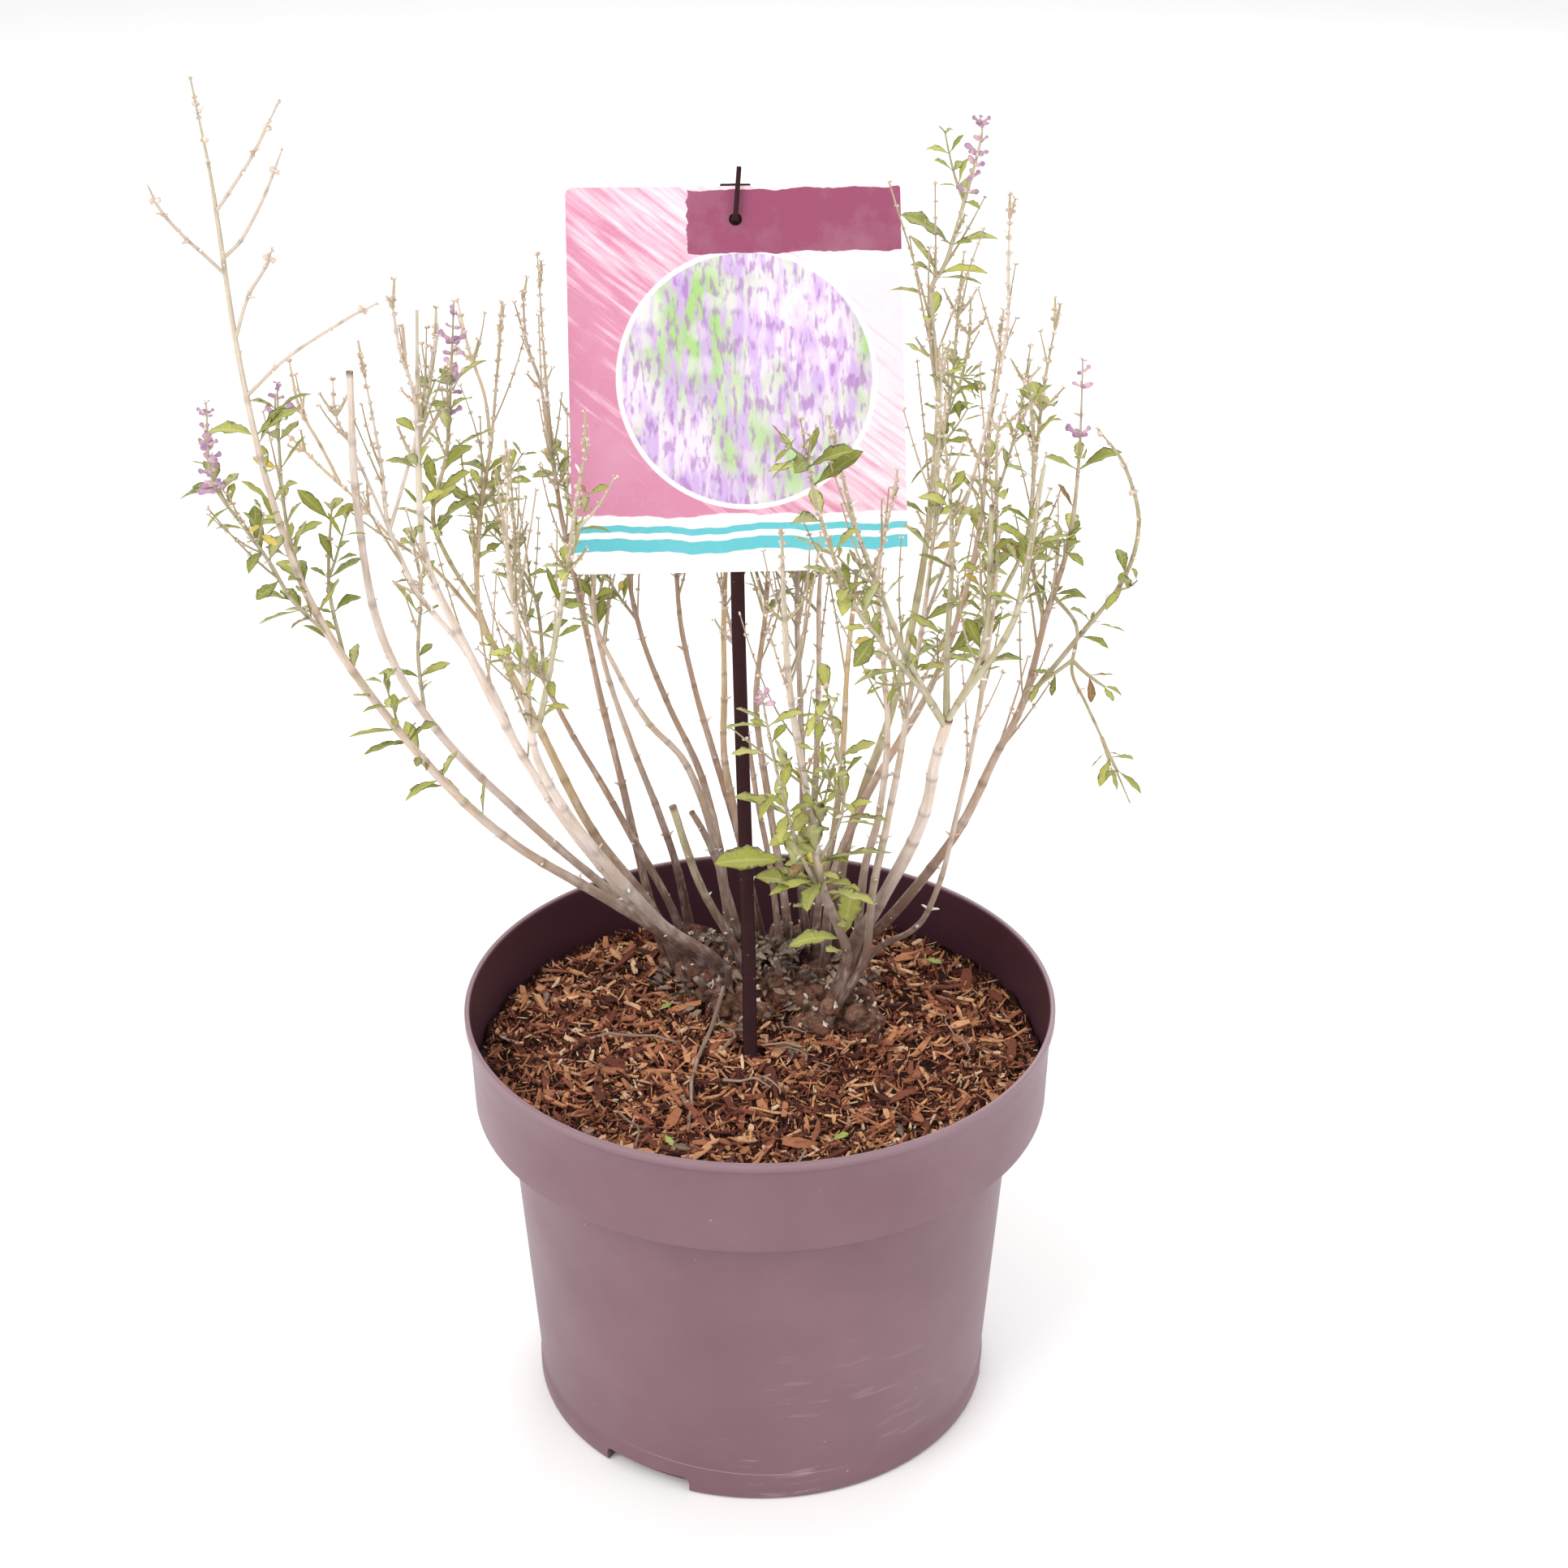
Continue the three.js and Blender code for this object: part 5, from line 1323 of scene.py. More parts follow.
STEM_PLANS: tuple[StemPlan, ...] = (
    StemPlan("stem_far_left", Bark.TAN, (
        LimbPlan(((-10, 43, 147), (-28, 38, 171), (-59, 30, 200), (-97, 20, 233), (-127, 8, 275),
            (-157, -5, 334), (-171, -8, 384), (-179, -4, 436), (-184, 4, 494), (-189, 10, 529)
            ), (5.6, 1.4),
            (("leaves", 0.38, 0.46, 1, 15), ("leaves", 0.46, 0.72, 3, 17),
             ("beads", 0.93, 1, 2, 3))),
        LimbPlan(((-166, -14, 349), (-172, -22, 368), (-178, -28, 383), (-186, -34, 403),
            (-185, -36, 431)), (2, 1.2),
            (("leaves", 0.15, 0.75, 3, 15), ("blooms", 0.76, 1, 3, 6)), on=0, at=0.55),
        LimbPlan(((-169, 2, 375), (-171, 12, 395), (-171, 20, 419)), (1.8, 1.2),
            (("leaves", 0.2, 0.8, 2, 14), ("blooms", 0.85, 1, 2, 6)), on=0, at=0.6),
        LimbPlan(((-156, 6, 341), (-157, 14, 353), (-155, 20, 373)), (1.8, 1.2),
            (("leaves", 0.25, 0.95, 2, 15),), on=0, at=0.53),
        LimbPlan(((-160, -16, 440), (-137, -32, 458), (-125, -40, 466)), (1.6, 1.2),
            (("beads", 0.7, 1, 1, 3),), on=0, at=0.75),
        LimbPlan(((-173, -9, 459), (-165, -16, 471), (-161, -22, 479)), (1.6, 1.2),
            (("beads", 0.7, 1, 1, 3),), on=0, at=0.79),
        LimbPlan(((-187, -8, 474), (-191, -16, 482), (-196, -24, 493), (-198, -30, 503)
            ), (1.6, 1.2),
            (("beads", 0.7, 1, 1, 3),), on=0, at=0.83),
        LimbPlan(((-176, 6, 475), (-169, 16, 487), (-163, 24, 501)), (1.6, 1.2),
            (("beads", 0.7, 1, 1, 3),), on=0, at=0.84),
        LimbPlan(((-176, 0, 495), (-168, -6, 506), (-156, -14, 526)), (1.6, 1.2),
            (("beads", 0.7, 1, 1, 3),), on=0, at=0.87),
    )),
    StemPlan("stem_left_cut", Bark.WHITE, (
        LimbPlan(((-22, 49, 147), (-38, 46, 176), (-63, 42, 201), (-92, 38, 233), (-123, 30, 275),
            (-141, 22, 320), (-146, 20, 373), (-145, 20, 423)), (4.6, 3),
            ()),
        LimbPlan(((-130, 38, 305), (-128, 44, 330), (-131, 46, 352)), (1.8, 1.2),
            (("leaves", 0.2, 0.9, 2, 15),), on=0, at=0.6),
    )),
    StemPlan("stem_left_twiggy", Bark.WHITE, (
        LimbPlan(((-14, 32, 147), (-31, 25, 180), (-53, 14, 213), (-73, 2, 250), (-90, -8, 289),
            (-106, -16, 334), (-117, -18, 366), (-118, -14, 404), (-116, -8, 454)), (5, 2.4),
            (("leaves", 0.8, 0.92, 1, 13),)),
        LimbPlan(((-98, -4, 309), (-110, 2, 326), (-124, 8, 342), (-134, 14, 366),
            (-136, 18, 390), (-141, 24, 427)), (3.2, 1.2),
            (("twigs", 0.5, 0.98, 2, 11),), on=0, at=0.5),
        LimbPlan(((-147, 31, 388), (-154, 38, 400), (-155, 43, 412)), (1.6, 1.2),
            (("twigs", 0.4, 0.95, 1, 8),), on=1, at=0.64),
        LimbPlan(((-126, 10, 388), (-121, 4, 403), (-113, -2, 433), (-110, -6, 447)), (1.6, 1.2),
            (("twigs", 0.4, 0.95, 2, 8),), on=1, at=0.66),
        LimbPlan(((-117, -22, 428), (-120, -28, 446), (-121, -32, 465)), (1.6, 1.2),
            (("twigs", 0.3, 0.95, 2, 7),), on=0, at=0.86),
    )),
    StemPlan("stem_left_forked", Bark.WHITE, (
        LimbPlan(((-6, 22, 147), (-24, 17, 180), (-46, 6, 213), (-68, -14, 257), (-80, -26, 290),
            (-82, -34, 317), (-84, -40, 350), (-86, -42, 378), (-84, -40, 415)), (6, 1.2),
            (("sprigs", 0.6, 0.75, 1, 14), ("twigs", 0.68, 0.98, 2, 9))),
        LimbPlan(((-78, -38, 312), (-70, -47, 350), (-65, -52, 376), (-60, -58, 406),
            (-56, -60, 424)), (3, 1.2),
            (("leaves", 0.25, 0.6, 2, 12), ("twigs", 0.6, 0.98, 2, 10)), on=0, at=0.58),
    )),
    StemPlan("stem_left_brown", Bark.GOLD, (
        LimbPlan(((-30, 52, 147), (-44, 55, 182), (-68, 58, 218), (-87, 60, 262), (-98, 60, 288),
            (-108, 58, 312), (-106, 58, 350), (-100, 64, 384), (-95, 74, 432)), (5.2, 1.2),
            (("leaves", 0.72, 0.82, 1, 16), ("twigs", 0.78, 0.98, 2, 9))),
        LimbPlan(((-118, 52, 338), (-122, 46, 358), (-115, 42, 384), (-112, 42, 410),
            (-109, 42, 442)), (2.2, 1.2),
            (("leaves", 0.35, 0.8, 2, 21), ("blooms", 0.72, 1, 4, 7)), on=0, at=0.64),
        LimbPlan(((-124, 60, 330), (-140, 66, 340), (-151, 72, 350), (-163, 78, 361)), (1.8, 1.2),
            (("twigs", 0.5, 0.95, 1, 8),), on=0, at=0.61),
        LimbPlan(((-168, 84, 362), (-177, 92, 368), (-185, 98, 373)), (1.6, 1.2),
            (("twigs", 0.3, 0.95, 1, 6),), on=2, at=0.9),
        LimbPlan(((-168, 80, 374), (-175, 82, 388), (-178, 86, 405)), (1.6, 1.2),
            (("twigs", 0.3, 0.95, 1, 6),), on=2, at=0.96),
        LimbPlan(((-103, 72, 396), (-109, 80, 412), (-113, 88, 428)), (1.6, 1.2),
            (("twigs", 0.2, 0.95, 1, 7),), on=0, at=0.86),
    )),
    StemPlan("stem_left_back", Bark.BROWN, (
        LimbPlan(((-30, 64, 147), (-36, 66, 175), (-54, 72, 210), (-64, 77, 228), (-78, 84, 252),
            (-91, 92, 280), (-95, 100, 310), (-100, 106, 352)), (4.2, 1.2),
            (("leaves", 0.8, 0.9, 1, 15), ("twigs", 0.82, 0.98, 1, 9))),
        LimbPlan(((-90, 104, 298), (-102, 118, 320), (-112, 130, 350)), (1.8, 1.2),
            (("leaves", 0.25, 0.8, 2, 15), ("twigs", 0.75, 0.98, 1, 8)), on=0, at=0.66),
    )),
    StemPlan("stem_card_left", Bark.BROWN, (
        LimbPlan(((-38, 68, 147), (-48, 75, 186), (-57, 86, 227), (-65, 94, 262), (-72, 100, 300),
            (-79, 104, 340), (-82, 106, 380), (-84, 110, 440)), (4.4, 1.2),
            (("leaves", 0.6, 0.78, 2, 15), ("twigs", 0.74, 0.98, 2, 9))),
        LimbPlan(((-84, 98, 392), (-88, 92, 411), (-88, 86, 432)), (1.6, 1.2),
            (("twigs", 0.3, 0.95, 2, 7),), on=0, at=0.8),
    )),
    StemPlan("stem_back_left", Bark.TAN, (
        LimbPlan(((-28, 80, 147), (-34, 88, 180), (-42, 97, 204), (-54, 106, 235),
            (-64, 116, 265), (-71, 128, 302), (-74, 140, 345), (-72, 150, 392)), (4.2, 1.2),
            (("leaves", 0.66, 0.84, 2, 15), ("twigs", 0.82, 0.98, 1, 9))),
        LimbPlan(((-60, 136, 312), (-48, 148, 338), (-44, 156, 372)), (1.8, 1.2),
            (("leaves", 0.2, 0.7, 2, 14), ("twigs", 0.7, 0.98, 1, 8)), on=0, at=0.64),
    )),
    StemPlan("stem_back_middle_left", Bark.BROWN, (
        LimbPlan(((-12, 72, 147), (-16, 82, 191), (-24, 98, 221), (-38, 116, 246),
            (-49, 132, 270), (-55, 144, 300), (-56, 158, 345), (-52, 168, 388)), (4.2, 1.2),
            (("leaves", 0.7, 0.84, 1, 15), ("twigs", 0.82, 0.98, 1, 9))),
        LimbPlan(((-62, 142, 290), (-78, 156, 318), (-86, 164, 350)), (1.6, 1.2),
            (("leaves", 0.25, 0.75, 2, 14), ("twigs", 0.7, 0.98, 1, 8)), on=0, at=0.6),
    )),
    StemPlan("stem_middle_left", Bark.TAN, (
        LimbPlan(((-9, 56, 147), (-18, 61, 208), (-29, 66, 242), (-44, 74, 257), (-56, 82, 275),
            (-66, 92, 300), (-60, 108, 340), (-50, 128, 392)), (4, 1.2),
            (("leaves", 0.7, 0.82, 1, 14), ("twigs", 0.8, 0.98, 1, 9))),
    )),
    StemPlan("stem_back_middle", Bark.BROWN, (
        LimbPlan(((2, 76, 147), (-8, 90, 194), (-19, 106, 228), (-27, 124, 250), (-33, 140, 275),
            (-34, 152, 305), (-30, 162, 350), (-24, 170, 400)), (4, 1.2),
            (("leaves", 0.68, 0.84, 2, 15), ("twigs", 0.82, 0.98, 1, 9))),
        LimbPlan(((-20, 158, 316), (-8, 164, 340), (-2, 168, 372)), (1.6, 1.2),
            (("leaves", 0.2, 0.8, 2, 14),), on=0, at=0.66),
    )),
    StemPlan("stem_behind_card", Bark.GOLD, (
        LimbPlan(((1, 60, 147), (-8, 68, 208), (-14, 80, 238), (-14, 94, 262), (-14, 108, 290),
            (-12, 122, 325), (-8, 136, 370), (-6, 150, 415)), (4.2, 1.2),
            (("leaves", 0.7, 0.84, 1, 15), ("twigs", 0.8, 0.98, 1, 9))),
    )),
    StemPlan("stem_behind_stake", Bark.BROWN, (
        LimbPlan(((10, 44, 147), (5, 48, 200), (-1, 58, 232), (-5, 66, 260), (-10, 78, 292),
            (-18, 92, 322)), (3.2, 1.2),
            (("twigs", 0.6, 0.98, 1, 9),)),
    )),
    StemPlan("stem_middle", Bark.BROWN, (
        LimbPlan(((14, 54, 147), (10, 60, 185), (4, 76, 220), (-1, 90, 258), (3, 102, 294),
            (6, 116, 336), (14, 132, 385)), (4.4, 1.2),
            (("leaves", 0.68, 0.84, 1, 15), ("twigs", 0.8, 0.98, 1, 9))),
        LimbPlan(((-2, 114, 312), (-6, 126, 340)), (1.8, 1.2),
            (("leaves", 0.3, 0.9, 1, 14),), on=0, at=0.68),
    )),
    StemPlan("stem_middle_right", Bark.GREY, (
        LimbPlan(((22, 60, 147), (17, 68, 186), (18, 82, 220), (17, 96, 258), (16, 112, 300),
            (22, 128, 345), (30, 144, 405)), (4.2, 1.2),
            (("leaves", 0.7, 0.84, 1, 14), ("twigs", 0.8, 0.98, 1, 9))),
    )),
    StemPlan("stem_back_right", Bark.TAN, (
        LimbPlan(((24, 72, 147), (22, 84, 190), (24, 100, 228), (25, 114, 260), (26, 130, 300),
            (34, 146, 345), (44, 158, 395)), (4, 1.2),
            (("leaves", 0.68, 0.84, 2, 15), ("twigs", 0.82, 0.98, 1, 9))),
        LimbPlan(((16, 136, 292), (6, 150, 318), (4, 160, 350)), (1.8, 1.2),
            (("leaves", 0.3, 0.8, 2, 14), ("twigs", 0.8, 0.98, 1, 8)), on=0, at=0.6),
    )),
    StemPlan("stem_right_yellow", Bark.GOLD, (
        LimbPlan(((22, 47, 147), (24, 56, 182), (30, 64, 210), (34, 76, 243), (36, 90, 275),
            (40, 104, 312), (44, 120, 352), (46, 134, 400)), (4, 1.2),
            (("leaves", 0.7, 0.84, 1, 15), ("twigs", 0.8, 0.98, 1, 9))),
    )),
    StemPlan("stem_tall_right", Bark.OLIVE, (
        LimbPlan(((32, 60, 147), (34, 70, 192), (43, 80, 224), (52, 84, 250), (60, 88, 284),
            (66, 92, 320), (69, 94, 355), (70, 94, 391), (66, 92, 428), (72, 90, 444),
            (82, 84, 487), (82, 84, 498)), (4.8, 1.2),
            (("leaves", 0.5, 0.7, 2, 16), ("twigs", 0.66, 0.84, 2, 10),
             ("leaves", 0.8, 0.86, 1, 22), ("leaves", 0.74, 0.8, 1, 16), ("blooms", 0.9, 1, 3, 6)
             )),
        LimbPlan(((72, 102, 360), (76, 108, 384), (78, 112, 410), (80, 116, 438)), (1.8, 1.2),
            (("leaves", 0.15, 0.6, 2, 15), ("twigs", 0.6, 0.98, 1, 9)), on=0, at=0.58),
        LimbPlan(((76, 86, 392), (80, 82, 412), (80, 76, 432)), (1.6, 1.2),
            (("leaves", 0.2, 0.5, 1, 14), ("twigs", 0.5, 0.98, 1, 8)), on=0, at=0.66),
    )),
    StemPlan("stem_right_long", Bark.BROWN, (
        LimbPlan(((26, 36, 147), (29, 50, 195), (42, 60, 228), (56, 66, 252), (68, 72, 272),
            (78, 76, 298), (86, 78, 335), (88, 74, 371), (89, 70, 398), (91, 64, 428)), (4.4, 1.2),
            (("leaves", 0.5, 0.76, 2, 15), ("twigs", 0.76, 0.98, 2, 9))),
        LimbPlan(((94, 88, 350), (102, 98, 376), (106, 104, 404)), (1.6, 1.2),
            (("leaves", 0.2, 0.7, 2, 15), ("twigs", 0.7, 0.98, 1, 8)), on=0, at=0.6),
    )),
    StemPlan("stem_right_pale", Bark.TAN, (
        LimbPlan(((38, 38, 147), (41, 32, 208), (47, 34, 236), (50, 38, 268), (48, 42, 300),
            (46, 50, 332), (52, 44, 372)), (4.2, 1.2),
            (("twigs", 0.66, 0.98, 2, 9),)),
    )),
    StemPlan("stem_right_upright", Bark.TAN, (
        LimbPlan(((42, 12, 147), (43, 5, 210), (48, -3, 250), (52, -8, 280), (55, -9, 305),
            (61, 2, 340), (65, 16, 378), (67, 34, 428)), (4, 1.2),
            (("leaves", 0.62, 0.84, 2, 15), ("twigs", 0.8, 0.98, 2, 9))),
        LimbPlan(((76, 26, 368), (85, 38, 400), (91, 46, 428), (91, 50, 452), (91, 52, 472)
            ), (1.8, 1.2),
            (("twigs", 0.3, 0.98, 2, 8),), on=0, at=0.68),
    )),
    StemPlan("stem_right_forked", Bark.WHITE, (
        LimbPlan(((31, 24, 147), (36, 21, 182), (45, 14, 204), (58, 2, 240), (63, -6, 262),
            (65, -12, 282), (69, -18, 303)), (6.6, 4.4),
            ()),
        LimbPlan(((54, -30, 330), (43, -44, 362), (33, -52, 392), (25, -56, 426)), (3.4, 1.2),
            (("leaves", 0.4, 0.6, 1, 14), ("twigs", 0.6, 0.98, 2, 9)), on=0, at=0.97),
        LimbPlan(((44, -44, 344), (34, -54, 362), (24, -60, 388), (18, -64, 412), (14, -70, 436)
            ), (2.2, 1.2),
            (("leaves", 0.1, 0.85, 3, 18),), on=1, at=0.12),
        LimbPlan(((68, -16, 328), (69, -12, 361), (68, -8, 386), (65, -4, 412)), (3, 1.2),
            (("leaves", 0.3, 0.7, 2, 17), ("twigs", 0.66, 0.98, 2, 10)), on=0, at=0.98),
        LimbPlan(((78, -24, 326), (81, -28, 348), (81, -28, 390)), (3, 2),
            (("leaves", 0.35, 0.8, 2, 15),), on=0, at=0.99),
        LimbPlan(((88, -30, 342), (93, -33, 365), (98, -34, 407)), (3, 2.2),
            (("leaves", 0.6, 0.95, 1, 15),), on=4, at=0.12),
    )),
    StemPlan("stem_right_outer", Bark.BROWN, (
        LimbPlan(((30, 46, 147), (40, 42, 170), (57, 34, 196), (78, 30, 231), (91, 28, 264),
            (101, 26, 289), (108, 26, 324), (115, 26, 353), (117, 24, 386), (116, 20, 427)
            ), (5.6, 1.2),
            (("leaves", 0.7, 0.88, 3, 16), ("blooms", 0.92, 1, 2, 6))),
        LimbPlan(((119, 14, 321), (133, 6, 347), (137, 2, 371), (131, 4, 392), (121, 8, 405)
            ), (2.6, 1.2),
            (("leaves", 0.25, 0.42, 2, 14), ("beads", 0.7, 1, 2, 3)), on=0, at=0.55),
        LimbPlan(((103, 34, 342), (102, 38, 365), (105, 42, 408), (109, 46, 433)), (2.4, 1.2),
            (("leaves", 0.3, 0.7, 2, 17), ("twigs", 0.7, 0.98, 2, 10)), on=0, at=0.66),
        LimbPlan(((118, 12, 326), (116, 4, 312), (121, -4, 302), (129, -10, 286), (138, -14, 266)
            ), (1.8, 1.2),
            (("sprigs", 0.35, 0.75, 2, 18),), on=0, at=0.7),
    )),
    StemPlan("stem_right_thin", Bark.TAN, (
        LimbPlan(((40, 30, 147), (50, 26, 180), (62, 19, 193), (70, 13, 217), (75, 8, 247),
            (81, 5, 286), (85, 6, 321), (87, 8, 352), (86, 14, 397), (89, 18, 414)), (3.2, 1.2),
            (("leaves", 0.7, 0.84, 2, 15), ("twigs", 0.84, 0.98, 1, 9))),
        LimbPlan(((98, 14, 360), (100, 20, 392), (97, 22, 418)), (2, 1.4),
            (("leaves", 0.3, 0.9, 2, 15),), on=0, at=0.72),
    )),
    StemPlan("stem_front_leafy", Bark.WHITE, (
        LimbPlan(((35, 12, 147), (33, 10, 190), (24, 2, 222), (20, -8, 253), (15, -22, 291),
            (11, -32, 322), (9, -42, 357), (8, -50, 389)), (4.6, 2.2),
            (("leaves", 0.16, 0.3, 2, 24), ("leaves", 0.34, 0.5, 2, 15),
             ("twigs", 0.72, 0.95, 1, 10))),
        LimbPlan(((16, -8, 240), (12, -20, 260), (8, -30, 281), (4, -40, 306), (1, -48, 328)
            ), (2, 1.2),
            (("leaves", 0.1, 0.85, 3, 16), ("blooms", 0.94, 1, 1, 5)), on=0, at=0.24),
        LimbPlan(((30, -14, 259), (31, -22, 280), (27, -30, 306), (24, -35, 324)), (1.8, 1.2),
            (("leaves", 0.3, 0.95, 2, 15),), on=0, at=0.34),
    )),
    StemPlan("stub_left", Bark.OLIVE, (
        LimbPlan(((-2, 36, 147), (-10, 35, 175), (-24, 34, 206), (-34, 35, 240)), (4.4, 3.4),
            ()),
    )),
    StemPlan("stub_middle", Bark.GREY, (
        LimbPlan(((-3, 52, 147), (-14, 53, 194), (-21, 52, 216), (-27, 51, 229)), (3.8, 2.8),
            ()),
    )),
)


class Kind(Enum):
    """What a spray is."""

    LEAF = "leaf"
    TWIG = "twig"
    BLOOM = "bloom"
    BEAD = "bead"


# Kind, lean from the limb and bend of each dress
HABITS = {
    "leaves": (Kind.LEAF, 1.05, -0.22), "twigs": (Kind.TWIG, 0.75, 0.25),
    "sprigs": (Kind.TWIG, 0.85, 0.1), "blooms": (Kind.BLOOM, 1.0, 0.0),
    "beads": (Kind.BEAD, 1.2, 0.0),
}
GROWTH_SEED = 20261127
LAST_PAIR = 0.97
TRIES = 7
TRY_TURN = 0.8
ROOM = 0.7
MOST_BALLS = 40000
BALLS_A_SPAN = 9
LONG_ROW = (0.15, 0.32, 0.49, 0.66, 0.83, 1.0)
SHORT_ROW = (0.6,)
ABOVE_SOIL = 14.0


class Dice:
    """Seeded random numbers, the same ones that the solids were grown with."""

    def __init__(self, seed: int) -> None:
        """Keeps the seed."""
        self.seed = seed

    def roll(self) -> float:
        """Draws a number from 0 to 1."""
        self.seed = (self.seed * 1664525 + 1013904223) & 0xFFFFFFFF
        return self.seed / 4294967296

    def scatter(self, size: float) -> float:
        """Draws a number around 0, within half of the size."""
        return (self.roll() - 0.5) * size


def around(axis: Point, side: Point, turn: float) -> Point:
    """Turns a direction that is square to an axis about that axis."""
    return side * cos(turn) + np.cross(axis, side) * sin(turn)


@dataclass
class Limb:
    """A limb. The sprays are placed along straight spans, and the wood is drawn through a curve."""

    points: list[Point]
    girth: tuple[float, ...]
    bends: list[Point] = field(default_factory=list)

    def __post_init__(self) -> None:
        """Counts the spans."""
        self.spans = len(self.points) - 1
        self.bends = self.bends or self.points

    def _span(self, t: float) -> tuple[int, float]:
        """The span that the share t lies in, and the share of that span."""
        span = min(int(t * self.spans), self.spans - 1)
        return span, t * self.spans - span

    def point(self, t: float) -> Point:
        """The point at the share t, on the straight spans."""
        span, share = self._span(t)
        return self.points[span] + (self.points[span + 1] - self.points[span]) * share

    def tangent(self, t: float) -> Point:
        """The direction of the span at the share t."""
        span, _ = self._span(t)
        return unit(self.points[span + 1] - self.points[span])

    def radius(self, t: float) -> float:
        """The radius at the share t."""
        return (self.girth[0] + (self.girth[1] - self.girth[0]) * t) / 2

    def outward(self, t: float, angle: float, spread: float) -> Point:
        """A direction that leaves the limb.

        Args:
            t: The share of the way along the limb.
            angle: Its turn about the limb.
            spread: How far it leans out from the limb.

        Returns:
            The direction.
        """
        tangent = unit(self.tangent(t) + self.tangent(max(t - 0.001, 0.0)))
        across = unit(np.cross((0.0, 1.0, 0.0), tangent))
        return tangent * cos(spread) + around(tangent, across, angle) * sin(spread)

    def curve(self, t: float) -> Point:
        """The point at the share t, on the smooth curve through the limb's points.

        Args:
            t: The share of the way along the limb.

        Returns:
            The point.
        """
        span, u = self._span(t)
        b, c = self.bends[span], self.bends[span + 1]
        a = self.bends[span - 1] if span else b * 2 - c
        d = self.bends[span + 2] if span + 2 < len(self.bends) else c * 2 - b
        return 0.5 * (b * 2 + (c - a) * u + (a * 2 - b * 5 + c * 4 - d) * u ** 2
                      + (b * 3 - a - c * 3 + d) * u ** 3)

    def length(self) -> float:
        """The length of the straight spans."""
        return sum(way(self.points))

    def reach_out(self) -> float:
        """How far the limb gets from the pot's middle plane."""
        return max(abs(point[0]) for point in self.points)

    def near_tip(self, distance: float) -> float:
        """The share t that lies a distance before the tip."""
        for span, size in reversed(list(enumerate(way(self.points)))):
            if distance <= size:
                return (span + 1 - distance / size) / self.spans
            distance -= size
        return 0.0


@dataclass
class Spray:
    """A leaf, twig, floret or bead on a limb."""

    kind: Kind
    dress: str
    limb: Limb
    t: float
    base: Point
    direction: Point
    length: float
    bend: float
    roll: float

    def reach(self, share: float) -> Point:
        """The point at a share of its way: straight out, then bending up or down."""
        point = self.base + self.direction * self.length * share
        point[2] += self.bend * self.length * share * share
        return point

    def up(self) -> Point:
        """The side of it that faces up, rolled about its direction."""
        aim = self.direction
        return around(aim, unit(vec(0, 0, 1) - aim * aim[2]), self.roll)


@dataclass
class GrownStem:
    """A stem with its limbs and sprays."""

    plan: StemPlan
    limbs: list[Limb]
    sprays: list[Spray] = field(default_factory=list)


def in_the_open(centre: Point, radius: float) -> bool:
    """Tells whether a ball is clear of the mulch, the pot's rim and the label.

    Args:
        centre: The middle.
        radius: The radius, in millimetres.

    Returns:
        Whether it is clear.
    """
    bottom = centre[2] - radius
    at_rim = bottom < POT_HEIGHT + 2 and hypot(centre[0], centre[1]) + radius > RIM_RADIUS - 8
    if bottom < SOIL_LEVEL + ABOVE_SOIL or at_rim:
        return False
    offset = centre - CARD_MIDDLE
    near = abs(float(offset @ CARD_OUT)) < radius + CARD_BOW + 1.5
    beside = abs(offset[0]) > CARD_WIDTH / 2 + radius + 1
    beyond = abs(float(offset @ CARD_UP)) > CARD_HEIGHT / 2 + radius + 1
    return not near or beside or beyond


class Clearance:
    """The balls that are taken up, so that new ones keep clear of them."""

    def __init__(self) -> None:
        """Starts empty."""
        self.centres = np.zeros((MOST_BALLS, 3))
        self.radii = np.zeros(MOST_BALLS)
        self.owners = np.zeros(MOST_BALLS, int)
        self.count = 0

    def take(self, centre: Point, radius: float, owner: int) -> None:
        """Takes up a ball."""
        at = self.count
        self.centres[at], self.radii[at], self.owners[at] = centre, radius, owner
        self.count += 1

    def is_clear(self, row: Sequence[Point], radius: float, owner: int) -> bool:
        """Tells whether a new row of balls meets nothing but, near its root, its own stem.

        Args:
            row: The middles of the balls.
            radius: The radius, in millimetres.
            owner: The stem's number.

        Returns:
            Whether the row is clear.
        """
        if not all(in_the_open(centre, radius) for centre in row):
            return False
        for index, centre in enumerate(row):
            gaps = np.linalg.norm(self.centres[:self.count] - centre, axis=1)
            met = gaps <= radius + self.radii[:self.count] + ROOM
            if index < max(1.0, len(row) * 0.4):
                met &= self.owners[:self.count] != owner
            if met.any():
                return False
        return True


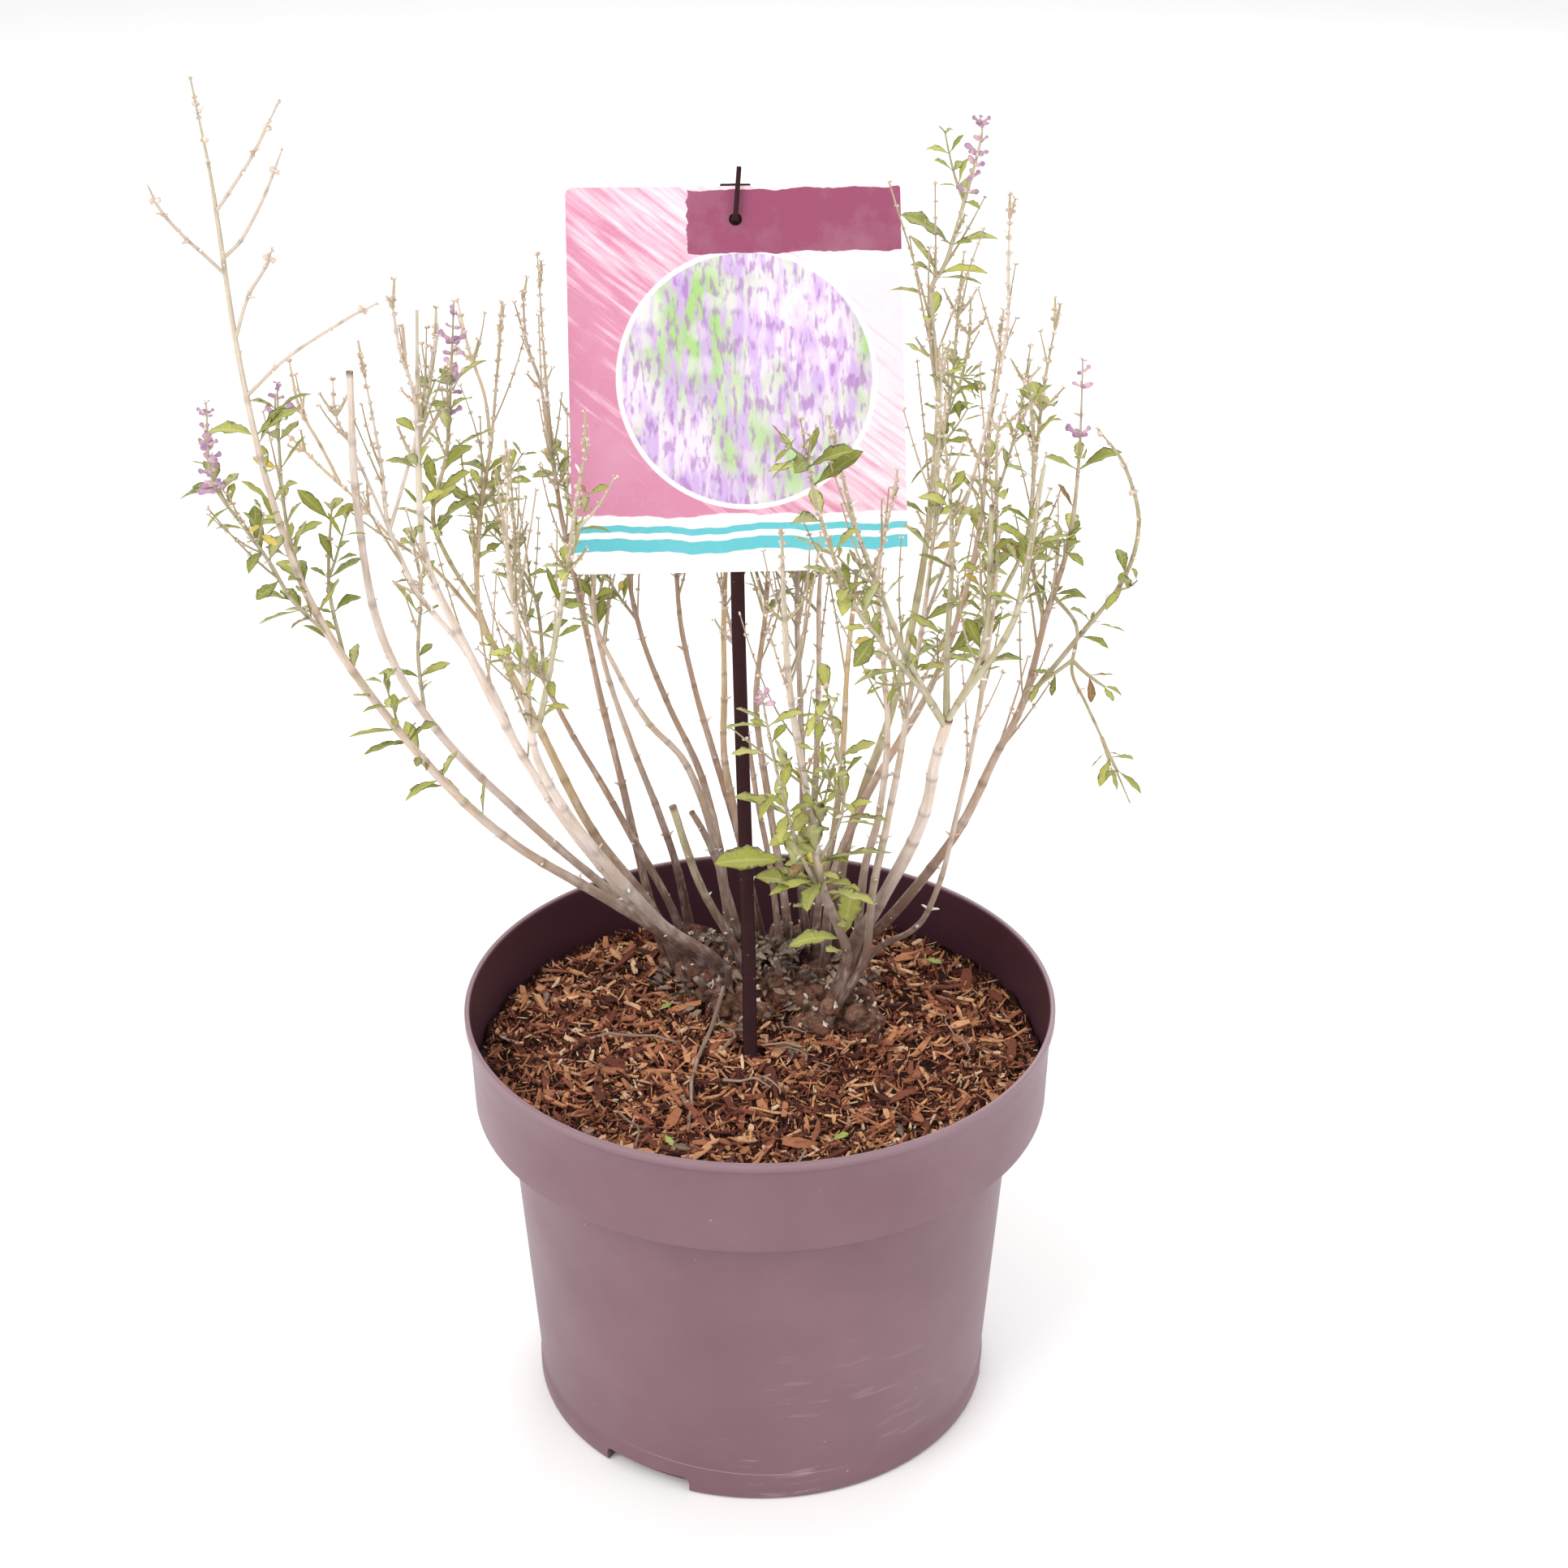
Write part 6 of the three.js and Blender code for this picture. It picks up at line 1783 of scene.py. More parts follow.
class Growth:
    """Grows the plant as its solids were grown."""

    def __init__(self) -> None:
        """Sets the dice and the room."""
        self.dice = Dice(GROWTH_SEED)
        self.room = Clearance()

    def _place(self, stem: GrownStem, owner: int, spray: Spray, angle: float,
               spread: float) -> bool:
        """Turns a spray about its limb until it is clear, and keeps it if it ever is.

        Args:
            stem: The stem.
            owner: The stem's number.
            spray: The spray.
            angle: Its turn about the limb.
            spread: How far it leans out from the limb.

        Returns:
            Whether it was kept.
        """
        short = spray.kind in (Kind.BLOOM, Kind.BEAD)
        radius = 1.6 if short else spray.length * 0.14 if spray.kind is Kind.LEAF else 0.9
        for attempt in range(TRIES):
            spray.direction = spray.limb.outward(spray.t, angle + attempt * TRY_TURN, spread)
            row = [spray.reach(share) for share in (SHORT_ROW if short else LONG_ROW)]
            if self.room.is_clear(row, radius, owner):
                for centre in row:
                    self.room.take(centre, radius, owner)
                stem.sprays.append(spray)
                return True
        return False

    def _dress_sprig(self, stem: GrownStem, owner: int, spray: Spray) -> None:
        """Puts small leaves on a sprig.

        Args:
            stem: The stem.
            owner: The stem's number.
            spray: The spray.
        """
        twig = Limb([spray.reach(share) for share in (0.0, 0.5, 1.0)], (1.4, 0.8))
        for pair, t in enumerate((0.5, 0.95)):
            for side in range(2):
                leaf = Spray(Kind.LEAF, "sprig", twig, t, twig.point(t), twig.tangent(t),
                             spray.length * 0.55, -0.1, 0.0)
                self._place(stem, owner, leaf, pair * pi / 2 + side * pi, 0.8)

    def _dress(self, stem: GrownStem, owner: int, limb: Limb, line: DressLine) -> None:
        """One kind of dress along a stretch of a limb, in opposite pairs.

        Args:
            stem: The stem.
            owner: The stem's number.
            limb: The limb.
            line: The line of the plan.
        """
        dress, start, end, pairs, size = line
        kind, spread, habit_bend = HABITS[dress]
        for pair in range(pairs):
            share = (start + end) / 2 if pairs == 1 else start + (end - start) * pair / (pairs - 1)
            t = min(share, LAST_PAIR)
            for side in range(2):
                angle = pair * (pi / 2) + side * pi + self.dice.scatter(0.6)
                length = size * (0.8 + 0.4 * self.dice.roll())
                roll = self.dice.scatter(0.9)
                bend = habit_bend + self.dice.scatter(0.3)
                spray = Spray(kind, dress, limb, t, limb.point(t), limb.tangent(t), length, bend,
                              roll)
                if self._place(stem, owner, spray, angle, spread) and dress == "sprigs":
                    self._dress_sprig(stem, owner, spray)

    @staticmethod
    def _limbs(plan: StemPlan) -> list[Limb]:
        """Lays out the limbs of a stem, each fork from its place on an earlier limb.

        Args:
            plan: Its plan.

        Returns:
            The limbs.
        """
        limbs: list[Limb] = []
        for limb in plan.limbs:
            points = [vec(*point) for point in limb.path]
            bends = list(points)
            if limb.on is not None:
                points.insert(0, limbs[limb.on].point(limb.at))
                bends.insert(0, limbs[limb.on].curve(limb.at))
            limbs.append(Limb(points, limb.girth, bends))
        return limbs

    def grow(self) -> list[GrownStem]:
        """Grows every stem: first every limb takes up its room, then each is dressed in turn."""
        stems = [GrownStem(plan, self._limbs(plan)) for plan in STEM_PLANS]
        for owner, stem in enumerate(stems):
            for limb in stem.limbs:
                steps = limb.spans * BALLS_A_SPAN
                for step in range(steps + 1):
                    self.room.take(limb.point(step / steps), limb.radius(step / steps), owner)
        for rise in range(0, int(STAKE_RISE + HOOK_RISE) + 1, 4):
            centre = STAKE_FOOT + CARD_UP * rise + vec(sway(rise), 0, 0)
            self.room.take(centre, STAKE_WIDTH / 2, -1)
        for owner, stem in enumerate(stems):
            for limb, plan in zip(stem.limbs, stem.plan.limbs):
                for line in plan.dress:
                    self._dress(stem, owner, limb, line)
        return stems


# Sub-assemblies

FOOT_BARK = paint(110, 76, 62)
GREY_FOOT = paint(164, 138, 122)
DARK_FOOT = paint(84, 52, 42)
SHOOT_BARK = paint(172, 168, 120)
DRY_BARK = paint(212, 190, 166)
GOLD_PATCH = paint(190, 150, 84)
PALE_PATCH = paint(238, 226, 214)
CUT_WOOD = paint(120, 90, 66)
LEAFY_STEM = "stem_front_leafy"
# How widely small leaves are spaced on some stems, against the rest
LEAF_SPACING = {"stem_tall_right": 2.2, "stem_far_left": 0.8, "stem_left_brown": 0.6,
                "stem_right_outer": 1.5}
# Large leaves near the foot of the leafy stem in front, from root to tip
PLACED_LEAVES = (
    ((10, -2, 236), (-17, -9, 241)), ((24, -2, 236), (50, -8, 246)), ((23, 2, 220), (44, -8, 222)),
    ((20, 2, 221), (-1, -6, 234)), ((13, -9, 258), (-9, -14, 272)),
    ((4, -24, 292), (-10, -28, 296)),
    ((3, -28, 306), (-8, -30, 315)), ((30, -22, 290), (42, -26, 299)),
    ((30, -9, 258), (48, -14, 261)), ((13, -6, 234), (14, -16, 258)),
    ((23, -10, 255), (20, -18, 272)), ((9, -22, 282), (7, -24, 300)), ((20, 2, 212), (13, -6, 219)),
    ((31, -20, 280), (28, -22, 296)), ((21, -8, 243), (19, -20, 263)))
# Stems that grow together at their foot, and the lower and upper end of the line they meet on
SHARED_FEET = {
    (LEAFY_STEM, "stem_right_upright", "stem_right_forked", "stem_right_thin"):
        ((24.0, 8.0), (36.0, 12.0)),
    ("stem_left_forked", "stem_left_twiggy"): ((-10.0, 36.0), (-18.0, 32.0)),
}


@dataclass
class Dresser:
    """Draws one grown stem: its wood, its leaves, its dry calyces and its florets."""

    stem: GrownStem

    def __post_init__(self) -> None:
        """Starts the rows that the pieces are made of."""
        self.name = self.stem.plan.name
        self.dice = random.Random(self.name)
        self.shade = self.dice.random() ** 1.5
        feet = [ends for names, ends in SHARED_FEET.items() if self.name in names]
        self.shared_foot = feet[0] if feet else None
        self.shade *= 0.2 if feet else 1.0
        self.wood = Strands()
        self.leaves = Sprouts(Family.LEAVES)
        self.calyces = Sprouts(Family.PODS)
        self.florets = Sprouts(Family.FLORETS)

    def _turn(self) -> float:
        """Draws a turn."""
        return self.dice.uniform(0, FULL_TURN)

    @staticmethod
    def _free(point: Point, margin: float = 1.0) -> bool:
        """Tells whether a point is clear of the label and the pot and inside the solids' box."""
        inside = all(low / MM + margin < value < high / MM - margin
                     for value, low, high in zip(point, *CAD_BOX))
        return inside and in_the_open(point, margin)

    @staticmethod
    def _square(aim: Point, turn: float) -> Point:
        """A direction square to aim, turned about it."""
        return around(aim, unit(np.cross(aim, (0.31, 0.95, 0.05))), turn)

    def _rooted(self, point: Point) -> Point:
        """Draws a point near the ground towards the line on which stems grow together.

        Args:
            point: The point.

        Returns:
            The moved point.
        """
        if self.shared_foot is None or point[2] > 200:
            return point
        low, high = (vec(*end) for end in self.shared_foot)
        meeting = low + (high - low) * (point[2] - 156) / 26
        pull = 0.85 * smoothstep(200 - point[2], 0, 42)
        return vec(*(point[:2] + (meeting - point[:2]) * pull), point[2])

    def _bark_at(self, height: float, shoot: float, phase: float) -> tuple[float, ...]:
        """The bark's colour at a height: dark at the foot, then its own, then a shoot's.

        Args:
            height: The height, in millimetres.
            shoot: How much of a green shoot it is.
            phase: Where the pattern starts.

        Returns:
            The colour.
        """
        foot = blend(FOOT_BARK, GREY_FOOT, self.shade)
        foot = blend(DARK_FOOT, foot, smoothstep(height, 166, 190))
        colour = blend(foot, self.stem.plan.bark.value,
                       smoothstep(height, 176, 250 + 60 * self.shade))
        gold = 0.5 + 0.5 * sin(height * 0.21 + phase)
        colour = blend(colour, GOLD_PATCH, 0.2 * smoothstep(gold, 0.6, 0.95)
                       * smoothstep(height, 190, 240))
        colour = blend(colour, PALE_PATCH, 0.45 * smoothstep(height, 320, 440))
        return blend(colour, SHOOT_BARK, shoot)

    def _draw_limb(self, limb: Limb, plan: LimbPlan) -> None:
        """Draws a limb with its nodes, which are rings with a scar and two spurs.

        Args:
            limb: The limb.
            plan: Its plan.
        """
        length = limb.length()
        leafy = any(line[0] in ("leaves", "sprigs", "blooms") for line in plan.dress)
        fork = plan.on is not None
        count = max(int(length / (13.0 if fork else 19.0)), 2)
        nodes = [(number + self.dice.uniform(-0.22, 0.22)) / count for number in range(1, count)]
        steps = max(int(length / 2.2), 6)
        phase = self._turn()
        cut = limb.girth[1] > 1.9 and not any(line[2] > 0.9 for line in plan.dress)
        points, girths, tints, scars = [], [], [], []
        for t in (step / steps for step in range(steps + 1)):
            gap = min(abs(t - node) for node in nodes) * length
            ring = math.exp(-(gap / 1.6) ** 2)
            shoot = (0.7 if leafy else 0.1) if fork else 0.5 * smoothstep(t, 0.62, 0.95) * leafy
            point = limb.curve(t)
            colour = self._bark_at(point[2], shoot, phase)
            tints.append(blend(colour, PALE_PATCH, 0.1 * math.exp(-((gap - 2.8) / 1.4) ** 2)))
            radius = limb.radius(t) * (0.88 + 0.07 * ring + 0.03 * sin(t * 40 + phase))
            if not cut:
                radius *= 1 - 0.45 * smoothstep(t, 0.8, 1.0)
            girths.append(radius * (1 + 0.3 * smoothstep(182 - point[2], 0, 30)))
            points.append(point if fork else self._rooted(point))
            scars.append(ring if gap < 1.0 else 0.0)
        if cut:
            tints[-1], scars[-1] = CUT_WOOD, 0.6
        self.wood.add(points, girths, tints, scars, stout=max(limb.girth) > 2.9)
        self._spurs(limb, nodes, phase)

    def _spurs(self, limb: Limb, nodes: Sequence[float], phase: float) -> None:
        """Small pegs and pale tufts in pairs at a limb's nodes.

        Args:
            limb: The limb.
            nodes: The shares of the way at the nodes.
            phase: Where the pattern starts.
        """
        for number, t in enumerate(nodes):
            if limb.curve(t)[2] < SOIL_LEVEL + 12:
                continue
            for side in range(2):
                if self.dice.random() < 0.2:
                    continue
                turn = number * pi / 2 + side * pi + phase
                aim = limb.outward(t, turn, self.dice.uniform(0.6, 1.2))
                size = self.dice.uniform(1.2, 3.6)
                root = self._rooted(limb.curve(t)) + aim * limb.radius(t) * 0.7
                self.calyces.add(root, aim, self._square(aim, turn), (size, size * 0.6, size * 0.6),
                                 self.dice.choice((0.0, 0.0, 0.1, 0.3, 0.6)), 2)

    def _whorl(self, centre: Point, along: Point, radius: float, count: int, size: float) -> None:
        """A ring of small dry calyces round a twig.

        Args:
            centre: The middle.
            along: The direction of the twig.
            radius: The radius, in millimetres.
            count: How many there are.
            size: The size, in millimetres.
        """
        start, lean = self._turn(), 0.75
        for number in range(count):
            side = self._square(along, start + FULL_TURN * number / count
                                + self.dice.uniform(-0.4, 0.4))
            aim = unit(along * cos(lean) + side * sin(lean))
            length = size * self.dice.uniform(0.7, 1.25)
            self.calyces.add(centre + side * radius * 0.6, aim, side, (length,) * 3,
                             self.dice.uniform(0.22, 0.72), self.dice.randrange(2))

    def _bud_pairs(self, centre: Point, along: Point, radius: float, size: float,
                   number: int) -> None:
        """Two to four flower buds that stand out from a spike, each from a small calyx.

        Args:
            centre: The middle.
            along: The direction of the twig.
            radius: The radius, in millimetres.
            size: The size, in millimetres.
            number: Its number along the spike.
        """
        for side in range(4):
            if side > 1 and self.dice.random() < 0.45:
                continue
            turn = side * pi + number * 1.3 + (side // 2) * 0.8 + self.dice.uniform(-0.3, 0.3)
            out = self._square(along, turn)
            aim = unit(out + along * self.dice.uniform(0.1, 0.7))
            length = size * self.dice.uniform(0.7, 1.1)
            self.florets.add(centre + out * radius, aim, along, (length,) * 3,
                             self.dice.uniform(0, 0.7), self.dice.randrange(3))
            self.calyces.add(centre + out * radius * 0.5, aim, along, (length * 0.42,) * 3,
                             self.dice.uniform(0.2, 0.5), 1)

    def _spike(self, points: Sequence[Point], radius: float, pitch: float, bare: float) -> None:
        """A thin twig with whorls of dry calyces, up to a small cluster at its tip.

        Args:
            points: The points, in millimetres.
            radius: The radius, in millimetres.
            pitch: How far the whorls are apart.
            bare: The share of the way that stays bare.
        """
        tint = blend(DRY_BARK, SHOOT_BARK, self.dice.random() * 0.8)
        count = len(points)
        girths = [radius * (1 - 0.45 * index / (count - 1)) for index in range(count)]
        self.wood.add(points, girths, [tint] * count)
        whorls = max(int(sum(way(points)) * (1 - bare) / pitch), 1)
        twig = Limb(list(points), (radius, radius))
        for number in range(whorls + 1):
            t = min(bare + (1 - bare) * number / whorls, 0.995)
            self._whorl(twig.point(t), twig.tangent(t), radius, 2 + number % 2, 1.5 - 0.5 * t)

    def _arc(self, limb: Limb, t: float, spread: float, length: float) -> list[Point]:
        """The way of a thin side shoot that curves upwards, up to where it meets something.

        Args:
            limb: The limb.
            t: The share of the way along the limb.
            spread: How far it leans out from the limb.
            length: The length, in millimetres.

        Returns:
            Its points.
        """
        base = limb.curve(t)
        aim = limb.outward(t, self._turn(), spread)
        lift = self.dice.uniform(0.1, 0.45)
        wander = vec(*(self.dice.uniform(-0.04, 0.04) for _ in range(3))) * length
        points = [base]
        for share in (step / 6 for step in range(1, 7)):
            point = base + aim * length * share + wander * sin(share * pi)
            point[2] += lift * length * share * share
            beyond = abs(point[0]) > limb.reach_out() + 4 or point[2] > limb.points[-1][2] - 4
            if beyond or not self._free(point, 1.6):
                break
            points.append(point)
        return points

    def _extra_spikes(self, limb: Limb, plan: LimbPlan) -> None:
        """Long thin spikes of dry calyces, which the solids leave out.

        Args:
            limb: The limb.
            plan: Its plan.
        """
        fork = plan.on is not None
        kinds = {line[0] for line in plan.dress}
        if limb.points[-1][2] < 330 or "beads" in kinds or not kinds:
            return
        for _ in range(4 if fork else 10):
            t = self.dice.uniform(*((0.3, 0.95) if fork else (0.45, 0.97)))
            t *= 0.8 if "blooms" in kinds else 1.0
            if limb.curve(t)[2] < 262:
                continue
            length = self.dice.uniform(*((16, 38) if fork else (20, 60)))
            points = self._arc(limb, t, self.dice.uniform(0.2, 0.6), length)
            if len(points) > 3:
                self._spike(points, self.dice.uniform(0.4, 0.6), self.dice.uniform(5.0, 9.0),
                            self.dice.uniform(0.1, 0.5))

    def _foliage(self, limb: Limb, plan: LimbPlan) -> None:
        """Small leaves between those of the solids, and a few thin leafy shoots.

        Args:
            limb: The limb.
            plan: Its plan.
        """
        length = max(limb.length(), 20.0)
        sparse = LEAF_SPACING.get(self.name, 1.0)
        for dress, start, end, _, size in plan.dress:
            if dress != "leaves":
                continue
            t = max(start - 6 / length, 0.06)
            turn = self._turn()
            while t < min(end + 6 / length, 0.97):
                for side in range(self.dice.choice((1, 2))):
                    aim = limb.outward(t, turn + side * pi + self.dice.uniform(-0.4, 0.4),
                                       self.dice.uniform(0.6, 1.2))
                    self._loose_leaf(limb, t, aim, min(size, 22) * self.dice.uniform(0.6, 1.15))
                if self.dice.random() < 0.2 and limb.curve(t)[2] > 230:
                    self._shoot(limb, t, self.dice.uniform(12, 26))
                t += self.dice.uniform(11.0, 16.0) * sparse / length
                turn += pi / 2

    def _loose_leaf(self, limb: Limb, t: float, aim: Point, size: float) -> None:
        """A leaf that the solids leave out, where there is room for it.

        Args:
            limb: The limb.
            t: The share of the way along the limb.
            aim: The direction that it points in.
            size: The size, in millimetres.
        """
        root = limb.curve(t) if len(limb.bends) > 2 else limb.point(t)
        if self._free(root + aim * size, 1.6):
            spray = Spray(Kind.LEAF, "axil", limb, t, root, aim, size,
                          self.dice.uniform(-0.35, 0.1), self.dice.uniform(-0.7, 0.7))
            kind = self.dice.choice((0, 0, 1, 2, 5))
            self._leaf(spray, root, size, kind, self._leaf_tint())

    def _shoot(self, limb: Limb, t: float, length: float) -> None:
        """A thin green side shoot with small leaf pairs.

        Args:
            limb: The limb.
            t: The share of the way along the limb.
            length: The length, in millimetres.
        """
        points = self._arc(limb, t, self.dice.uniform(0.5, 0.95), length)
        count = len(points)
        if count < 4:
            return
        tint = blend(SHOOT_BARK, DRY_BARK, self.dice.random() * 0.4)
        self.wood.add(points, [0.62 - 0.3 * index / (count - 1) for index in range(count)],
                      [tint] * count)
        twig = Limb(points, (1.2, 0.6))
        turn = self._turn()
        for share in (0.3 + 0.22 * number for number in range(4)):
            for side in range(2):
                aim = twig.outward(share, turn + side * pi, self.dice.uniform(0.7, 1.1))
                self._loose_leaf(twig, share, aim, self.dice.uniform(8, 14) * (1.1 - 0.4 * share))
            turn += pi / 2

    def _leaf(self, spray: Spray, root: Point, size: float, kind: int, tint: float) -> None:
        """A leaf of a given size on the way of its spray."""
        width = size * (0.33, 0.33, 0.33, 0.4, 0.4, 0.23)[kind]
        self.leaves.add(root, spray.direction, spray.up(), (size, width, width), tint, kind,
                        spray.bend * size)

    def _leaf_tint(self) -> float:
        """The green of a leaf, now and then yellow or brown."""
        chance = self.dice.random()
        if chance > 0.985:
            return 1.0
        green = (0.35 if self.name == LEAFY_STEM else 0.05, 0.76)
        return self.dice.uniform(*((0.88, 0.95) if chance > 0.96 else green))

    def _draw_leaf(self, spray: Spray) -> None:
        """Draws a leaf, the small ones in its axil and, between pairs, a smaller one.

        Args:
            spray: The spray.
        """
        root = spray.limb.curve(spray.t) if spray.dress != "sprig" else spray.base
        kind = self.dice.choice((3, 4)) if spray.length > 19 else self.dice.randrange(3)
        self._leaf(spray, root, spray.length, kind, self._leaf_tint())
        if spray.dress == "sprig" or self.dice.random() < 0.25:
            return
        side = self._square(spray.direction, self._turn())
        aim = unit(spray.direction + side * self.dice.uniform(0, 0.9)
                   + spray.limb.tangent(spray.t) * 0.5)
        small = Spray(Kind.LEAF, "axil", spray.limb, spray.t, root, aim, spray.length, -0.1,
                      self.dice.uniform(-0.8, 0.8))
        size = spray.length * self.dice.uniform(0.3, 0.5)
        if self._free(root + aim * size):
            self._leaf(small, root, size, self.dice.choice((0, 1, 5)), self._leaf_tint())

    def _place_leaves(self) -> None:
        """The large leaves whose places are known."""
        for number, ends in enumerate(PLACED_LEAVES):
            root, tip = (vec(*end) for end in ends)
            size = float(np.linalg.norm(tip - root))
            leaf = Spray(Kind.LEAF, "axil", self.stem.limbs[0], 0.3, root, unit(tip - root), size,
                         -0.08, -0.5 + 0.13 * (number % 8))
            self._leaf(leaf, root, size, 3 + number % 2, 0.42 + 0.05 * (number * 3 % 8))

    def _draw_twig(self, spray: Spray) -> None:
        """Draws a twig: a sprig with leaves at its nodes, or a dry one with whorls.

        Args:
            spray: The spray.
        """
        shift = spray.limb.curve(spray.t) - spray.base
        points = [spray.reach(share) + shift * (1 - share) for share in np.linspace(0, 1, 5)]
        if spray.dress == "sprigs":
            tints = [blend(SHOOT_BARK, DRY_BARK, 0.3)] * 5
            self.wood.add(points, (0.85, 0.75, 0.7, 0.6, 0.4), tints)
        else:
            self._spike(points, 0.75, 3.4, 0.3)

    def _draw_floret(self, spray: Spray) -> None:
        """Draws a floret, with two smaller buds beside it.

        Args:
            spray: The spray.
        """
        root, aim = spray.limb.curve(spray.t), spray.direction
        size = spray.length * self.dice.uniform(0.76, 0.94) * (0.6 if spray.t > 0.94 else 1.0)
        self.florets.add(root + aim * spray.limb.radius(spray.t) * 0.5, aim, spray.up(),
                         (size,) * 3, self.dice.uniform(0, 0.7), self.dice.randrange(2))
        for _ in range(2):
            side = self._square(aim, self._turn())
            bud = unit(aim + side * self.dice.uniform(0.5, 1.0))
            small = size * self.dice.uniform(0.4, 0.7)
            self.florets.add(root, bud, side, (small,) * 3, self.dice.uniform(0.2, 1.0), 2)

    def _draw_bead(self, spray: Spray) -> None:
        """Draws a small knot of pods.

        Args:
            spray: The spray.
        """
        root = spray.limb.curve(spray.t)
        for _ in range(3):
            side = self._square(spray.direction, self._turn())
            aim = unit(spray.direction + side * 0.6)
            size = spray.length * self.dice.uniform(0.45, 0.7)
            self.calyces.add(root, aim, side, (size,) * 3, self.dice.uniform(0.1, 0.6),
                             self.dice.randrange(2))

    def _tips(self, limb: Limb, plan: LimbPlan) -> None:
        """Whorls along the last stretch of a limb, or dark buds where it flowers.

        Args:
            limb: The limb.
            plan: Its plan.
        """
        kinds = {line[0]: line[3] for line in plan.dress}
        if "blooms" in kinds:
            reach = (0, 6, 11, 30, 34)[kinds["blooms"]]
            count = max(int(reach / 4.8), 2)
            for number in range(count + 1):
                share = number / count
                t = min(limb.near_tip(reach * (1 - share)), 0.998)
                self._bud_pairs(limb.curve(t), limb.tangent(t), limb.radius(t) * 0.6,
                                4.6 * min(1.0, 1.5 - 1.2 * share), number)
            return
        thin = limb.girth[1] < 1.5 and limb.points[-1][2] > 300
        if kinds.keys() & {"twigs", "beads"} or thin:
            small = "beads" in kinds
            reach = min(60.0, limb.length() * 0.45)
            count = max(int(reach / (7.5 if small else 5.4)), 1)
            for number in range(count + 1):
                t = min(limb.near_tip(reach * (1 - number / count)), 0.998)
                self._whorl(limb.curve(t), limb.tangent(t), limb.radius(t) * 0.5,
                            *((2, 1.0) if small else (3, 1.4)))

    def draw(self) -> None:
        """Draws the stem's limbs and sprays."""
        for limb, plan in zip(self.stem.limbs, self.stem.plan.limbs):
            for step in (self._draw_limb, self._tips, self._extra_spikes, self._foliage):
                step(limb, plan)
        draw = {Kind.LEAF: self._draw_leaf, Kind.TWIG: self._draw_twig,
                Kind.BLOOM: self._draw_floret, Kind.BEAD: self._draw_bead}
        for spray in self.stem.sprays:
            draw[spray.kind](spray)
        if self.name == LEAFY_STEM:
            self._place_leaves()


@dataclass
class Plant:
    """All the stems and the two cut stubs."""

    shop: Workshop

    def build(self) -> None:
        """Grows the plant and makes the pieces of each stem."""
        for stem in Growth().grow():
            dresser = Dresser(stem)
            dresser.draw()
            name = dresser.name
            settle(dresser.wood.build(name + "_wood", self.shop), "bark", None, name)
            for part, sprouts, finish, slot in (
                    ("_leaves", dresser.leaves, "downy_leaf", "leaf"),
                    ("_calyces", dresser.calyces, "dry_calyx", "bark"),
                    ("_florets", dresser.florets, "lavender_petal", "flower")):
                if sprouts.rows:
                    settle(sprouts.build(name + part, self.shop, finish), slot, None)


def baked(shape: Any, name: str) -> Object:
    """Puts a mesh under construction in the scene as an object."""
    mesh = bpy.data.meshes.new(name)
    shape.to_mesh(mesh)
    shape.free()
    return planted(name, mesh)


def combined(piece: Object, operation: str, others: Sequence[Object], name: str,
             sharp: float | None = None) -> Object:
    """Cuts other pieces out of one or joins them to it.

    Args:
        piece: The piece, which goes into the new one.
        operation: DIFFERENCE or UNION.
        others: The other pieces, which are removed.
        name: The new object's name.
        sharp: The angle from which its edges are sharp, in degrees.

    Returns:
        The new object.
    """
    for other in others:
        step = piece.modifiers.new("step", "BOOLEAN")
        step.operation, step.solver, step.object = operation, "EXACT", other
    made = harvest(piece, name)
    for other in others:
        bpy.data.objects.remove(other)
    tidy_mesh(made)
    if sharp is not None:
        made.data.set_sharp_from_angle(angle=radians(sharp))
    return made


def body_radius(height: float) -> float:
    """The outer radius of the pot's body at a height."""
    return BASE_RADIUS + (NECK_RADIUS - BASE_RADIUS) * height / BAND_FOOT


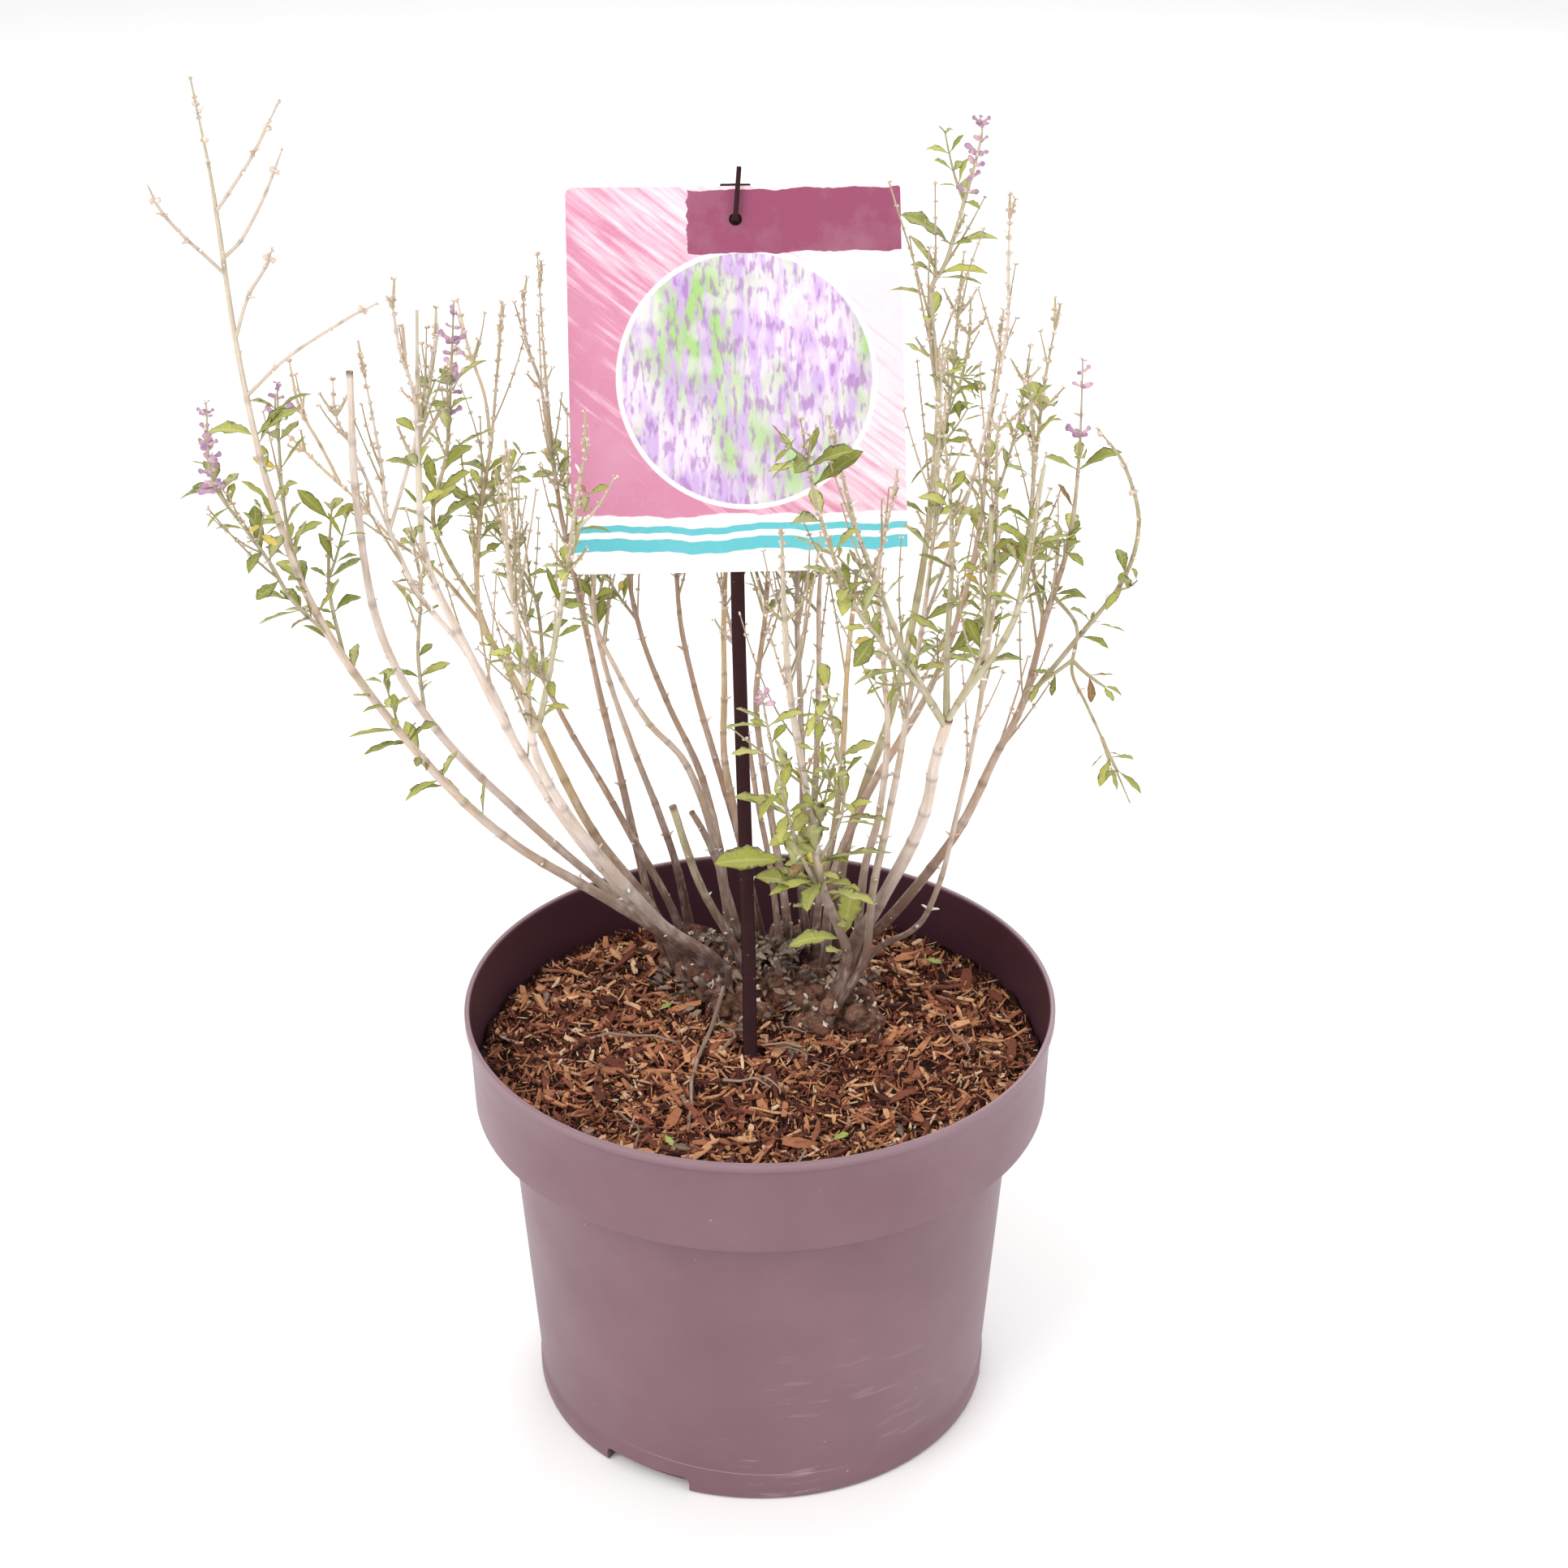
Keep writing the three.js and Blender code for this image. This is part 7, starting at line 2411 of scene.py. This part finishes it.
@dataclass
class Pot:
    """The moulded pot, with its rim band, lip and drain notches."""

    shop: Workshop
    sides: int = 176
    notches: int = 3
    notch: tuple[tuple[float, float], ...] = (
        (-19, -7), (19, -7), (19, 4.8), (18.4, 6.4), (16.8, 7), (-16.8, 7), (-18.4, 6.4),
        (-19, 4.8))
    foot: tuple[tuple[float, float], ...] = (
        (0, 0.9), (62, 0.9), (64, 0), (90.4, 0), (91.5, 0.4), (92.1, 1.1), (92.3, 1.9), (92.35, 5))
    band: tuple[tuple[float, float], ...] = (
        (111.4, 134.5), (112.2, 134.7), (112.7, 135.2), (112.9, 136.1), (113.15, 146),
        (113.5, 158), (113.9, 169.6), (114.4, 170.6), (115.1, 171.2), (115.4, 172.1),
        (115.4, 174.1), (115.15, 174.8), (114.7, 175), (113.8, 175), (113.45, 174.7),
        (113.25, 173.6), (113.0, 170), (111.3, 138.4), (111.0, 137.2), (110.4, 136.5))

    def _profile(self) -> list[tuple[float, float]]:
        """The outline, from the middle of the base up outside and down inside."""
        neck, inner = NECK_RADIUS, body_radius(FLOOR) - WALL
        outline = [*self.foot, (body_radius(9) + 0.6, 8.7), (body_radius(9.6) + 0.15, 9.6)]
        outline += [(body_radius(z), z) for z in (14, 30, 50, 70, 90, 110, 126)]
        outline += [(neck - 0.3, 132.8), (neck, 134), (neck + 0.8, 134.5), *self.band]
        for radius in (109, 106.4, 103.8, 101.2):
            outline += [(radius + 0.5, 136.3), (radius + 0.3, 136.0), (radius - 0.3, 136.0),
                        (radius - 0.5, 136.3)]
        return outline + [(99.4, 136.2), (98.5, 135.6), (98.2, 134.6), (inner, FLOOR + 1),
                          (inner - 1, FLOOR), (0, FLOOR)]

    @staticmethod
    def _inside(x: float, y: float, z: float) -> float:
        """Tells with 1 or 0 whether a point of the pot is on its inner side."""
        radius = hypot(x, y)
        if z > BAND_FOOT + 0.7:
            return float(radius < 113.9 - (POT_HEIGHT - z) * 0.04 - 0.4 and z < POT_HEIGHT - 0.5)
        return float(z > 2 and radius < body_radius(z) - 0.9)

    def build(self) -> None:
        """Turns the outline and cuts the notches."""
        pot = sheet("pot_shell_whole", *turned(self._profile(), self.sides))
        tidy_mesh(pot)
        count, cutters = len(self.notch), []
        for number in range(self.notches):
            ring = [(*turn_by(radians(-120 + 120 * number), out, side), height)
                    for out in (BASE_RADIUS - 7, BASE_RADIUS + 7) for side, height in self.notch]
            cutters.append(sheet(f"notch_{number}", ring, [
                tuple(reversed(range(count))), tuple(range(count, 2 * count)),
                *skinned([range(count), range(count, 2 * count)])]))
            tidy_mesh(cutters[-1], smooth=False)
        shell = combined(pot, "DIFFERENCE", cutters, "pot_shell", 32)
        # Marks the inner side, where the plastic's finish paints shade
        give(shell.data, "inside", [self._inside(*(value / MM for value in vertex.co))
                                    for vertex in shell.data.vertices])
        settle(shell, "pot", self.shop.finish["plum_plastic"], "pot")


# The burls of the rootstock: centre and radius, and their height as a share of their width
BURLS = ((4, 46, 146, 27), (-24, 58, 147, 19), (28, 38, 148, 18), (18, 68, 148, 17),
         (-29, 77, 148, 12), (36, 20, 150, 15), (-10, 29, 152, 14))
BURL_HEIGHT = 0.85


def ground_height(x: float, y: float) -> float:
    """Height of what lies uppermost at a place: the mulch or the rootstock.

    Args:
        x: How far across it lies.
        y: How far back it lies.

    Returns:
        The height, in millimetres.
    """
    heights = [soil_height(x, y)]
    for burl_x, burl_y, burl_z, radius in BURLS:
        inside = radius ** 2 - (x - burl_x) ** 2 - (y - burl_y) ** 2
        if inside > 0:
            heights.append(burl_z + BURL_HEIGHT * math.sqrt(inside))
    return max(heights)


def near_crown(dice: random.Random, nearest: float, farthest: float) -> Spot:
    """Draws a place round the rootstock: across, back, and its turn."""
    angle, out = dice.uniform(0, FULL_TURN), dice.uniform(nearest, farthest)
    return 3 + out * cos(angle), 42 + out * sin(angle) * 0.85, angle


@dataclass
class Mulch:
    """The bed of shredded bark, with loose chips, dry leaves and small dead twigs on it."""

    shop: Workshop
    rings: int = 40
    sectors: int = 150
    reach: float = 110.7
    scraps: tuple[Ball, ...] = (
        (-41, 23, 7, 0.7), (-36, -64, 9, -1.2), (26, -70, 8, 0.5), (68, 60, 9, -0.6),
        (30, 18, 6, 1.9))

    def _circle(self, radius: float) -> list[tuple[float, float]]:
        """Places on a circle, one for each sector."""
        return [polar(FULL_TURN * sector / self.sectors, radius) for sector in range(self.sectors)]

    def _surface(self, reach: float, drop: float, open_ground: bool) -> tuple[list, list]:
        """The upper surface of the mulch, in rings. It goes under the bare shelf of the pot.

        Args:
            reach: Its radius.
            drop: How far it lies below the solid's.
            open_ground: Whether the stretch under the bare shelf is left out.

        Returns:
            Its corners and faces.
        """
        points = [(0.0, 0.0, soil_height(0, 0) - drop)]
        bare, faces = [False], []
        radii = [97.6 * ring / self.rings for ring in range(1, self.rings + 1)]
        radii = [radius for radius in radii + [98.9, 101.5, 104.2, 107.0, 109.4]
                 if radius < reach - 0.4] + [reach]
        for radius in radii:
            for x, y in self._circle(radius):
                rough = noise.fractal(Vector((x, y, 0)) * 0.09, 1.0, 2.0, 4) * 2.2
                height = soil_height(x, y) - drop + rough * smoothstep(reach - radius, 0, 5)
                bare.append(radius > 98 and height < SHELF)
                points.append((x, y, SHELF - 0.25 if bare[-1] else height))
        for sector in range(self.sectors):
            after = (sector + 1) % self.sectors
            faces.append((0, 1 + sector, 1 + after))
            for here in range(1, 1 + (len(radii) - 1) * self.sectors, self.sectors):
                there = here + self.sectors
                face = (here + sector, there + sector, there + after, here + after)
                if not (open_ground and any(bare[corner] for corner in face)):
                    faces.append(face)
        return points, faces

    def _bed(self) -> None:
        """The closed body of the mulch, down to the pot's floor."""
        points, faces = self._surface(self.reach, 1.6, False)
        last = len(points) - self.sectors
        for radius, height in ((self.reach, SHELF - 0.5), (97.8, SHELF - 0.5), (97.8, BAND_FOOT),
                               (body_radius(FLOOR) - WALL - 0.35, 3.5)):
            start = len(points)
            points += [(x, y, height) for x, y in self._circle(radius)]
            for sector in range(self.sectors):
                after = (sector + 1) % self.sectors
                faces.append((last + sector, start + sector, start + after, last + after))
            last = start
        faces.append(tuple(range(len(points) - 1, len(points) - 1 - self.sectors, -1)))
        bed = sheet("mulch_bed", points, faces)
        tidy_mesh(bed)
        settle(bed, "mulch", self.shop.finish["dark_crumbs"], "mulch")

    def _chips(self, name: str, reach: float, count: int, smallest: float, largest: float,
               **values: Any) -> None:
        """Scatters splinters of one size over the mulch.

        Args:
            name: Its name.
            reach: Its radius.
            count: How many there are.
            smallest: The least size.
            largest: The greatest size.
            **values: Further inputs of the tree.
        """
        ground = sheet(name + "_ground", *self._surface(reach, 1.2, True))
        self.shop.chips.apply(
            ground, Shapes=self.shop.families[Family.CHIPS],
            Finish=self.shop.finish["shredded_bark"], Density=count / (pi * (reach * MM) ** 2),
            Smallest=(smallest * MM, smallest * MM * 0.8, smallest * MM * 0.7),
            Largest=(largest * MM, largest * MM * 0.9, largest * MM * 0.8), **values)
        settle(harvest(ground, name), "mulch", None)

    def _litter(self) -> None:
        """Dry curled leaves and a few green scraps, mostly round the rootstock."""
        dice = random.Random(77)
        litter = Sprouts(Family.LEAVES)
        for number in range(270):
            if number < 252:
                x, y, angle = near_crown(dice, 4, 44)
            else:
                angle, out = dice.uniform(0, FULL_TURN), 100 * math.sqrt(dice.random())
                x, y = polar(angle, out)
            if hypot(x, y) > 100:
                continue
            size = dice.uniform(4, 9)
            aim = unit(vec(*polar(angle * 5), dice.uniform(-0.1, 0.45)))
            up = unit(vec(dice.uniform(-0.7, 0.7), dice.uniform(-0.7, 0.7), 1.0))
            root = vec(x, y, ground_height(x, y) + dice.uniform(0.2, 2.0))
            tint = dice.uniform(0, 0.8)
            litter.add(root, aim, up, (size, size * 0.42, size * dice.uniform(0.4, 1.0)), tint,
                       dice.choice((0, 1, 1, 4, 5)), dice.uniform(-2, 3))
        for x, y, size, turn in self.scraps:
            litter.add(vec(x, y, soil_height(x, y) + 2.6), unit(vec(*polar(turn), 0.08)),
                       vec(0.1, -0.3, 1.0), (size, size * 0.36, size * 0.4), 0.96, 0)
        settle(litter.build("leaf_litter", self.shop, "dry_leaf"), "leaf", None)

    def _dead_twigs(self) -> None:
        """Thin dead twigs that lie on the mulch."""
        dice = random.Random(5)
        twigs = Strands()
        lying = [((-17, 23), (-30, -62), 0.9), ((-65, 6), (-31, -1), 0.6),
                 ((14, -74), (13.5, -100), 0.5)]
        for _ in range(9):
            start = polar(dice.uniform(0, FULL_TURN), dice.uniform(14, 92))
            step = polar(dice.uniform(0, FULL_TURN), dice.uniform(8, 26))
            end = (start[0] + step[0], start[1] + step[1])
            if hypot(*end) < 101:
                lying.append((start, end, dice.uniform(0.3, 0.6)))
        for start, end, radius in lying:
            points = []
            for share in (step / 5 for step in range(6)):
                x, y = blend(start, end, share)
                x += 2.6 * sin(share * 6 + start[0])
                y += 1.2 * sin(share * 4 + start[1])
                points.append(vec(x, y, ground_height(x, y) + radius + 2.2))
            tint = blend(FOOT_BARK, DRY_BARK, 0.2 + 0.4 * dice.random())
            twigs.add(points, [radius * (1.1 - 0.1 * step) for step in range(6)], [tint] * 6)
        settle(twigs.build("dead_twigs", self.shop), "bark", None)

    def build(self) -> None:
        """Makes the bed and what lies on it."""
        self._bed()
        self._chips("chips_large", 104, 330, 6, 15, Seed=3, Tilt=0.4, Pile=0.0028, Lightest=0.95)
        self._chips("chips_medium", 107, 3900, 2.8, 8.2, Seed=17, Tilt=0.7, Pile=0.0018,
                    Lightest=0.99)
        self._chips("chips_fine", 109, 7200, 1.2, 3.6, Seed=29, Tilt=1.4, Pile=0.0015,
                    Lightest=1.0)
        self._litter()
        self._dead_twigs()


@dataclass
class Rootstock:
    """The woody rootstock: burls half out of the mulch, with knobs on them."""

    shop: Workshop
    knobs: int = 150
    tufted: int = 56
    grain: float = 0.00095
    front_knobs: tuple[Ball, ...] = (
        (-15.5, 19, 157, 5.2), (6, 34, 160, 6.4), (17, 24, 158, 5.6), (-18.5, 36, 160, 6.2),
        (16, 10, 154, 4.4), (10, 26, 158.5, 5.4), (-4, 28, 159, 5.6), (-10, 28, 160, 5),
        (22, 18, 156, 5), (1, 19, 155, 4.8), (-25, 44, 160, 6), (24, 28, 159, 5.4),
        (-8, 18, 154, 4.4), (30, 14, 157, 5.4), (24, 8, 155, 5), (28, 9, 163, 4.4),
        (-22, 30, 156, 4.6), (-30, 48, 157, 5.4))

    def _balls(self, dice: random.Random) -> list[Ball]:
        """The burls, slightly smaller, with knobs scattered over them and others in front.

        Args:
            dice: The random numbers.

        Returns:
            The middle and radius of each.
        """
        balls = [(x, y, z, r * 0.84) for x, y, z, r in BURLS] + list(self.front_knobs)
        for _ in range(self.knobs):
            x, y, z, r = dice.choice(BURLS)
            turn, lift = dice.uniform(0, FULL_TURN), dice.uniform(0.1, 1.4)
            size = dice.uniform(2.4, 6.0)
            out = r - size * 0.45
            balls.append((x + out * cos(turn) * cos(lift), y + out * sin(turn) * cos(lift),
                          z + out * sin(lift) * BURL_HEIGHT, size))
        return balls

    def _stubs(self) -> None:
        """Short dead stubs that stick out of the rootstock, some with a pale cut."""
        dice = random.Random(31)
        stubs = Strands()
        for _ in range(34):
            x, y, _turn = near_crown(dice, 4, 30)
            foot = vec(x, y, ground_height(x, y) - 3)
            aim = unit(vec((x - 3) * 0.03 + dice.uniform(-0.5, 0.5),
                           (y - 42) * 0.03 + dice.uniform(-0.5, 0.3), 1.0))
            length, radius = dice.uniform(6, 15), dice.uniform(0.6, 1.9)
            tint = blend(DARK_FOOT, GREY_FOOT, dice.random() ** 2)
            stubs.add([foot + aim * length * share for share in (0, 0.4, 0.8, 1.0)],
                      [radius * share for share in (1.3, 1.0, 0.9, 0.7)],
                      [tint, tint, tint, blend(tint, PALE_PATCH, dice.random() * 0.3)],
                      stout=radius > 1.2)
        settle(stubs.build("crown_stubs", self.shop), "crown", None)

    def _tufts(self, knobs: Sequence[Ball]) -> None:
        """White scaly tufts, the remains of buds, on the knobs.

        Args:
            knobs: The knobs: middle and radius.
        """
        dice = random.Random(8)
        tufts = Sprouts(Family.PODS)
        for x, y, z, r in knobs[:self.tufted]:
            turn = dice.uniform(0, FULL_TURN)
            out = vec(cos(turn) * 0.6, sin(turn) * 0.6 - 0.3, 0.8 * BURL_HEIGHT)
            spot = vec(x, y, z) + unit(out) * r * 0.95
            for _ in range(5):
                aim = unit(out + vec(*(dice.uniform(-1, 1) for _ in range(3))))
                size = dice.uniform(0.9, 2.3)
                tufts.add(spot, aim, vec(0.1, -0.9, 0.3), (size,) * 3, dice.uniform(0, 0.8), 2)
        settle(tufts.build("crown_tufts", self.shop, "dry_calyx"), "crown", None)

    @staticmethod
    def _painted_shade_between_knobs(crown: Object, knobs: Sequence[Ball]) -> np.ndarray:
        """Tells for each point, from 0 to 1, how deep it lies between the knobs, which sets the
        painted shade there.
        """
        spots = np.array([vertex.co for vertex in crown.data.vertices]) / MM
        squash = (1, 1, BURL_HEIGHT)
        gaps = np.sort([np.abs(np.linalg.norm((spots - (x, y, z)) / squash, axis=1) - r)
                        for x, y, z, r in knobs], axis=0)
        return np.clip(np.maximum((gaps[0] - 0.7) / 1.2, 1 - gaps[1] / 1.3), 0, 1)

    def build(self) -> None:
        """Merges the balls into one lumpy body."""
        shape = bmesh.new()
        balls = self._balls(random.Random(12))
        for *centre, r in balls:
            place = Matrix.Translation([value * MM for value in centre]) @ Matrix.Diagonal(
                (1, 1, BURL_HEIGHT, 1))
            bmesh.ops.create_icosphere(shape, subdivisions=3, radius=r * MM, matrix=place)
        carrier = baked(shape, "rootstock_balls")
        remesh = carrier.modifiers.new("merge", "REMESH")
        remesh.mode, remesh.voxel_size = "VOXEL", self.grain
        carrier.modifiers.new("soften", "SMOOTH").iterations = 1
        crown = harvest(carrier, "rootstock")
        outward = [Vector(normal.vector) for normal in crown.data.vertex_normals]
        for vertex, normal in zip(crown.data.vertices, outward):
            spot = vertex.co / MM
            lump = noise.fractal(spot * 0.3, 1.0, 2.1, 4) * 0.8
            crease = max(0.2 - abs(noise.noise(spot * 0.3)), 0) * 5
            vertex.co += normal * (lump - crease) * MM
        crown.data.update()
        crown.data.shade_smooth()
        # Painted shade between the knobs
        give(crown.data, "hollow_shade", self._painted_shade_between_knobs(crown, balls[len(BURLS):]))
        settle(crown, "crown", self.shop.finish["rootstock_wood"], "crown")
        self._stubs()
        self._tufts(balls[len(BURLS):])


@dataclass
class Label:
    """The bowed picture label and the stake that it hangs on."""

    shop: Workshop
    columns: int = 56
    rows: int = 64
    corner: float = 3.0
    stake_sides: int = 24

    @staticmethod
    def _stand(x: float, y: float, z: float) -> Point:
        """A point of the label's own frame: right, up along the card, and out of its face."""
        return STAKE_FOOT + vec(x, 0, 0) + CARD_UP * y + CARD_OUT * z

    def _flat_card(self) -> Object:
        """The card before it is bowed: a sheet with rounded corners."""
        half_t, shape = CARD_THICKNESS / 2 * MM, bmesh.new()
        straight = (CARD_WIDTH / 2 - self.corner, CARD_HEIGHT / 2 - self.corner)
        bmesh.ops.create_grid(shape, x_segments=self.columns, y_segments=self.rows, size=0.5)
        for vertex in shape.verts:
            place = [vertex.co.x * CARD_WIDTH, vertex.co.y * CARD_HEIGHT]
            over = [abs(value) - side for value, side in zip(place, straight)]
            if min(over) > 0:
                scale = max(over) / hypot(*over)
                place = [math.copysign(side + past * scale, value)
                         for value, side, past in zip(place, straight, over)]
            vertex.co = Vector((place[0] * MM, place[1] * MM, half_t))
        for item in bmesh.ops.extrude_face_region(shape, geom=list(shape.faces))["geom"]:
            if isinstance(item, bmesh.types.BMVert):
                item.co.z = -half_t
        bmesh.ops.recalc_face_normals(shape, faces=shape.faces)
        return baked(shape, "card_flat")

    def _card(self) -> None:
        """The card: the flat sheet with its hole, which is then bowed."""
        flat = self._flat_card()
        points, faces = turned([(0, -3), (CARD_HOLE_RADIUS, -3), (CARD_HOLE_RADIUS, 3), (0, 3)], 40)
        lift = CARD_HEIGHT / 2 - CARD_HOLE_DROP
        side = STAKE_SWAY - CARD_SHIFT[0] + lift * sin(CARD_TURN)
        punch = sheet("punch", [(x + side, y + lift, z) for x, y, z in points], faces)
        tidy_mesh(punch)
        card = combined(flat, "DIFFERENCE", [punch], "label_sheet")
        mesh = card.data
        give(mesh, "printed", [float(face.normal.z > 0.7) for face in mesh.polygons], "FACE")
        give(mesh, "card_u", [vertex.co.x / MM / CARD_WIDTH + 0.5 for vertex in mesh.vertices])
        give(mesh, "card_v", [vertex.co.y / MM / CARD_HEIGHT + 0.5 for vertex in mesh.vertices])
        for vertex in mesh.vertices:
            x, y, z = (value / MM for value in vertex.co)
            bow = CARD_BOW * (x / (CARD_WIDTH / 2)) ** 2
            right, up = turn_by(CARD_TURN, x, y)
            place = CARD_MIDDLE + vec(right, 0, 0) + CARD_UP * up + CARD_OUT * (z + bow)
            vertex.co = Vector(place * MM)
        mesh.set_sharp_from_angle(angle=radians(40))
        settle(card, "card", self.shop.finish["printed_sheet"], "label_card")

    def _bar(self, name: str, centre: Spot, size: Spot, round_off: float = 0.5,
             turn: float = 0.0) -> Object:
        """A bar of the hook with rounded edges.

        Args:
            name: Its name.
            centre: Its middle, from the peg through the label's hole, before its turn.
            size: Its width, height and depth.
            round_off: How far its edges are rounded.
            turn: Its turn about the peg, as seen from the front.

        Returns:
            The bar.
        """
        shape = bmesh.new()
        bmesh.ops.create_cube(shape, size=1.0)
        for vertex in shape.verts:
            x, y, z = (centre[axis] + vertex.co[axis] * size[axis] for axis in range(3))
            right, up = turn_by(turn, x, y)
            vertex.co = Vector(self._stand(STAKE_SWAY + right, PEG_RISE + up, z) * MM)
        bmesh.ops.bevel(shape, geom=list(shape.edges), offset=round_off * MM, segments=3,
                        profile=0.5, affect="EDGES")
        return baked(shape, name)

    def _stake(self) -> None:
        """The stake: a flat rod with round sides and a point, and its cross bar and hook."""
        sides = self.stake_sides
        stations = [(-STAKE_SUNK, 0.32), (-STAKE_SUNK + 1, 0.38)]
        stations += [(-STAKE_SUNK + 35 * share, 0.38 + 0.62 * share) for share in (0.4, 0.75, 1.0)]
        stations += [(rise, 1.0) for rise in range(0, 340, 17)]
        stations += [(STAKE_RISE - 0.8, 1.0), (STAKE_RISE, 0.82)]
        points = []
        for rise, scale in stations:
            for side in range(sides):
                c, s = polar(FULL_TURN * side / sides)
                x = math.copysign(abs(c) ** 0.6, c) * STAKE_WIDTH / 2 * scale + sway(rise)
                z = math.copysign(abs(s) ** 0.6, s) * STAKE_DEPTH / 2 * scale
                points.append(self._stand(x, rise, z))
        rings = [range(start, start + sides) for start in range(0, len(points), sides)]
        rod = sheet("stake_rod", points,
                    skinned(rings) + [tuple(reversed(rings[0])), tuple(rings[-1])])
        tidy_mesh(rod)
        parts = [self._bar("stake_bar", (0, STAKE_RISE - 1.3 - PEG_RISE, 0), (12, 2.6, 2.7)),
                 self._bar("stake_peg", (0, 0, 2.6), (2.6, 2.6, 6.2), 0.4),
                 self._bar("stake_prong", (0, HOOK_RISE / 2 - 1, 5.3), (1.9, HOOK_RISE, 1.6), 0.3,
                           radians(-4.5))]
        stake = combined(rod, "UNION", parts, "label_rod", 38)
        settle(stake, "stake", self.shop.finish["stake_plastic"], "label_stake")

    def build(self) -> None:
        """Makes the stake and the card."""
        self._stake()
        self._card()


@dataclass
class Studio:
    """The floor, the soft lights and the camera, which stands where the photograph's did."""

    shop: Workshop
    floor_reach: float = 6000.0
    eye: Spot = (0.0, -0.8961, 0.7276)
    pitch: float = radians(-27.18)
    yaw: float = radians(0.60)
    focal: float = 3300.0
    frame_size: float = 1932.0
    sensor: float = 36.0

    def _light(self, name: str, place: Spot, size: float, power: float,
               tone: Spot = (1, 1, 1)) -> None:
        """A square area light that faces the middle of the plant.

        Args:
            name: Its name.
            place: Where it stands, in metres.
            size: The size, in millimetres.
            power: Its power, in watts.
            tone: Its colour.
        """
        data = bpy.data.lights.new(name, "AREA")
        data.shape, data.size, data.energy, data.color = "SQUARE", size, power, tone
        lamp = bpy.data.objects.new(name, data)
        lamp.location = place
        aim = Vector((0, 0, 0.25)) - Vector(place)
        lamp.rotation_euler = aim.to_track_quat("-Z", "Y").to_euler()
        bpy.context.scene.collection.objects.link(lamp)

    def build(self) -> None:
        """Sets up the floor, the lights, the world and the camera."""
        reach = self.floor_reach
        floor = sheet("studio_floor", [(-reach, -reach, 0), (reach, -reach, 0), (reach, reach, 0),
                                       (-reach, reach, 0)], [(0, 1, 2, 3)])
        floor.data.materials.append(self.shop.finish["studio_floor"])
        self._light("key", (-1.5, -1.4, 2.0), 1.6, 42, (1.0, 0.985, 0.965))
        self._light("fill", (1.7, -1.3, 1.2), 2.0, 16)
        self._light("back", (0.4, 1.8, 1.9), 1.6, 26)
        scene = bpy.context.scene
        scene.world = bpy.data.worlds.new("studio_white")
        scene.world.use_nodes = True
        sky = scene.world.node_tree.nodes["Background"].inputs
        sky[0].default_value, sky[1].default_value = (1, 1, 1, 1), 0.85
        scene.view_settings.view_transform = "Standard"
        data = bpy.data.cameras.new("photo_camera")
        data.sensor_width, data.clip_end = self.sensor, 40
        data.lens = self.sensor * self.focal / self.frame_size
        scene.camera = bpy.data.objects.new("photo_camera", data)
        scene.camera.location = self.eye
        scene.camera.rotation_euler = (pi / 2 + self.pitch, 0, -self.yaw)
        scene.collection.objects.link(scene.camera)


def main() -> None:
    """Builds the pieces in order."""
    logging.basicConfig(level=logging.INFO, format="%(message)s")
    shop = Workshop()
    Studio(shop).build()
    for part in (Pot(shop), Mulch(shop), Rootstock(shop), Label(shop), Plant(shop)):
        part.build()
    shop.clear()


if __name__ == "__main__":
    main()
